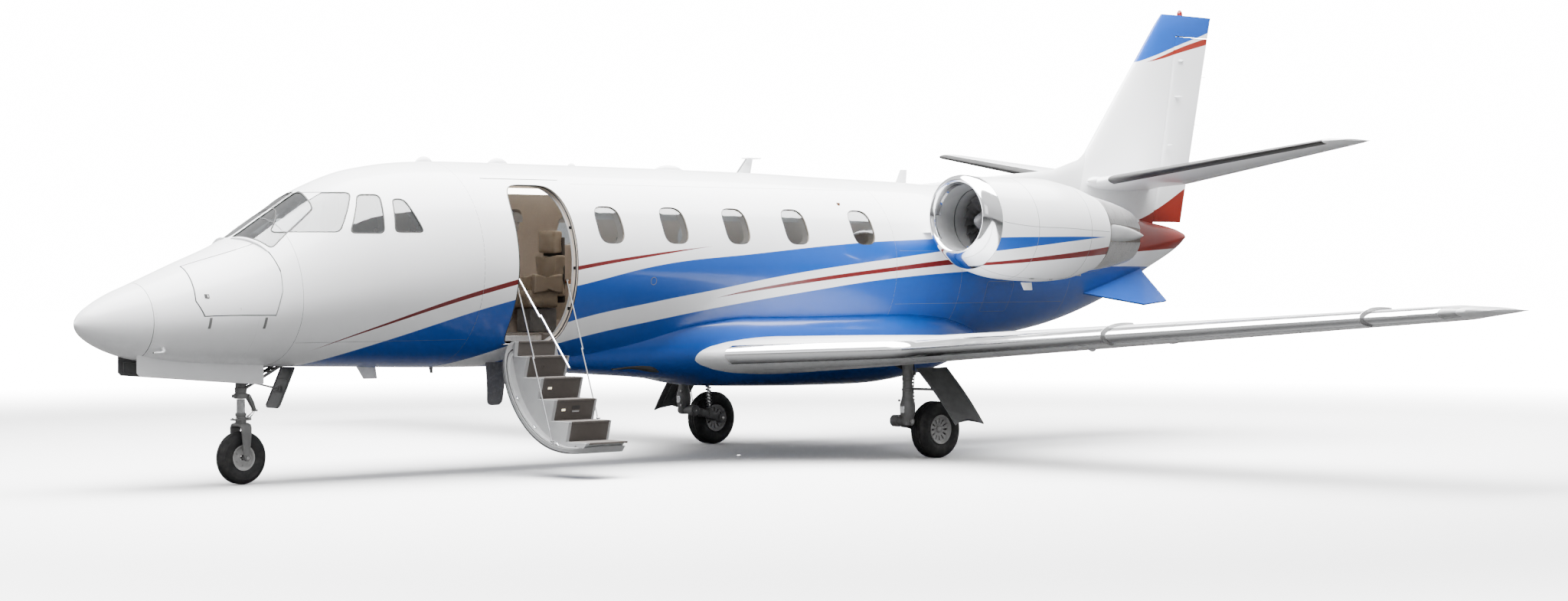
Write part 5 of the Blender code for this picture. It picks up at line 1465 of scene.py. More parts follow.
def build_cockpit():
    """The glareshield, the blank instrument panel, the pedestal and the two control wheels."""
    dark = paint("dark")
    slab("glareshield", (x_at(1.96), -0.52, 2.10), (x_at(2.30), 0.52, 2.16), 0.025, paint=dark)
    slab("instrument_panel", (x_at(2.16), -0.50, 1.72), (x_at(2.22), 0.50, 2.10), 0.012, paint=paint("grey"))
    for y in (-0.34, -0.12, 0.12, 0.34):
        slab("blank_screen", (x_at(2.218), y - 0.095, 1.86), (x_at(2.228), y + 0.095, 2.04), 0.006, paint=dark)
    slab("pedestal", (x_at(2.25), -0.11, 1.40), (x_at(2.62), 0.11, 1.80), 0.03, paint=paint("grey"))
    for y in (-0.37, 0.37):
        column = np.array([(x_at(2.24), y, 1.80), (x_at(2.40), y, 1.86)])
        tube("control_column", column, 0.016, 12, paint=dark)
        turn = np.linspace(math.radians(-40), math.radians(220), 24)
        wheel = np.stack((np.full(24, x_at(2.41)), y + 0.13 * np.cos(turn), 1.88 - 0.10 * np.sin(turn)), -1)
        tube("control_wheel", wheel, 0.014, 10, paint=dark)


# Wings

TRAILING_HALF, RISE_SHARE = 0.0015, 0.8
EDGE_STOPS = np.array((0.0, 0.001, 0.004, 0.010, 0.020, 0.035, 0.055, 0.080, 0.110))
FENCES, FENCE_TOP, FENCE_UNDER, FENCE_PROUD, FENCE_THICK = (4.75, 7.55), 0.45, 0.15, 0.036, 0.008


def section_half(chord, thick, share):
    """Half the thickness of a symmetric four-digit section at a share of its chord."""
    share = np.clip(share, 0.0, 1.0)
    root = 0.2969 * np.sqrt(share) - 0.1260 * share - 0.3516 * share**2
    root += 0.2843 * share**3 - 0.1036 * share**4
    return np.maximum(5 * thick * root * chord, TRAILING_HALF)


def wing_point(table, side, y, along, top):
    """A point on the wing's skin: the distance out, the distance behind the leading edge, and 1 for the top."""
    y, along = np.broadcast_arrays(np.asarray(y, float), np.asarray(along, float))
    front, rear, z, thick, rise = (straight(table, column, y) for column in (1, 2, 3, 4, 5))
    chord = rear - front
    lift = rise * np.maximum(0.0, 1 - along / chord / RISE_SHARE)
    height = section_half(chord, thick, along / chord) * top
    return np.stack((x_at(front + along), side * y, z + lift + height), -1)


def wing_grid(table, side, stops, chordwise=22):
    """Rings round the section at each distance out, with fixed stops behind the leading edge."""
    y = np.asarray(stops, float)[:, None]
    chord = straight(table, 2, y) - straight(table, 1, y)
    reach = np.minimum(EDGE_STOPS, 0.2 * chord * EDGE_STOPS / EDGE_STOPS[-1] + EDGE_STOPS * 0.0 + 1e-9 * chord)
    reach = np.where(chord > 0.55, EDGE_STOPS, reach)
    rest = reach[:, -1:] + (chord - reach[:, -1:]) * np.linspace(0, 1, chordwise)[1:]
    along = np.concatenate((reach, rest), 1)
    upper = wing_point(table, side, y, along, 1.0)
    lower = wing_point(table, side, y, along, -1.0)
    return np.concatenate((upper, lower[:, :0:-1]), 1)


def edge_distance(table, points):
    """How far points lie behind the leading edge, and their distance out."""
    out = np.abs(points[:, 1])
    return points[:, 0] + LENGTH / 2 - straight(table, 1, out), out


def zone(obj, test, finish):
    """Gives the faces whose centres pass a test another material."""
    mesh = obj.data
    centre = np.empty(len(mesh.polygons) * 3)
    mesh.polygons.foreach_get("center", centre)
    index = np.empty(len(mesh.polygons), np.int32)
    mesh.polygons.foreach_get("material_index", index)
    mesh.materials.append(finish)
    index[test(centre.reshape(-1, 3))] = len(mesh.materials) - 1
    mesh.polygons.foreach_set("material_index", index)
    mesh.update()
    return obj


def hinge_station(table, y, chord):
    return straight(table, 2, y) - chord


def control_grid(table, side, low, high, chord, steps=24):
    """A control surface: half a circle about the hinge line, then straight to the trailing edge."""
    y = np.linspace(low, high, steps)[:, None]
    front, rear, z, thick = (straight(table, column, y) for column in (1, 2, 3, 4))
    whole, depth = rear - front, chord(y)
    radius = section_half(whole, thick, 1 - depth / whole)
    turn = np.linspace(math.pi / 2, 3 * math.pi / 2, 13)[None, :]
    hinge = x_at(rear - depth)
    nose_x, nose_z = hinge + radius * np.cos(turn), z + radius * np.sin(turn)
    shares = np.linspace(0, 1, 9)[None, 1:]
    flat_x = hinge + depth * shares
    flat_z = radius + (2 * TRAILING_HALF - radius) * shares
    x = np.concatenate((flat_x[:, ::-1], nose_x, flat_x), 1)
    height = np.concatenate((z + flat_z[:, ::-1], nose_z, z - flat_z), 1)
    return np.stack((x, np.broadcast_to(side * y, x.shape), height), -1)


def slot_cutter(table, side, low, high, chord):
    """All behind a control surface's nose, with its running gap."""
    y = np.linspace(low, high, 12)
    front, rear, z, thick = (straight(table, column, y) for column in (1, 2, 3, 4))
    whole, depth = rear - front, chord(y)
    x0 = x_at(rear - depth - section_half(whole, thick, 1 - depth / whole) - CLEAR)
    x1 = x_at(rear + 0.2)
    rings = np.zeros((12, 4, 3))
    rings[..., 0] = np.stack((x0, x1, x1, x0), 1)
    rings[..., 1] = (side * y)[:, None]
    rings[..., 2] = z[:, None] + np.array((-SLOT_HALF, -SLOT_HALF, SLOT_HALF, SLOT_HALF))
    return skin("helper", rings, body=None)


def wing_strip(table, side, y, along, top, width, height, **how):
    """A low strip along a line on the wing's skin."""
    path = wing_point(table, side, y, along, top)
    small = 0.01
    chordwise = wing_point(table, side, y, np.asarray(along) + small, top) - wing_point(table, side, y, np.asarray(along) - small * 0.5, top)
    spanwise = wing_point(table, side, np.asarray(y) + small, along, top) - path
    normal = np.cross(chordwise, spanwise)
    normal /= np.linalg.norm(normal, axis=1, keepdims=True)
    normal *= np.sign(normal[:, 2:3]) * top
    return skin("seam", strip_points(path, normal, width, height), **how)


def build_wing(word, side):
    stops = np.concatenate((np.linspace(0.80, 2.30, 14), np.linspace(2.30, 8.30, 44)[1:], np.linspace(8.30, 8.50, 4)[1:],
                            np.linspace(8.50, 8.585, 4)[1:]))
    wing = skin("wing_skin_" + word, wing_grid(WING, side, stops), paint=paint("wing"), replaces=("wing_" + word,),
                slot="white_paint")
    surfaces = (("flap", FLAP, lambda y: np.full_like(y, FLAP["chord"])),
                ("aileron", AILERON, lambda y: np.full_like(y, AILERON["chord"])))
    for name, size, chord in surfaces:
        low, high = size["inner"], size["outer"]
        cut(wing, slot_cutter(WING, side, low - END_GAP, high + END_GAP, chord))
        surface = skin(f"{name}_skin_{word}", control_grid(WING, side, low, high, chord), paint=paint("wing"),
                       body=f"{name}_{word}", replaces=(f"{name}_{word}",), slot="white_paint", sharp=50)
        if name == "flap":
            zone(surface, lambda p: p[:, 0] > x_at(10.07), paint("brushed"))

    def polished(points):
        behind, out = edge_distance(WING, points)
        return (behind < 0.1101) & (out > 1.0) & (out < 8.28)

    zone(wing, polished, paint("chrome"))

    def lamp(points):
        behind, out = edge_distance(WING, points)
        return (behind < 0.1101) & (out >= 8.28) & (out < 8.45)

    zone(wing, lamp, paint("lamp"))
    seams = []
    for top in (1.0, -1.0):
        for share_y0, share_y1, along0, along1 in ((1.0, 8.28, 0.114, 0.114), (1.1, 8.2, 0.42, 0.30)):
            y = np.linspace(share_y0, share_y1, 50)
            along = np.linspace(along0, along1, 50)
            seams.append(wing_strip(WING, side, y, along, top, 0.004, 0.0006, paint=paint("seam")))
        for y0 in (2.30, 3.35, 4.40, 5.48, 6.80, 8.12):
            chord = float(straight(WING, 2, y0) - straight(WING, 1, y0))
            along = np.linspace(0.12, chord - 0.60, 20)
            seams.append(wing_strip(WING, side, np.full(20, y0), along, top, 0.0035, 0.0005, paint=paint("seam")))
    joined("wing_seams_" + word, seams)
    points, normals = [], []
    for along in (0.130, 0.155):
        y = np.arange(1.2, 8.2, 0.055)
        place = wing_point(WING, side, y, along, -1.0)
        points.append(place)
        normals.append(np.tile((0.0, 0.0, -1.0), (len(y), 1)))
    studs("wing_rivets_" + word, np.concatenate(points), np.concatenate(normals), 0.0045, 0.0009, paint=paint("seam"))
    for number, y in enumerate(FENCES, 1):
        build_fence(f"wing_fence_{number}_{word}", side, y)
    for y in (1.9, 3.3, 4.8):
        build_flap_guide(word, side, y)
    wicks = []
    for y in (5.9, 6.7, 7.5):
        start = np.array((x_at(10.13), side * y, float(straight(WING, 3, y))))
        wicks.append(tube("wick", np.array((start - (0.03, 0, 0), start + (0.09, side * 0.01, 0))), (0.0035, 0.0015), 6,
                          paint=paint("dark"), body="aileron_" + word))
    joined("aileron_wicks_" + word, wicks)
    stall_vane(word, side)


def stall_vane(word, side):
    """The small triangular strip on the leading edge outboard of the outer fence, and a drain bump under the wing."""
    y = np.array((7.80, 7.90, 8.00))
    path = wing_point(WING, side, y, 0.0, 1.0) - (0.006, 0, 0)
    tube("stall_strip_" + word, path, (0.003, 0.008, 0.003), 4, paint=paint("brushed"))
    bump = wing_point(WING, side, np.array((4.2,)), 0.55, -1.0)[0]
    turned("wing_drain_" + word, [(-0.05, 0.004), (-0.03, 0.016), (0.0, 0.022), (0.03, 0.016), (0.05, 0.004)],
           tuple(bump), around=16, paint=paint("wing"))


def build_fence(name, side, y):
    """A thin plate that wraps the leading edge: longer on top, proud of the section all round."""
    front, rear, z, thick = (float(straight(WING, column, y)) for column in (1, 2, 3, 4))
    chord = rear - front
    top = FENCE_TOP * (1 - np.cos(math.pi / 2 * np.arange(20) / 19))
    under = FENCE_UNDER * (1 - np.cos(math.pi / 2 * np.arange(12) / 11))
    along = np.concatenate((top[:0:-1], under))
    sign = np.concatenate((np.ones(19), -np.ones(12)))
    height = sign * section_half(chord, thick, along / chord)
    share = np.arange(len(along)) / (len(along) - 1)
    proud = FENCE_PROUD * np.sin(math.pi * (0.06 + 0.88 * share)) ** 0.5
    ahead = proud * np.maximum(0.0, 1 - along / FENCE_UNDER)
    outer = np.stack((x_at(front + along - ahead), z + height + sign * (proud - ahead / 2)), -1)
    inner = np.stack((x_at(front + along + 0.012), z + height * 0.9), -1)
    outline = np.concatenate((outer, inner[::-1]))
    plate = prism(outline, side * y, side * (y + FENCE_THICK), axis=1)
    plate.name = name
    plate.data.materials.append(paint("brushed"))
    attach(plate, "airframe")
    outwards(plate)
    round_edges(plate, 0.0015, 1)


def build_flap_guide(word, side, y):
    """A slim fairing under the wing at each of the flap's hinges."""
    stations = np.linspace(9.42, 9.64, 14)
    share = (stations - 9.42) / 0.22
    base = float(straight(WING, 3, y))
    chord = float(straight(WING, 2, y) - straight(WING, 1, y))
    along = stations - float(straight(WING, 1, y))
    under = section_half(chord, float(straight(WING, 4, y)), along / chord)
    depth = 0.022 * np.sin(math.pi * np.clip(share, 0.02, 0.98)) ** 0.6
    turn = np.linspace(0, 2 * math.pi, 14, endpoint=False)
    points = np.zeros((14, 14, 3))
    points[..., 0] = x_at(stations)[:, None]
    points[..., 1] = side * y + 0.02 * np.cos(turn)[None, :] * np.sin(math.pi * np.clip(share, 0.03, 0.97))[:, None] ** 0.5
    points[..., 2] = (base - under)[:, None] + depth[:, None] * np.sin(turn)[None, :]
    skin(f"flap_fairing_{word}", points, paint=paint("wing"))


def build_wings():
    for word, side in SIDES:
        build_wing(word, side)


# Engines

INLET_SHAPE = ((10.27, 0.345, 2.520), (10.26, 0.3455, 2.520), (10.08, 0.3455, 2.520), (9.94, 0.3450, 2.543), (9.82, 0.347, 2.560),
               (9.76, 0.356, 2.565), (9.72, 0.370, 2.568), (9.703, 0.386, 2.568), (9.70, 0.398, 2.568), (9.706, 0.412, 2.567),
               (9.72, 0.430, 2.564))
NOZZLE = ((11.735, 0.425, 2.400), (11.90, 0.402, 2.393), (12.10, 0.370, 2.385), (12.26, 0.337, 2.377), (12.39, 0.302, 2.370))
BORE = ((12.40, 0.292, 2.370), (12.38, 0.281, 2.371), (12.2, 0.300, 2.378), (11.96, 0.338, 2.390))


def ring_grid(rows, side, around=96, reach=(0.0, 2 * math.pi)):
    rows = np.array(rows)
    whole = reach[1] - reach[0] > 6.28
    turn = np.linspace(*reach, around, endpoint=not whole)
    points = np.zeros((len(rows), around, 3))
    points[..., 0] = x_at(rows[:, 0])[:, None]
    points[..., 1] = side * ENGINE_Y + rows[:, 1:2] * np.cos(turn)
    points[..., 2] = rows[:, 2:3] + rows[:, 1:2] * np.sin(turn)
    return points


def nacelle_rows():
    stations = np.concatenate(((9.74, 9.78, 9.84), np.linspace(9.90, 11.72, 40)))
    return [(s, float(smooth(NACELLE, 1, s)), float(smooth(NACELLE, 2, s))) for s in stations]


def build_nacelle(word, side):
    rows = [(10.275, 0.01, 2.520), (10.272, 0.2, 2.520), *INLET_SHAPE, *nacelle_rows(), (11.722, 0.40, 2.400), (11.724, 0.01, 2.400)]
    nacelle = skin("nacelle_skin_" + word, ring_grid(rows, side), paint=paint("nacelle"), replaces=("nacelle_" + word,),
                   slot="white_paint")

    def inside(points):
        radius = np.hypot(points[:, 1] - side * ENGINE_Y, points[:, 2] - 2.55)
        return (radius < 0.37) & (points[:, 0] < x_at(10.5))

    zone(nacelle, inside, paint("duct"))

    def lip(points):
        radius = np.hypot(points[:, 1] - side * ENGINE_Y, points[:, 2] - 2.55)
        return (points[:, 0] < x_at(9.90)) & (radius > 0.352)

    zone(nacelle, lip, paint("chrome"))
    zone(nacelle, lambda p: p[:, 0] > x_at(11.7205), paint("dark"))
    # The flat disc that closes the duct behind the fan is near black: painted shade for the depth of the engine behind
    # the fan.
    zone(nacelle, lambda p: (np.abs(p[:, 0] - x_at(10.2735)) < 0.0018), paint("dark"))
    tube("inlet_seal_" + word, ring_grid([(10.03, 0.3445, 2.528)], side, 72)[0], 0.006, 8, closed=True, paint=paint("seal"))
    seams = []
    for station in (9.90, 10.42, 11.30):
        radius, z = float(smooth(NACELLE, 1, station)), float(smooth(NACELLE, 2, station))
        seams.append(tube("seam", ring_grid([(station, radius - 0.0012, z)], side, 96)[0], 0.0028, 6, closed=True,
                          paint=paint("seam")))
    for turn, start, end in ((0.02, 9.92, 11.70), (-1.25, 9.92, 11.70), (math.pi - 0.02, 9.92, 11.70), (math.pi + 1.25, 9.92, 11.70)):
        stations = np.linspace(start, end, 40)
        radius, z = smooth(NACELLE, 1, stations) - 0.0010, smooth(NACELLE, 2, stations)
        path = np.stack((x_at(stations), side * ENGINE_Y + radius * math.cos(turn), z + radius * math.sin(turn)), -1)
        seams.append(tube("seam", path, 0.0026, 6, paint=paint("seam")))
    joined("nacelle_seams_" + word, seams)
    latches = []
    for station in (10.7, 11.0, 11.5):
        for turn in (-1.25, math.pi + 1.25):
            radius, z = float(smooth(NACELLE, 1, station)), float(smooth(NACELLE, 2, station))
            point = np.array((x_at(station), side * ENGINE_Y + radius * math.cos(turn), z + radius * math.sin(turn)))
            latches.append(slab("latch", point - (0.03, 0.012, 0.012), point + (0.03, 0.012, 0.012), 0.004, paint=paint("brushed")))
    joined("nacelle_latches_" + word, latches)
    turned("bleed_vent_" + word, [(-0.004, 0.03), (0.004, 0.03), (0.004, 0.018), (-0.004, 0.018)],
           (x_at(11.15), side * (ENGINE_Y + 0.515), 2.28), axis=1, around=24, closed=True, paint=paint("seam"))


def build_pylon(word, side):
    """The engine's stub: a symmetric section laid flat, from inside the hull to inside the nacelle."""
    rings = []
    shares = 0.5 - 0.5 * np.cos(np.linspace(0, math.pi, 18))
    for across, front, rear, half in ((0.60, 9.90, 12.25, 0.105), (0.90, 10.10, 12.0, 0.092), (1.22, 10.30, 11.65, 0.082)):
        chord = rear - front
        height = section_half(1.0, 1.0, shares) * 2 * half * 0.96
        x = x_at(front + shares * chord)
        upper = np.stack((x, np.full(18, side * across), 2.42 + height), -1)
        lower = np.stack((x, np.full(18, side * across), 2.42 - height), -1)
        rings.append(np.concatenate((upper, lower[-2:0:-1])))
    skin("pylon_skin_" + word, np.array(rings), paint=paint("white"))


def build_fan_looks(word, side):
    """Twenty twisted blades on a hub: each blade's chord turns with radius. The spinner is a smooth cone."""
    body = "fan_" + word
    centre = np.array((x_at(FAN_S), side * ENGINE_Y, FAN_Z))
    blades = []
    radii = np.linspace(0.11, FAN_R - 0.003, 9)
    for number in range(20):
        start = 2 * math.pi * number / 20
        grid = np.zeros((9, 10, 3))
        for row, radius in enumerate(radii):
            twist = math.radians(28 + 34 * (radius - 0.11) / (FAN_R - 0.11))
            chord = 0.036 + 0.028 * (radius - 0.11) / (FAN_R - 0.11)
            share = np.concatenate((np.linspace(-1, 1, 6), np.linspace(1, -1, 6)[1:-1]))
            thick = np.concatenate((np.full(6, 1.0), np.full(4, -1.0))) * 0.0022 * (1 - share**2 * 0.85)
            ahead = share * chord * math.cos(twist) - thick * math.sin(twist)
            across = share * chord * math.sin(twist) + thick * math.cos(twist)
            ahead = np.clip(ahead, -0.038, 0.038)
            angle = start + across / radius
            grid[row, :, 0] = centre[0] + ahead
            grid[row, :, 1] = centre[1] + radius * np.cos(angle)
            grid[row, :, 2] = centre[2] + radius * np.sin(angle)
        blades.append(skin("blade", grid, paint=paint("fan"), body=body))
    fan = joined("fan_blades_" + word, blades)
    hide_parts("fan_" + word)
    turned("fan_spinner_" + word, [(-0.20, 0.004), (-0.198, 0.014), (-0.185, 0.034), (-0.15, 0.066), (-0.10, 0.096), (-0.05, 0.116),
                                   (-0.03, 0.120), (0.038, 0.120)], tuple(centre), around=48, paint=paint("spinner"), body=body)


def build_reverser(word, side):
    """The nozzle: a bored cone, an upper and a lower bucket lying on it, and a pod on each side."""
    rows = [*NOZZLE, *BORE]
    points = ring_grid(rows, side, 72)
    skin("reverser_core_" + word, points, caps=False, rings=True, paint=paint("hot"), replaces=("reverser_" + word,), slot="bright_metal")
    for name, reach in (("upper", (math.radians(14), math.radians(166))), ("lower", (math.radians(194), math.radians(346)))):
        outer = [(s, r + 0.006, z) for s, r, z in ((11.745, 0.424, 2.400), *NOZZLE[1:])]
        inner = [(s, r - 0.004, z) for s, r, z in outer]
        grid = np.concatenate((ring_grid(outer, side, 48, reach), ring_grid(inner[::-1], side, 48, reach)))
        skin(f"reverser_{name}_bucket_{word}", grid.transpose(1, 0, 2), paint=paint("brushed"))
    for out in (-1, 1):
        stations = np.array((11.732, 11.80, 11.95, 12.10, 12.25, 12.36, 12.42))
        half = np.array((0.105, 0.105, 0.095, 0.080, 0.055, 0.030, 0.008))
        deep = np.array((0.42, 0.428, 0.416, 0.392, 0.36, 0.334, 0.318))
        low = np.array((0.30, 0.30, 0.29, 0.28, 0.27, 0.268, 0.268))
        z = np.array((2.400, 2.400, 2.392, 2.385, 2.378, 2.374, 2.372))
        turn = np.linspace(0, 2 * math.pi, 20, endpoint=False)
        grid = np.zeros((7, 20, 3))
        grid[..., 0] = x_at(stations)[:, None]
        y = (deep + low)[:, None] / 2 + (deep - low)[:, None] / 2 * np.sign(np.cos(turn)) * np.abs(np.cos(turn)) ** 0.6
        grid[..., 1] = side * ENGINE_Y + out * y
        grid[..., 2] = z[:, None] + half[:, None] * np.sign(np.sin(turn)) * np.abs(np.sin(turn)) ** 0.7
        skin(f"reverser_pod_{word}", grid, paint=paint("pale"))


def build_engines():
    for word, side in SIDES:
        build_nacelle(word, side)
        build_pylon(word, side)
        build_fan_looks(word, side)
        build_reverser(word, side)


# Tail

def fin_grid(low, high, steps=30, chordwise=22):
    z = np.linspace(low, high, steps)[:, None]
    front, rear, thick = (straight(FIN, column, z) for column in (1, 3, 4))
    chord = rear - front
    near = EDGE_STOPS * 0.6
    along = np.concatenate((np.broadcast_to(near, (steps, 9)), near[-1] + (chord - near[-1]) * np.linspace(0, 1, chordwise)[1:]), 1)
    height = section_half(chord, thick, along / chord)
    x = x_at(front + along)
    upper = np.stack((x, height, np.broadcast_to(z, x.shape)), -1)
    lower = np.stack((x, -height, np.broadcast_to(z, x.shape)), -1)
    return np.concatenate((upper, lower[:, :0:-1]), 1)


def build_fin():
    stops = fin_grid(FIN[0][0], 5.13)
    top = fin_grid(5.13, 5.15, 4)
    fin = skin("fin_skin", np.concatenate((stops, top[1:])), paint=paint("fin"), replaces=("fin", "beacon"), slot="white_paint")
    z = np.linspace(RUDDER_LOW - 0.2, RUDDER_HIGH + END_GAP, 10)
    front, hinge, rear, thick = (straight(FIN, column, z) for column in (1, 2, 3, 4))
    chord = rear - front
    x0 = x_at(hinge - section_half(chord, thick, (hinge - front) / chord) - CLEAR)
    x1 = x_at(rear + 0.2)
    rings = np.zeros((10, 4, 3))
    rings[..., 0] = np.stack((x0, x1, x1, x0), 1)
    rings[..., 1] = (-SLOT_HALF, -SLOT_HALF, SLOT_HALF, SLOT_HALF)
    rings[..., 2] = z[:, None]
    cut(fin, skin("helper", rings, body=None))
    build_dorsal()
    z = np.linspace(RUDDER_LOW, RUDDER_HIGH, 24)[:, None]
    front, hinge, rear, thick = (straight(FIN, column, z) for column in (1, 2, 3, 4))
    chord, depth = rear - front, rear - hinge
    radius = section_half(chord, thick, (hinge - front) / chord)
    turn = np.linspace(math.pi / 2, 3 * math.pi / 2, 13)[None, :]
    shares = np.linspace(0, 1, 9)[None, 1:]
    flat_x, flat_y = x_at(hinge) + depth * shares, radius + (2 * TRAILING_HALF - radius) * shares
    x = np.concatenate((flat_x[:, ::-1], x_at(hinge) + radius * np.cos(turn), flat_x), 1)
    y = np.concatenate((flat_y[:, ::-1], radius * np.sin(turn), -flat_y), 1)
    skin("rudder_skin", np.stack((x, y, np.broadcast_to(z, x.shape)), -1), paint=paint("fin"), body="rudder",
         replaces=("rudder",), slot="white_paint", sharp=50)
    for station, height in ((15.314, 4.132), (15.107, 3.527)):
        pod("rudder_hinge_cover", (x_at(station) - 0.05, 0.0, height), (0.10, 0.062, 0.02), "fin")
    dome = [(0.0, 0.034), (0.020, 0.034), (0.038, 0.031), (0.055, 0.023), (0.066, 0.012), (0.070, 0.003)]
    turned("beacon_lens", dome, (x_at(15.40), 0.0, 5.151), axis=2, around=24, paint=paint("beacon"), slot="beacon_dark")
    wicks = []
    for height in (3.2, 3.8, 4.4, 4.75):
        rear = float(straight(FIN, 3, height))
        start = np.array((x_at(rear) - 0.03, 0.0, height))
        end = start + ((0.11, 0.0, 0.0) if rear < 15.86 else (0.028, 0.0, 0.0))
        wicks.append(tube("wick", np.array((start, end)), (0.0035, 0.0015), 6, paint=paint("dark"), body="rudder"))
    joined("rudder_wicks", wicks)


def pod(name, centre, half, finish, body="airframe", around=16):
    """A small streamlined bump: the sine of the way along to the power 0.7 about the centre line."""
    share = np.linspace(0.0, 1.0, 14)
    size = np.sin(math.pi * np.clip(share, 0.012, 0.988)) ** 0.7
    turn = np.linspace(0, 2 * math.pi, around, endpoint=False)
    points = np.zeros((14, around, 3))
    points[..., 0] = centre[0] + half[0] * (2 * share[:, None] - 1)
    points[..., 1] = centre[1] + half[1] * size[:, None] * np.cos(turn)
    points[..., 2] = centre[2] + half[2] * size[:, None] * np.sin(turn)
    return skin(name, points, paint=paint(finish), body=body)


def build_dorsal():
    """The ridge ahead of the fin: a rounded wedge from the crown to the fin's leading edge."""
    stations = np.linspace(10.72, 13.72, 40)
    top = np.interp(stations, [s for s, _ in DORSAL[:5]], [z for _, z in DORSAL[:5]])
    base = smooth(HULL, 1, stations) - 0.06
    shares = np.linspace(0, 1, 12)
    width = 0.072 * (1 - shares**2.2) ** 0.5
    width[-1] = 0.0
    grid = np.zeros((40, 24, 3))
    narrow = 0.35 + 0.65 * np.clip((stations - 10.72) / 0.8, 0, 1)
    for row in range(40):
        height = base[row] + (top[row] - base[row]) * np.concatenate((shares, shares[::-1]))
        side = np.concatenate((width, -width[::-1])) * narrow[row]
        side[11], side[12] = 0.004, -0.004
        grid[row] = np.stack((np.full(24, x_at(stations[row])), side, height), -1)
    skin("dorsal_skin", grid, paint=paint("white"))


def build_tailplane(word, side):
    chord = lambda y: ELEVATOR["share"] * (straight(TAILPLANE, 2, y) - straight(TAILPLANE, 1, y))
    stops = np.concatenate((np.linspace(0.05, 3.05, 30), np.linspace(3.05, 3.20, 5)[1:]))
    half = skin("tailplane_skin_" + word, wing_grid(TAILPLANE, side, stops), paint=paint("white"),
                replaces=("tailplane_" + word,), slot="white_paint")
    low, high = ELEVATOR["inner"], ELEVATOR["outer"]
    cut(half, slot_cutter(TAILPLANE, side, 0.03, high + END_GAP, chord))

    def boot(points):
        behind, out = edge_distance(TAILPLANE, points)
        return (behind < 0.1101) & (out > 0.36) & (out < 3.04)

    zone(half, boot, paint("boot"))
    surface = skin("elevator_skin_" + word, control_grid(TAILPLANE, side, low, high, chord), paint=paint("white"),
                   body="elevator_" + word, replaces=("elevator_" + word,), slot="white_paint", sharp=50)
    points = control_grid(TAILPLANE, side, low, high, chord)
    tab = []
    for top in (0, 1):
        y = np.linspace(0.9, 2.2, 20)
        rear, depth, z = straight(TAILPLANE, 2, y), chord(y), straight(TAILPLANE, 3, y)
        share = 0.68
        radius = section_half(depth / ELEVATOR["share"], straight(TAILPLANE, 4, y), 1 - ELEVATOR["share"])
        lift = (radius + (2 * TRAILING_HALF - radius) * share) * (1 if top else -1)
        path = np.stack((x_at(rear - depth + depth * share), side * y, z + lift), -1)
        normal = np.tile((0.0, 0.0, 1.0 if top else -1.0), (20, 1))
        tab.append(skin("seam", strip_points(path, normal, 0.004, 0.0008), paint=paint("seam"), body="elevator_" + word))
    joined("elevator_tab_seam_" + word, tab)
    pod("tailplane_root_" + word, (x_at(13.66), side * 0.15, 3.055), (0.16, 0.075, 0.055), "white")
    return surface, points


def build_tail():
    build_fin()
    for word, side in SIDES:
        build_tailplane(word, side)


# Landing gear

MAIN_S, MAIN_Y, MAIN_R, MAIN_RIM = 9.19, 1.80, 0.300, 0.150
NOSE_S, NOSE_R, NOSE_RIM = 1.74, 0.250, 0.115
LEG_S, ARM_Y, TRUNNION_Z = 8.775, 1.635, 0.40
SHOCK_TOP, SHOCK_LOW = (8.985, 0.90), (9.02, 0.36)
LEG_DOOR = ((8.80, 1.90, 0.955), (9.26, 1.90, 0.955), (9.28, 2.42, 0.375), (8.86, 2.42, 0.375))
NOSE_DOOR_EDGE, NOSE_DOOR_Y, NOSE_DOOR_THICK = ((0.54, 1.045), (1.88, 0.935)), 0.16, 0.015
BRACE_DOOR = ((2.255, 1.12), (2.075, 0.71))


def rounded_ring(centre, first, second, points=20, power=0.45):
    """A superellipse about a centre with two half axes, given as vectors."""
    turn = np.linspace(0, 2 * math.pi, points, endpoint=False)
    c = np.sign(np.cos(turn)) * np.abs(np.cos(turn)) ** power
    s = np.sign(np.sin(turn)) * np.abs(np.sin(turn)) ** power
    return np.asarray(centre, float) + c[:, None] * np.asarray(first, float) + s[:, None] * np.asarray(second, float)


def bar(name, rows, points=20, power=0.45, **how):
    """A bar through rounded rectangles: each row has its centre and its two half axes."""
    return skin(name, np.array([rounded_ring(*row, points=points, power=power) for row in rows]), **how)


def tyre(name, centre, radius, width, rim, grooves, body, chine=0.0):
    """A tyre as a closed ring: round shoulders, bulged walls and grooves round the tread."""
    half = width / 2
    side = [(half * 0.78, rim + 0.004), (half * 0.84, rim + 0.016), (half * 0.95, rim + 0.030)]
    side += [(half, rim + (radius - rim) * 0.45), (half * 0.985, rim + (radius - rim) * 0.62)]
    if chine:
        side += [(half * 0.97, radius - 0.052), (half * 0.985 + chine, radius - 0.047), (half * 0.965 + chine, radius - 0.040)]
    side += [(half * 0.90, radius - 0.028), (half * 0.78, radius - 0.011), (half * 0.62, radius - 0.003)]
    tread = []
    for place in grooves:
        tread += [(place + 0.0045, radius - 0.001), (place + 0.003, radius - 0.007), (place - 0.003, radius - 0.007),
                  (place - 0.0045, radius - 0.001)]
    left = [(-along, r) for along, r in side[::-1]]
    inner = [(-half * 0.70, rim - 0.002), (half * 0.70, rim - 0.002)]
    profile = side + sorted(tread, key=lambda p: -p[0]) + left + inner
    return turned(name, profile, centre, axis=1, around=96, closed=True, paint=paint("tyre"), body=body, sharp=60)


def disc(name, centre, profile, body, finish="rim", around=72):
    return turned(name, profile, centre, axis=1, around=around, closed=True, paint=paint(finish), body=body)


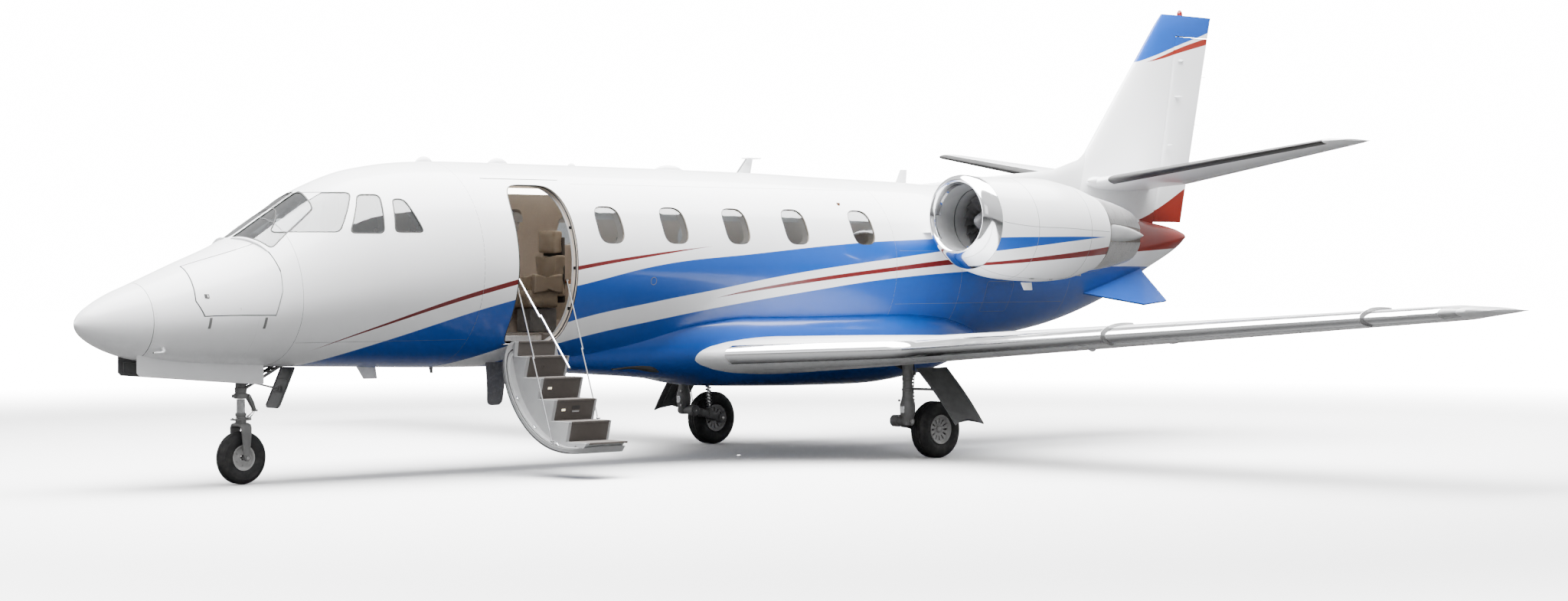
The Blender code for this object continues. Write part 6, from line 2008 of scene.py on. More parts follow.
def build_main_wheel(word, side):
    body = "main_wheel_" + word
    centre = (x_at(MAIN_S), side * MAIN_Y, MAIN_R)
    ring = tyre("main_tyre_" + word, centre, MAIN_R, 0.200, MAIN_RIM, (0.055, 0.018, -0.018, -0.055), body)
    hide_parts(body)
    for way in (-1, 1):
        rim = disc(f"main_rim_{word}", centre, [(way * 0.030, 0.032), (way * 0.046, 0.034), (way * 0.052, 0.060), (way * 0.058, 0.085),
                   (way * 0.064, 0.120), (way * 0.084, 0.136), (way * 0.090, 0.152), (way * 0.082, 0.156), (way * 0.070, 0.148),
                   (way * 0.050, 0.126), (way * 0.040, 0.085), (way * 0.034, 0.060)], body)
        slots = []
        for number in range(12):
            a = 2 * math.pi * number / 12
            outline = []
            for share, wide in ((0.066, 0.010), (0.072, 0.014), (0.100, 0.019), (0.114, 0.019), (0.119, 0.012)):
                outline.append((share, wide / 2))
            outline = outline + [(r, -w) for r, w in outline[::-1]]
            c, s = math.cos(a), math.sin(a)
            points = [(centre[0] + r * c - w * s, centre[2] + r * s + w * c) for r, w in outline]
            slots.append(prism(points, centre[1] - 0.11, centre[1] + 0.11, axis=1))
        cut(rim, *slots)
        bolts, normals = [], []
        for number in range(12):
            a = 2 * math.pi * (number + 0.5) / 12
            bolts.append((centre[0] + 0.054 * math.cos(a), centre[1] + way * 0.0505, centre[2] + 0.054 * math.sin(a)))
            normals.append((0.0, way, 0.0))
        studs(f"main_rim_bolts_{word}", np.array(bolts), np.array(normals), 0.0055, 0.005, paint=paint("brushed"), body=body)
    disc("main_brake_" + word, centre, [(-side * 0.030, 0.034), (-side * 0.030, 0.105), (side * 0.030, 0.105), (side * 0.030, 0.034)],
         body, "dark")
    cap = [(side * 0.030, 0.0315), (side * 0.054, 0.0315), (side * 0.066, 0.028), (side * 0.070, 0.016), (side * 0.071, 0.002)]
    turned("main_hub_cap_" + word, cap, centre, axis=1, around=32, paint=paint("rim"), body=body)


def build_main_leg(word, side):
    x, y = x_at(LEG_S), side * MAIN_Y
    profile = [(0.355, 0.030), (0.36, 0.050), (0.385, 0.060), (0.44, 0.066), (0.47, 0.078), (0.53, 0.082), (0.585, 0.080),
               (0.63, 0.066), (0.67, 0.0585), (0.72, 0.057), (0.725, 0.062), (0.745, 0.062), (0.75, 0.055), (0.83, 0.054),
               (0.835, 0.060), (0.86, 0.060), (0.865, 0.054), (0.95, 0.055), (1.00, 0.060), (1.08, 0.068), (1.10, 0.07)]
    leg = turned("main_leg_casting_" + word, [(z, r) for z, r in profile], (x, y, 0.0), axis=2, around=40, paint=paint("leg"),
                 replaces=("main_leg_" + word,), slot="gear_grey")
    parts = [leg]
    parts.append(tube("trunnion", np.array([(x, y + side * 0.060, TRUNNION_Z), (x, side * (ARM_Y - 0.052), TRUNNION_Z)]), 0.044, 32,
                      paint=paint("leg")))
    pin_x, pin_z = x_at(SHOCK_TOP[0]), SHOCK_TOP[1]
    parts.append(bar("shock_lug", [((x, y - side * 0.03, pin_z), (0, 0.02, 0), (0, 0, 0.045)),
                                   ((x + 0.10, y - side * 0.06, pin_z), (0, 0.018, 0), (0, 0, 0.030)),
                                   ((pin_x, y - side * 0.095, pin_z), (0, 0.016, 0), (0, 0, 0.024))], paint=paint("leg")))
    joined("main_leg_parts_" + word, parts)
    pins = [tube("pin", np.array([(pin_x, side * (MAIN_Y - 0.095), pin_z), (pin_x, side * (ARM_Y - 0.045), pin_z)]), 0.0155, 20,
                 paint=paint("brushed"))]
    for z in (0.46, 0.62):
        pins.append(tube("pin", np.array([(x - 0.070, y - side * 0.045, z), (x - 0.088, y - side * 0.045, z)]), 0.012, 12,
                         paint=paint("brushed")))
    pins.append(tube("pin", np.array([(x, y + side * 0.058, TRUNNION_Z), (x, y + side * 0.072, TRUNNION_Z)]), 0.026, 6,
                     paint=paint("brushed")))
    joined("main_leg_pins_" + word, pins)
    slab("leg_polished_face_" + word, (x - 0.0865, y - 0.030, 0.485), (x - 0.06, y + 0.030, 0.565), 0.006, paint=paint("chrome"))
    braces = []
    for dx, z in ((0.0, 0.98), (0.05, 0.93)):
        end = (x + dx - 0.10, side * 1.34, 1.085)
        braces.append(tube("brace", np.array([(x + dx, y - side * 0.045, z), end]), 0.014, 12, paint=paint("dark")))
    joined("main_leg_braces_" + word, braces)
    hose = np.array([(x + 0.062, y + side * 0.02, 1.05), (x + 0.070, y + side * 0.03, 0.90), (x + 0.066, y + side * 0.02, 0.74),
                     (x + 0.095, y - side * 0.02, 0.60), (x + 0.085, y - side * 0.07, 0.46), (x + 0.13, side * (ARM_Y + 0.044), 0.40),
                     (x + 0.30, side * (ARM_Y + 0.046), 0.345)])
    tube("brake_hose_" + word, eased(hose, 40), 0.006, 8, paint=paint("dark"))


def eased(points, count):
    """A smooth path through a few points, by cubic pieces with the slopes of their neighbours."""
    points = np.asarray(points, float)
    steps = np.linspace(0, len(points) - 1, count)
    index = np.minimum(steps.astype(int), len(points) - 2)
    t = (steps - index)[:, None]
    slopes = np.gradient(points, axis=0)
    a, b, da, db = points[index], points[index + 1], slopes[index], slopes[index + 1]
    return (2 * t**3 - 3 * t**2 + 1) * a + (t**3 - 2 * t**2 + t) * da + (3 * t**2 - 2 * t**3) * b + (t**3 - t**2) * db


def build_trailing_arm(word, side):
    y = side * ARM_Y
    eye = np.array((x_at(LEG_S), y, TRUNNION_Z))
    hub = np.array((x_at(MAIN_S), y, MAIN_R))
    parts = [turned("eye", [(-0.044, 0.052), (-0.040, 0.063), (0.040, 0.063), (0.044, 0.052)], tuple(eye), axis=1, around=36,
                    paint=paint("leg"), replaces=("trailing_arm_" + word,), slot="gear_grey")]
    rows = []
    for share, tall, wide in ((0.08, 0.050, 0.030), (0.22, 0.043, 0.028), (0.24, 0.048, 0.033), (0.30, 0.048, 0.033), (0.32, 0.042, 0.028),
                              (0.55, 0.040, 0.027), (0.57, 0.045, 0.032), (0.63, 0.045, 0.032), (0.65, 0.040, 0.027), (0.92, 0.046, 0.028)):
        place = eye + (hub - eye) * share
        rows.append((tuple(place), (0, wide, 0), (0.23 * tall, 0, tall)))
    parts.append(bar("beam", rows, paint=paint("leg")))
    parts.append(turned("hub", [(-0.040, 0.040), (-0.036, 0.056), (0.030, 0.058), (0.036, 0.050)], tuple(hub), axis=1, around=36,
                        paint=paint("leg")))
    parts.append(tube("axle", np.array([hub, (hub[0], side * (MAIN_Y + 0.045), hub[2])]), 0.0295, 24, paint=paint("leg")))
    joined("trailing_arm_looks_" + word, parts)
    bolts = [(eye[0], y - side * 0.044, eye[2]), (hub[0], y - side * 0.040, hub[2])]
    studs("arm_bolts_" + word, np.array(bolts), np.array([(0, -side, 0)] * 2, float), 0.024, 0.010, 6, paint=paint("brushed"))


def build_shock(word, side):
    """A coil spring about a bright rod between two eyes."""
    top = np.array((x_at(SHOCK_TOP[0]), side * ARM_Y, SHOCK_TOP[1]))
    low = np.array((x_at(SHOCK_LOW[0]), side * ARM_Y, SHOCK_LOW[1]))
    along = low - top
    share = np.linspace(0.09, 0.86, 420)
    turn = share * 2 * math.pi * 15
    across = np.array((1.0, 0.0, 0.0))
    path = top + share[:, None] * along + 0.0285 * (np.cos(turn)[:, None] * across + np.sin(turn)[:, None] * np.array((0.0, 1.0, 0.0)))
    spring = tube("shock_spring_" + word, path, 0.0065, 8, paint=paint("spring"), replaces=("shock_" + word,), slot="gear_grey")
    parts = [tube("rod", np.array((top + along * 0.02, top + along * 0.97)), 0.0165, 24, paint=paint("chrome"))]
    joined("shock_rod_" + word, parts)
    ends = []
    for place, reach in ((0.0, 0.05), (1.0, -0.07)):
        centre = top + along * place
        ends.append(turned("eye", [(-0.034, 0.022), (-0.034, 0.031), (0.034, 0.031), (0.034, 0.022)], tuple(centre), axis=1, around=24,
                           paint=paint("leg")))
        ends.append(tube("cup", np.array((centre + along * reach * 0.4, centre + along * (reach * 1.8))), 0.0345, 24, paint=paint("leg")))
    joined("shock_ends_" + word, ends)
    return spring


def build_leg_door(word, side):
    """The door beside the leg: a curved plate whose lower edge is hollowed, with stiffeners on its inner face."""
    a, b, c, d = (np.array((x_at(s), side * y, z)) for s, y, z in LEG_DOOR)
    down = np.linspace(0, 1, 16)[:, None, None]
    over = np.linspace(0, 1, 12)[None, :, None]
    hollow = 0.085 * np.sin(math.pi * over) * down**3
    reach = down - hollow
    face = (a + (b - a) * over) * (1 - reach) + (d + (c - d) * over) * reach
    normal = np.cross(b - a, d - a)
    normal /= np.linalg.norm(normal)
    normal *= np.sign(normal[1]) * side
    bulge = 0.018 * np.sin(math.pi * down) * np.ones_like(over)
    outer = face + normal * (0.010 + bulge)
    inner = face + normal * (bulge - 0.004)
    grid = np.concatenate((outer, inner[:, ::-1]), 1)
    skin("leg_door_skin_" + word, grid, paint=paint("door"), replaces=("leg_door_" + word,), slot="gear_grey")
    ribs = []
    for share in (0.2, 0.5, 0.8):
        line = inner[:-2, int(share * 11)] - normal * 0.006
        ribs.append(tube("rib", line, 0.008, 8, paint=paint("door")))
    z = 0.74
    reach = (0.955 - z) / (0.955 - 0.375)
    y = 1.90 + (2.42 - 1.90) * reach
    ribs.append(tube("bracket", np.array([(x_at(LEG_S) + 0.03, side * MAIN_Y, z), (x_at(LEG_S) + 0.10, side * (y + 0.006), z)]), 0.014, 12,
                     paint=paint("leg")))
    joined("leg_door_ribs_" + word, ribs)


def build_main_gear():
    for word, side in SIDES:
        build_main_wheel(word, side)
        build_main_leg(word, side)
        build_trailing_arm(word, side)
        build_shock(word, side)
        build_leg_door(word, side)


def build_nose_wheel():
    centre = (x_at(NOSE_S), 0.0, NOSE_R)
    ring = tyre("nose_tyre", centre, NOSE_R, 0.126, NOSE_RIM, (0.0,), "nose_wheel", chine=0.0005)
    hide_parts("nose_wheel")
    for way in (-1, 1):
        rim = disc("nose_rim", centre, [(way * 0.018, 0.024), (way * 0.030, 0.026), (way * 0.032, 0.040), (way * 0.026, 0.050),
                   (way * 0.024, 0.090), (way * 0.034, 0.100), (way * 0.050, 0.106), (way * 0.055, 0.118), (way * 0.050, 0.121),
                   (way * 0.030, 0.112), (way * 0.016, 0.095), (way * 0.014, 0.045)], "nose_wheel")
        holes = []
        for number in range(6):
            a = 2 * math.pi * (number + 0.5) / 6
            place = (centre[0] + 0.072 * math.cos(a), centre[2] + 0.072 * math.sin(a))
            holes.append(prism(superellipse(place, (0.012, 0.012), 1.0, 16), -0.09, 0.09, axis=1))
        cut(rim, *holes)
    parts = [turned("hub", [(-0.030, 0.026), (-0.030, 0.034), (0.030, 0.034), (0.030, 0.026)], centre, axis=1, around=32, closed=True,
                    paint=paint("dark"), body="nose_wheel")]
    joined("nose_hub", parts)


def build_fork():
    body, x = "nose_steering", x_at(NOSE_S)
    rings = [(0.66, 0.039), (0.798, 0.039)]
    turned("nose_piston", rings, (x, 0.0, 0.0), axis=2, around=40, paint=paint("chrome"), body=body, replaces=("nose_fork",),
           slot="gear_grey")
    parts = [turned("neck", [(0.575, 0.050), (0.600, 0.052), (0.606, 0.046), (0.64, 0.046), (0.645, 0.052), (0.665, 0.052), (0.67, 0.042)],
                    (x, 0.0, 0.0), axis=2, around=36, paint=paint("leg"), body=body)]
    parts.append(slab("flange", (x - 0.085, -0.055, 0.600), (x + 0.085, 0.055, 0.614), 0.005, paint=paint("leg"), body=body))
    for way in (-1, 1):
        rows = []
        for y, z, wide, thick, lean in ((0.0, 0.560, 0.062, 0.020, 0.0), (0.040, 0.560, 0.062, 0.020, 0.0), (0.075, 0.553, 0.060, 0.018, 0.35),
                                        (0.0955, 0.528, 0.057, 0.014, 1.0), (0.0985, 0.470, 0.052, 0.0115, 1.4), (0.0985, 0.380, 0.044, 0.0115, 1.57),
                                        (0.0985, 0.290, 0.034, 0.0115, 1.57), (0.0985, 0.245, 0.029, 0.0115, 1.57), (0.0985, 0.222, 0.016, 0.010, 1.57)):
            normal = np.array((0.0, way * math.sin(lean), math.cos(lean))) * thick
            rows.append(((x, way * y, z), (wide, 0, 0), tuple(normal)))
        parts.append(bar("arm", rows, points=24, power=0.5, paint=paint("leg"), body=body))
        parts.append(tube("boss", np.array([(x, way * 0.084, NOSE_R), (x, way * 0.122, NOSE_R)]), 0.027, 28, paint=paint("leg"), body=body))
    joined("nose_fork_looks", parts)
    pins = [tube("axle", np.array([(x, -0.126, NOSE_R), (x, 0.126, NOSE_R)]), 0.015, 6, paint=paint("brushed"), body=body)]
    for dx in (-0.068, 0.068):
        for y in (-0.035, 0.035):
            pins.append(tube("bolt", np.array([(x + dx, y, 0.612), (x + dx, y, 0.624)]), 0.008, 6, paint=paint("brushed"), body=body))
    joined("nose_fork_pins", pins)
    links = []
    for way in (-1, 1):
        links.append(bar("upper", [((x + 0.075, way * 0.030, 0.828), (0.016, 0, 0.004), (0, 0.006, 0)),
                                   ((x + 0.115, way * 0.022, 0.762), (0.014, 0, 0.008), (0, 0.006, 0)),
                                   ((x + 0.150, way * 0.012, 0.690), (0.012, 0, 0.006), (0, 0.006, 0))], paint=paint("leg"), body=body))
        links.append(bar("lower", [((x + 0.150, way * 0.012, 0.690), (0.006, 0, 0.012), (0, 0.006, 0)),
                                   ((x + 0.115, way * 0.022, 0.650), (0.010, 0, 0.012), (0, 0.006, 0)),
                                   ((x + 0.078, way * 0.030, 0.622), (0.008, 0, 0.014), (0, 0.006, 0))], paint=paint("leg"), body=body))
    joined("torque_links", links)
    pins = [tube("pin", np.array([(x + dx, -0.042, z), (x + dx, 0.042, z)]), 0.010, 14, paint=paint("brushed"), body=body)
            for dx, z in ((0.075, 0.830), (0.150, 0.690), (0.078, 0.622))]
    joined("torque_link_pins", pins)
    collar = [turned("collar", [(0.802, 0.052), (0.806, 0.066), (0.850, 0.066), (0.854, 0.052)], (x, 0.0, 0.0), axis=2, around=36,
                     paint=paint("leg"))]
    collar.append(slab("lug", (x + 0.045, -0.024, 0.812), (x + 0.088, 0.024, 0.846), 0.005, paint=paint("leg")))
    collar.append(slab("lug", (x - 0.090, -0.020, 0.815), (x - 0.045, 0.020, 0.845), 0.005, paint=paint("leg")))
    joined("nose_leg_collar", collar)


def build_nose_leg():
    x = x_at(NOSE_S)
    profile = [(0.802, 0.046), (0.86, 0.055), (0.905, 0.058), (0.91, 0.050), (1.05, 0.052), (1.18, 0.056)]
    parts = [turned("barrel", profile, (x, 0.0, 0.0), axis=2, around=36, paint=paint("leg"), replaces=("nose_leg",), slot="gear_grey")]
    for y in (-0.045, 0.045):
        parts.append(tube("brace", np.array([(x + 0.02, y, 0.90), (x + 0.52, y * 1.6, 1.17)]), 0.015, 14, paint=paint("leg")))
    parts.append(tube("cross", np.array([(x + 0.30, -0.075, 1.052), (x + 0.30, 0.075, 1.052)]), 0.012, 12, paint=paint("leg")))
    joined("nose_leg_looks", parts)
    (s0, z0), (s1, z1) = BRACE_DOOR
    top, low = np.array((x_at(s0), 0.0, z0 - 0.03)), np.array((x_at(s1), 0.0, z1))
    along = low - top
    normal = np.array((along[2], 0.0, -along[0]))
    normal /= np.linalg.norm(normal)
    normal *= np.sign(normal[0])
    rows = []
    for share, wide in ((0.0, 0.112), (0.02, 0.118), (0.5, 0.119), (0.92, 0.118), (0.975, 0.108), (1.0, 0.090)):
        rows.append((tuple(top + along * share + normal * 0.010), (0.0, wide, 0.0), tuple(normal * 0.009)))
    bar("brace_door_plate", rows, points=28, power=0.25, paint=paint("door"))
    frame = []
    for y in (-0.105, 0.105):
        frame.append(tube("edge", np.array([top + along * 0.04 + (0, y, 0) - normal * 0.001, top + along * 0.95 + (0, y, 0) - normal * 0.001]),
                          0.005, 8, paint=paint("door")))
    for share in (0.30, 0.62):
        frame.append(tube("rib", np.array([top + along * share + (0, -0.10, 0), top + along * share + (0, 0.10, 0)]), 0.004, 8, paint=paint("door")))
    joined("brace_door_ribs", frame)
    rod = np.array([(x + 0.12, 0.0, 0.952), tuple(top + along * 0.55 - normal * 0.012)])
    tube("brace_door_rod", rod, 0.009, 12, paint=paint("brushed"))
    clamp = [turned("clamp", [(-0.02, 0.010), (-0.02, 0.022), (0.02, 0.022), (0.02, 0.010)], tuple(rod[1]), axis=1, around=20, closed=True,
                    paint=paint("leg"))]
    clamp.append(slab("foot", rod[1] + (0.0, -0.03, -0.045), rod[1] + (0.018, 0.03, 0.03), 0.005, paint=paint("leg")))
    joined("brace_door_clamp", clamp)
    small = []
    for y, z, reach in ((-0.09, 1.075, 0.16), (0.02, 1.06, 0.20), (0.10, 1.08, 0.14)):
        small.append(tube("linkage", np.array([(x + 0.26, y, z), (x + 0.26 + reach, y * 0.5, z + 0.03)]), 0.009, 10, paint=paint("dark")))
    joined("nose_bay_linkages", small)


def build_nose_doors():
    (s0, z0), (s1, z1) = NOSE_DOOR_EDGE
    for word, side in SIDES:
        corners = [(s0 + 0.03, z0 - 0.002), (s1 - 0.015, z1), (s1, z1 + 0.015), (s1, 1.40), (s0, 1.40), (s0, z0 + 0.028)]
        inner, outer = sorted((side * NOSE_DOOR_Y, side * (NOSE_DOOR_Y + NOSE_DOOR_THICK)))
        door = prism(as_x(corners), inner, outer, axis=1)
        door.name = "nose_gear_door_skin_" + word
        door.data.materials.append(paint("hull"))
        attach(door, "airframe")
        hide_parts("nose_gear_door_" + word)
        outwards(door)
        cut(door, hull_solid("helper", 0.18, COCKPIT_END, -0.0003, body=None))
        zone(door, lambda p, k=side: p[:, 1] * k < NOSE_DOOR_Y + 0.006, paint("door"))
        frame = []
        y = side * (NOSE_DOOR_Y - 0.004)
        lower = np.array([(x_at(s0 + 0.05), y, z0 + 0.022), (x_at(s1 - 0.03), y, z1 + 0.025)])
        upper = lower + (0, 0, 0.10)
        for line in (lower, upper):
            frame.append(tube("rail", line, 0.006, 8, paint=paint("door")))
        for share in np.linspace(0, 1, 8):
            low = lower[0] + (lower[1] - lower[0]) * share
            frame.append(tube("rib", np.array([low, low + (0, 0, 0.10)]), 0.006, 8, paint=paint("door")))
        joined("nose_door_frame_" + word, frame)


def build_nose_gear():
    build_nose_wheel()
    build_fork()
    build_nose_leg()
    build_nose_doors()


# Small fittings

CROWN_PODS = ((3.85, 0.10, 0.055), (4.755, 0.125, 0.055), (5.705, 0.035, 0.030), (7.015, 0.195, 0.050))
BELLY_DUCT = ((5.86, -0.455, 0.985), (6.08, -0.53, 1.010), (6.27, -0.57, 0.985), (6.40, -0.555, 0.952))


def blade(name, low, high, thick, finish="white", body="airframe"):
    """A thin aerial: a lens section lofted between two chords, each given as front and rear (station, z) with one y."""
    stops = np.concatenate((np.linspace(0, 1, 10), np.linspace(1, 0, 10)[1:-1]))
    way = np.concatenate((np.ones(10), -np.ones(8)))
    rows = []
    for share, slim in ((0.0, 1.0), (0.5, 0.9), (0.93, 0.75), (0.985, 0.55), (1.0, 0.2)):
        front = np.asarray(low[0]) * (1 - share) + np.asarray(high[0]) * share
        rear = np.asarray(low[1]) * (1 - share) + np.asarray(high[1]) * share
        pull = 0.5 * (1 - slim) * 0.12
        along = np.clip(stops, pull, 1 - pull)
        width = thick * slim * np.sqrt(np.clip(1 - (2 * stops - 1) ** 2, 0.0, 1)) * way
        width = np.where(np.abs(width) < thick * 0.03, 0.0, width)
        point = front[None] * (1 - along[:, None]) + rear[None] * along[:, None]
        rows.append(np.stack((x_at(point[:, 0]), point[:, 1] + width, point[:, 2]), -1))
    return skin(name, np.array(rows), paint=paint(finish), body=body)


def build_aerials():
    for number, (station, half, height) in enumerate(CROWN_PODS, 1):
        z = float(smooth(HULL, 1, station))
        pod(f"crown_pod_{number}", (x_at(station), 0.0, z - 0.004), (half, 0.05, height), "white", around=24)
    blade("crown_blade_1", ((7.94, 0.0, 2.99), (8.17, 0.0, 2.985)), ((8.12, 0.0, 3.20), (8.22, 0.0, 3.20)), 0.014)
    slab("crown_blade_1_top", (x_at(8.10), -0.055, 3.197), (x_at(8.29), 0.055, 3.208), 0.004, paint=paint("white"))
    line = np.array([(x_at(7.945), 0.0, 3.00), (x_at(8.118), 0.0, 3.195)])
    tube("crown_blade_1_edge", line, 0.008, 10, paint=paint("grey"))
    blade("crown_blade_2", ((10.37, 0.0, 2.93), (10.56, 0.0, 2.925)), ((10.47, 0.0, 3.13), (10.58, 0.0, 3.13)), 0.013)
    for number, (station, z, half) in enumerate(((8.06, 2.985, 0.14), (10.47, 2.945, 0.12)), 1):
        pod(f"crown_blade_foot_{number}", (x_at(station), 0.0, z), (half, 0.045, 0.018), "white", around=20)
    blade("belly_blade", ((3.02, 0.0, 1.10), (3.26, 0.0, 1.10)), ((3.12, 0.0, 0.95), (3.29, 0.0, 0.95)), 0.012)
    pod("belly_blade_foot", (x_at(3.14), 0.0, 1.082), (0.16, 0.045, 0.018), "white", around=20)
    blade("belly_drain", ((3.89, 0.0, 1.09), (3.95, 0.0, 1.09)), ((3.915, 0.0, 0.985), (3.95, 0.0, 0.985)), 0.006, "grey")


def build_belly_duct():
    """A dark faired outlet on the belly's side: an eye-shaped bump along a short path."""
    rows = []
    path = eased([(x_at(s), y, z) for s, y, z in BELLY_DUCT], 26)
    share = np.linspace(0, 1, 26)
    tall = 0.048 * np.sin(math.pi * np.clip(share**1.25, 0.02, 0.985)) ** 0.75
    out = np.array((0.0, -0.62, -0.78))
    up = np.array((0.0, -0.78, 0.62))
    for place, size in zip(path, tall):
        rows.append((tuple(place - out * 0.012), tuple(up * size), tuple(out * (0.022 + size * 0.35))))
    for word, side in SIDES:
        ring = np.array([rounded_ring(*row, points=24, power=1.0) for row in rows])
        ring[..., 1] *= -side
        skin("belly_outlet_" + word, ring, paint=paint("boot"))


def hull_stud(name, station, z, side, radius, height, finish, body="airframe", around=20):
    angle = hull_angle(np.array([station]), np.array([z]), side)
    place = hull_point(np.array([station]), angle)
    return studs(name, place, hull_normal(np.array([station]), angle), radius, height, around, paint=paint(finish), body=body)


def build_nose_fittings():
    for word, side in SIDES:
        body = "baggage_door_" + word
        latch = [(1.045, 1.752), (1.085, 1.750), (1.087, 1.786), (1.047, 1.788)]
        panel_on_hull("bay_door_latch_" + word, latch, side, 0.0035, 0.005, paint=paint("seal"), body=body)
        pull = [(1.066, 1.757), (1.079, 1.757), (1.080, 1.779), (1.067, 1.780)]
        panel_on_hull("bay_door_latch_pull_" + word, pull, side, 0.0055, 0.004, paint=paint("brushed"), body=body)
        hull_stud("bay_door_lock_" + word, 1.348, 1.649, side, 0.009, 0.003, "seal", body)
        for number, (top, low) in enumerate((((1.083, 1.575), (1.072, 1.475)), ((1.592, 1.572), (1.583, 1.470))), 1):
            mark = [(top[0] - 0.011, top[1]), (top[0] + 0.011, top[1]), (low[0] + 0.011, low[1]), (low[0] - 0.011, low[1])]
            panel_on_hull(f"bay_door_hinge_{number}_{word}", mark, side, 0.004, 0.006, paint=paint("leg"))
        root = np.array((x_at(0.715), side * 0.312, 1.310))
        out = np.array((0.0, side * 0.70, -0.714))
        path = eased([root - out * 0.02, root + out * 0.035, root + out * 0.062 + (-0.018, 0, 0), root + out * 0.066 + (-0.055, 0, 0),
                      root + out * 0.066 + (-0.115, 0, 0)], 30)
        radius = np.interp(np.linspace(0, 1, 30), (0, 0.35, 0.6, 1), (0.021, 0.015, 0.011, 0.0085))
        tube("pitot_probe_" + word, path, radius, 16, paint=paint("white"))
        tube("pitot_tip_" + word, np.array([path[-1] + (0.001, 0, 0), path[-1] + (-0.006, 0, 0)]), 0.0055, 14, paint=paint("dark"))
        vent = superellipse((5.985, 1.886), (0.075, 0.075), 1.0, 28)
        hull_strip("side_vent_rim_" + word, vent, side, 0.006, 0.002, paint=paint("seam"))


def build_belly_flap():
    """A grey flap with round corners that hangs below the hull beside the stair."""
    outline = rounded_polygon([(4.36, 1.12), (4.62, 1.12), (4.60, 0.66), (4.42, 0.66)], 0.06)
    outline = as_x(dense(outline, 0.02))
    middle = outline.mean(0)
    rows = []
    for share, lift in ((0.03, 0.0), (0.5, 0.0), (0.9, 0.0), (1.0, 0.004), (1.0, 0.014), (0.9, 0.018), (0.5, 0.018), (0.03, 0.018)):
        ring = middle + (outline - middle) * share
        bow = -0.05 * ((1.12 - ring[:, 1]) / 0.46) ** 2
        rows.append(np.stack((ring[:, 0], -0.30 - lift - bow, ring[:, 1]), -1))
    skin("belly_flap", np.array(rows), paint=paint("chute"))
    tube("belly_flap_hinge", np.array([(x_at(4.38), -0.303, 1.085), (x_at(4.60), -0.303, 1.085)]), 0.011, 12, paint=paint("leg"))


def build_engine_fittings():
    for word, side in SIDES:
        y = side * 1.62
        blade("nacelle_drain_" + word, ((10.72, y, 1.85), (10.90, y, 1.85)), ((10.77, y, 1.765), (10.915, y, 1.765)), 0.016)
        at = np.array([(x_at(10.694), side * 2.148, 2.250)])
        out = np.array([(0.0, side * 0.944, -0.33)])
        studs("nacelle_vent_" + word, at, out, 0.040, 0.006, 28, paint=paint("white"))
        turn = np.linspace(0, 2 * math.pi, 40, endpoint=False)
        ring = at + 0.042 * (np.cos(turn)[:, None] * np.array((1.0, 0, 0)) + np.sin(turn)[:, None] * np.array((0, side * 0.33, 0.944)))
        tube("nacelle_vent_rim_" + word, ring, 0.0025, 6, closed=True, paint=paint("seam"))
        blade("side_scoop_" + word, ((9.90, side * 0.84, 2.40), (10.28, side * 0.84, 2.41)),
              ((10.02, side * 1.02, 2.405), (10.26, side * 1.02, 2.41)), 0.001)


def build_lights():
    for word, side in SIDES:
        pod("wing_light_" + word, (x_at(9.15), side * 8.30, 1.600), (0.085, 0.05, 0.022), "lamp", around=20)
        points = np.array([(x_at(15.36), side * 0.055, 4.582), (x_at(15.314), side * 0.075, 4.132), (x_at(15.107), side * 0.095, 3.527)])
        for number, place in enumerate(points, 1):
            carrier = "rudder" if number == 3 else "airframe"
            pod(f"rudder_hinge_{number}_{word}", tuple(place), (0.055, 0.020, 0.014), "white", carrier, 14)


def build_fittings():
    build_aerials()
    build_belly_duct()
    build_nose_fittings()
    build_belly_flap()
    build_engine_fittings()
    build_lights()


# Stage

BACKDROP = 20.0
FLOOR_SEEN, FLOOR_BOUNCE = 0.93, 0.08
CAMERA_PLACE = (-21.3557, -23.8162, 1.9938)
CAMERA_YAW, CAMERA_PITCH, CAMERA_ROLL = math.radians(42.5104), math.radians(-0.544), math.radians(-0.1491)
IMAGE_SIZE, FOCAL, CENTRE = (2048, 785), 3872.9031, (1006.6884, 389.5453)


def build_camera():
    data = bpy.data.cameras.new("camera")
    camera = bpy.data.objects.new("camera", data)
    bpy.context.scene.collection.objects.link(camera)
    data.sensor_width = 36.0
    data.lens = FOCAL * data.sensor_width / IMAGE_SIZE[0]
    data.shift_x = (IMAGE_SIZE[0] / 2 - CENTRE[0]) / IMAGE_SIZE[0]
    data.shift_y = (CENTRE[1] - IMAGE_SIZE[1] / 2) / IMAGE_SIZE[0]
    data.clip_end = 200.0
    yaw, pitch, roll = CAMERA_YAW, CAMERA_PITCH, CAMERA_ROLL
    ahead = Vector((math.sin(yaw) * math.cos(pitch), math.cos(yaw) * math.cos(pitch), math.sin(pitch)))
    right = Vector((math.cos(yaw), -math.sin(yaw), 0.0))
    up = right.cross(ahead)
    turned_right = right * math.cos(roll) + up * math.sin(roll)
    turned_up = up * math.cos(roll) - right * math.sin(roll)
    camera.matrix_world = Matrix(
        (
            (turned_right.x, turned_up.x, -ahead.x, CAMERA_PLACE[0]),
            (turned_right.y, turned_up.y, -ahead.y, CAMERA_PLACE[1]),
            (turned_right.z, turned_up.z, -ahead.z, CAMERA_PLACE[2]),
            (0.0, 0.0, 0.0, 1.0),
        )
    )
    bpy.context.scene.camera = camera


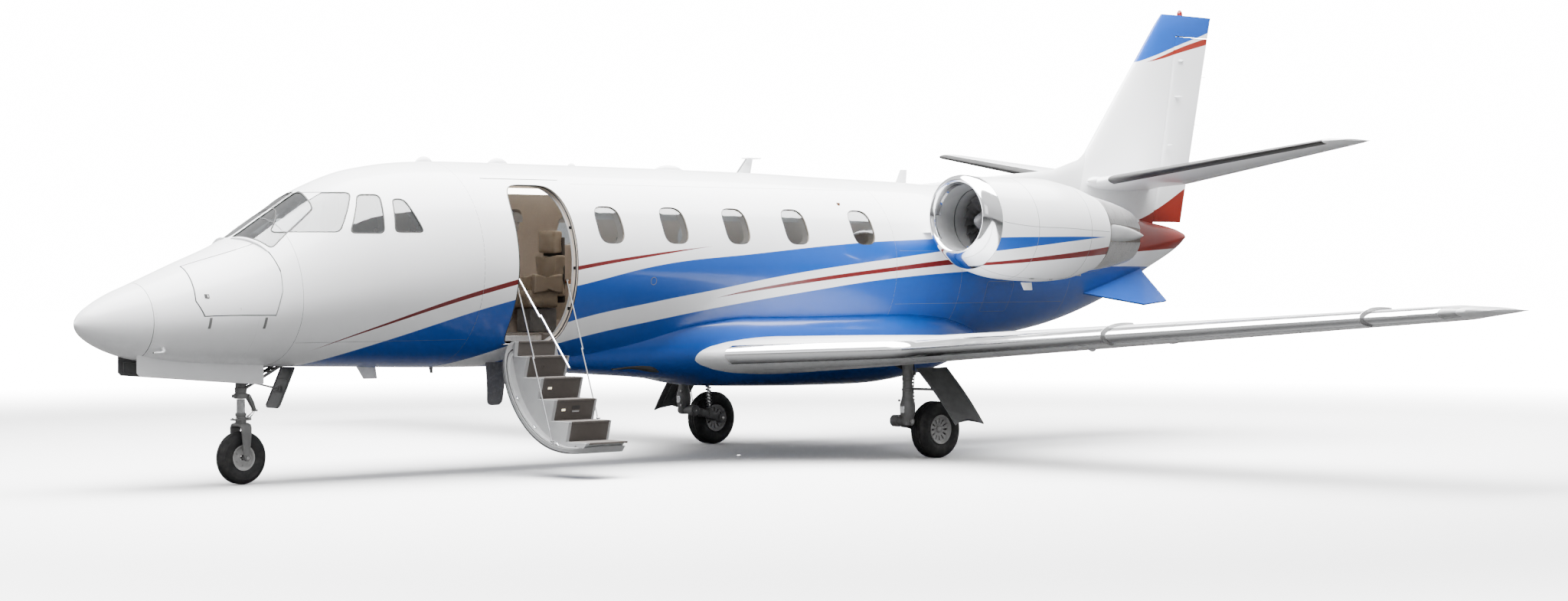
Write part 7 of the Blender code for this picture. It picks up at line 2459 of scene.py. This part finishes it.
def area_light(name, place, target, size, power, colour=(1.0, 1.0, 1.0)):
    data = bpy.data.lights.new(name, "AREA")
    data.shape = "RECTANGLE"
    data.size, data.size_y = size
    data.energy = power
    data.color = colour
    light = bpy.data.objects.new(name, data)
    bpy.context.scene.collection.objects.link(light)
    light.location = place
    light.rotation_euler = (Vector(target) - Vector(place)).to_track_quat("-Z", "Y").to_euler()
    light.visible_camera = False
    return light


def build_floor(reach):
    """A round floor that is pale near the aircraft and turns to plain white further out.
    It sends little light back up, so that the underside stays in shade."""
    turn = np.linspace(0, 2 * math.pi, 96, endpoint=False)
    radii = np.array((0.02, 6.0, 12.0, 24.0, 60.0, 120.0))
    points = np.zeros((len(radii), 96, 3))
    points[..., 0] = radii[:, None] * np.cos(turn)
    points[..., 1] = radii[:, None] * np.sin(turn)
    points[..., 2] = -0.002
    verts = points.reshape(-1, 3)
    faces = grid_faces(len(radii), 96)
    floor = new_mesh("floor", verts, faces, paint=floor_finish(reach), body=None, sharp=0)
    if floor.data.polygons[0].normal.z < 0:
        floor.data.flip_normals()


def floor_finish(reach):
    made = bpy.data.materials.new("floor")
    made.use_nodes = True
    nodes, links = made.node_tree.nodes, made.node_tree.links
    nodes.clear()
    coords = nodes.new("ShaderNodeTexCoord")
    length = nodes.new("ShaderNodeVectorMath")
    length.operation = "LENGTH"
    links.new(coords.outputs["Object"], length.inputs[0])
    span = nodes.new("ShaderNodeMapRange")
    span.interpolation_type = "SMOOTHSTEP"
    span.inputs["From Min"].default_value = reach
    span.inputs["From Max"].default_value = reach * 2.2
    links.new(length.outputs["Value"], span.inputs["Value"])
    pale = nodes.new("ShaderNodeBsdfDiffuse")
    pale.inputs["Color"].default_value = (FLOOR_SEEN, FLOOR_SEEN, FLOOR_SEEN, 1.0)
    light = nodes.new("ShaderNodeEmission")
    light.inputs["Strength"].default_value = BACKDROP
    shown = nodes.new("ShaderNodeMixShader")
    links.new(span.outputs["Result"], shown.inputs[0])
    links.new(pale.outputs[0], shown.inputs[1])
    links.new(light.outputs[0], shown.inputs[2])
    bounce = nodes.new("ShaderNodeBsdfDiffuse")
    bounce.inputs["Color"].default_value = (FLOOR_BOUNCE, FLOOR_BOUNCE, FLOOR_BOUNCE, 1.0)
    path = nodes.new("ShaderNodeLightPath")
    mix = nodes.new("ShaderNodeMixShader")
    links.new(path.outputs["Is Camera Ray"], mix.inputs[0])
    links.new(bounce.outputs[0], mix.inputs[1])
    links.new(shown.outputs[0], mix.inputs[2])
    out = nodes.new("ShaderNodeOutputMaterial")
    links.new(mix.outputs[0], out.inputs["Surface"])
    return made


def build_world(strength):
    """Plain white to the camera and a dimmer, slightly darker-below studio to everything else."""
    world = bpy.data.worlds.new("studio")
    bpy.context.scene.world = world
    world.use_nodes = True
    nodes, links = world.node_tree.nodes, world.node_tree.links
    nodes.clear()
    path = nodes.new("ShaderNodeLightPath")
    coords = nodes.new("ShaderNodeTexCoord")
    split = nodes.new("ShaderNodeSeparateXYZ")
    links.new(coords.outputs["Generated"], split.inputs[0])
    ramp = nodes.new("ShaderNodeValToRGB")
    ramp.color_ramp.elements[0].position = 0.0
    ramp.color_ramp.elements[0].color = (0.05, 0.05, 0.05, 1.0)
    ramp.color_ramp.elements[1].position = 1.0
    ramp.color_ramp.elements[1].color = (1.0, 1.0, 1.0, 1.0)
    for position, shade in ((0.495, 0.05), (0.505, 0.50), (0.60, 0.55), (0.80, 0.90)):
        element = ramp.color_ramp.elements.new(position)
        element.color = (shade, shade, shade * 1.01, 1.0)
    half = nodes.new("ShaderNodeMapRange")
    half.inputs["From Min"].default_value = -1.0
    links.new(split.outputs["Z"], half.inputs["Value"])
    links.new(half.outputs["Result"], ramp.inputs["Fac"])
    dim = nodes.new("ShaderNodeBackground")
    dim.inputs["Strength"].default_value = strength
    links.new(ramp.outputs["Color"], dim.inputs["Color"])
    white = nodes.new("ShaderNodeBackground")
    white.inputs["Strength"].default_value = BACKDROP
    mix = nodes.new("ShaderNodeMixShader")
    links.new(path.outputs["Is Camera Ray"], mix.inputs[0])
    links.new(dim.outputs[0], mix.inputs[1])
    links.new(white.outputs[0], mix.inputs[2])
    out = nodes.new("ShaderNodeOutputWorld")
    links.new(mix.outputs[0], out.inputs["Surface"])


def build_stage(settings):
    build_camera()
    build_world(settings.sky)
    build_floor(settings.floor_reach)
    area_light("overhead", (0.0, -0.4, 13.0), (0.0, -0.4, 0.0), (30.0, 12.0), settings.overhead)
    area_light("side_fill", (-16.0, -20.0, 9.0), (0.0, 0.0, 1.8), (14.0, 8.0), settings.fill)


# Add-on

class JetFuselageSettings(bpy.types.PropertyGroup):
    """A seam width for the fuselage, which nothing reads."""

    seam_width: FloatProperty(name="Seam width", description="Width of a panel seam", default=0.0035, unit="LENGTH")


class JetStageSettings(bpy.types.PropertyGroup):
    """The studio's lights and floor."""

    sky: FloatProperty(name="Sky strength", description="Strength of the white surroundings", default=1.5)
    overhead: FloatProperty(name="Overhead power", description="Power of the light above, in watts", default=24000.0)
    fill: FloatProperty(name="Fill power", description="Power of the light beside the camera, in watts", default=400.0)
    floor_reach: FloatProperty(
        name="Floor reach", description="Distance at which the floor starts to fade", default=12.0, unit="LENGTH"
    )


class JET_OT_fuselage(bpy.types.Operator):
    """Builds the hull's skins, wing fairing, seams and rivets"""

    bl_idname = "jet.fuselage"
    bl_label = "Fuselage"

    def execute(self, context):
        build_fuselage()
        return {"FINISHED"}


class JET_OT_baggage_doors(bpy.types.Operator):
    """Builds the nose baggage doors"""

    bl_idname = "jet.baggage_doors"
    bl_label = "Baggage doors"

    def execute(self, context):
        build_baggage_doors()
        return {"FINISHED"}


class JET_OT_cockpit_glass(bpy.types.Operator):
    """Builds the windscreen, the side panes and the rain deflectors"""

    bl_idname = "jet.cockpit_glass"
    bl_label = "Cockpit glass"

    def execute(self, context):
        build_cockpit_glass()
        return {"FINISHED"}


class JET_OT_cabin_windows(bpy.types.Operator):
    """Builds the cabin's panes, rims and pale blinds; the blinds also serve as a painted reflection at each window's
    top
    """

    bl_idname = "jet.cabin_windows"
    bl_label = "Cabin windows"

    def execute(self, context):
        build_cabin_windows()
        return {"FINISHED"}


class JET_OT_entry(bpy.types.Operator):
    """Builds the doorway, the airstair, its handrail and its stays"""

    bl_idname = "jet.entry"
    bl_label = "Entry"

    def execute(self, context):
        build_doorway()
        build_airstair()
        build_handrail()
        build_stays()
        return {"FINISHED"}


class JET_OT_cabin(bpy.types.Operator):
    """Builds the seats, the carpet, the cabinets and the cockpit's furniture"""

    bl_idname = "jet.cabin"
    bl_label = "Cabin"

    def execute(self, context):
        build_cabin()
        return {"FINISHED"}


class JET_OT_wings(bpy.types.Operator):
    """Builds the wings, flaps, ailerons and fences"""

    bl_idname = "jet.wings"
    bl_label = "Wings"

    def execute(self, context):
        build_wings()
        return {"FINISHED"}


class JET_OT_engines(bpy.types.Operator):
    """Builds the nacelles, fans, pylons and thrust reversers"""

    bl_idname = "jet.engines"
    bl_label = "Engines"

    def execute(self, context):
        build_engines()
        return {"FINISHED"}


class JET_OT_tail(bpy.types.Operator):
    """Builds the fin, rudder, tailplane and elevators"""

    bl_idname = "jet.tail"
    bl_label = "Tail"

    def execute(self, context):
        build_tail()
        return {"FINISHED"}


class JET_OT_gear(bpy.types.Operator):
    """Builds the main gear, the nose gear and their doors"""

    bl_idname = "jet.gear"
    bl_label = "Landing gear"

    def execute(self, context):
        build_main_gear()
        build_nose_gear()
        return {"FINISHED"}


class JET_OT_fittings(bpy.types.Operator):
    """Builds the antennas, probes, drains and lights on the skin"""

    bl_idname = "jet.fittings"
    bl_label = "Fittings"

    def execute(self, context):
        build_fittings()
        return {"FINISHED"}


class JET_OT_stage(bpy.types.Operator):
    """Builds the camera, the lights, the surroundings and the floor"""

    bl_idname = "jet.stage"
    bl_label = "Stage"

    def execute(self, context):
        build_stage(context.scene.jet_stage)
        return {"FINISHED"}


OPERATORS = (
    JET_OT_fuselage,
    JET_OT_baggage_doors,
    JET_OT_cockpit_glass,
    JET_OT_cabin_windows,
    JET_OT_entry,
    JET_OT_cabin,
    JET_OT_wings,
    JET_OT_engines,
    JET_OT_tail,
    JET_OT_gear,
    JET_OT_fittings,
    JET_OT_stage,
)


class JET_PT_looks(bpy.types.Panel):
    """Lists the jet's operators in the 3D view's sidebar"""

    bl_label = "Business jet looks"
    bl_idname = "JET_PT_looks"
    bl_space_type = "VIEW_3D"
    bl_region_type = "UI"
    bl_category = "Jet"

    def draw(self, context):
        for operator in OPERATORS:
            self.layout.operator(operator.bl_idname)
        for name in ("sky", "overhead", "fill", "floor_reach"):
            self.layout.prop(context.scene.jet_stage, name)


CLASSES = (JetFuselageSettings, JetStageSettings, *OPERATORS, JET_PT_looks)


def register():
    for cls in CLASSES:
        bpy.utils.register_class(cls)
    bpy.types.Scene.jet_fuselage = PointerProperty(type=JetFuselageSettings)
    bpy.types.Scene.jet_stage = PointerProperty(type=JetStageSettings)


def unregister():
    del bpy.types.Scene.jet_stage
    del bpy.types.Scene.jet_fuselage
    for cls in reversed(CLASSES):
        bpy.utils.unregister_class(cls)


def main():
    register()
    make_finishes()
    for operator in OPERATORS:
        group, name = operator.bl_idname.split(".")
        getattr(getattr(bpy.ops, group), name)()


if __name__ == "__main__":
    main()
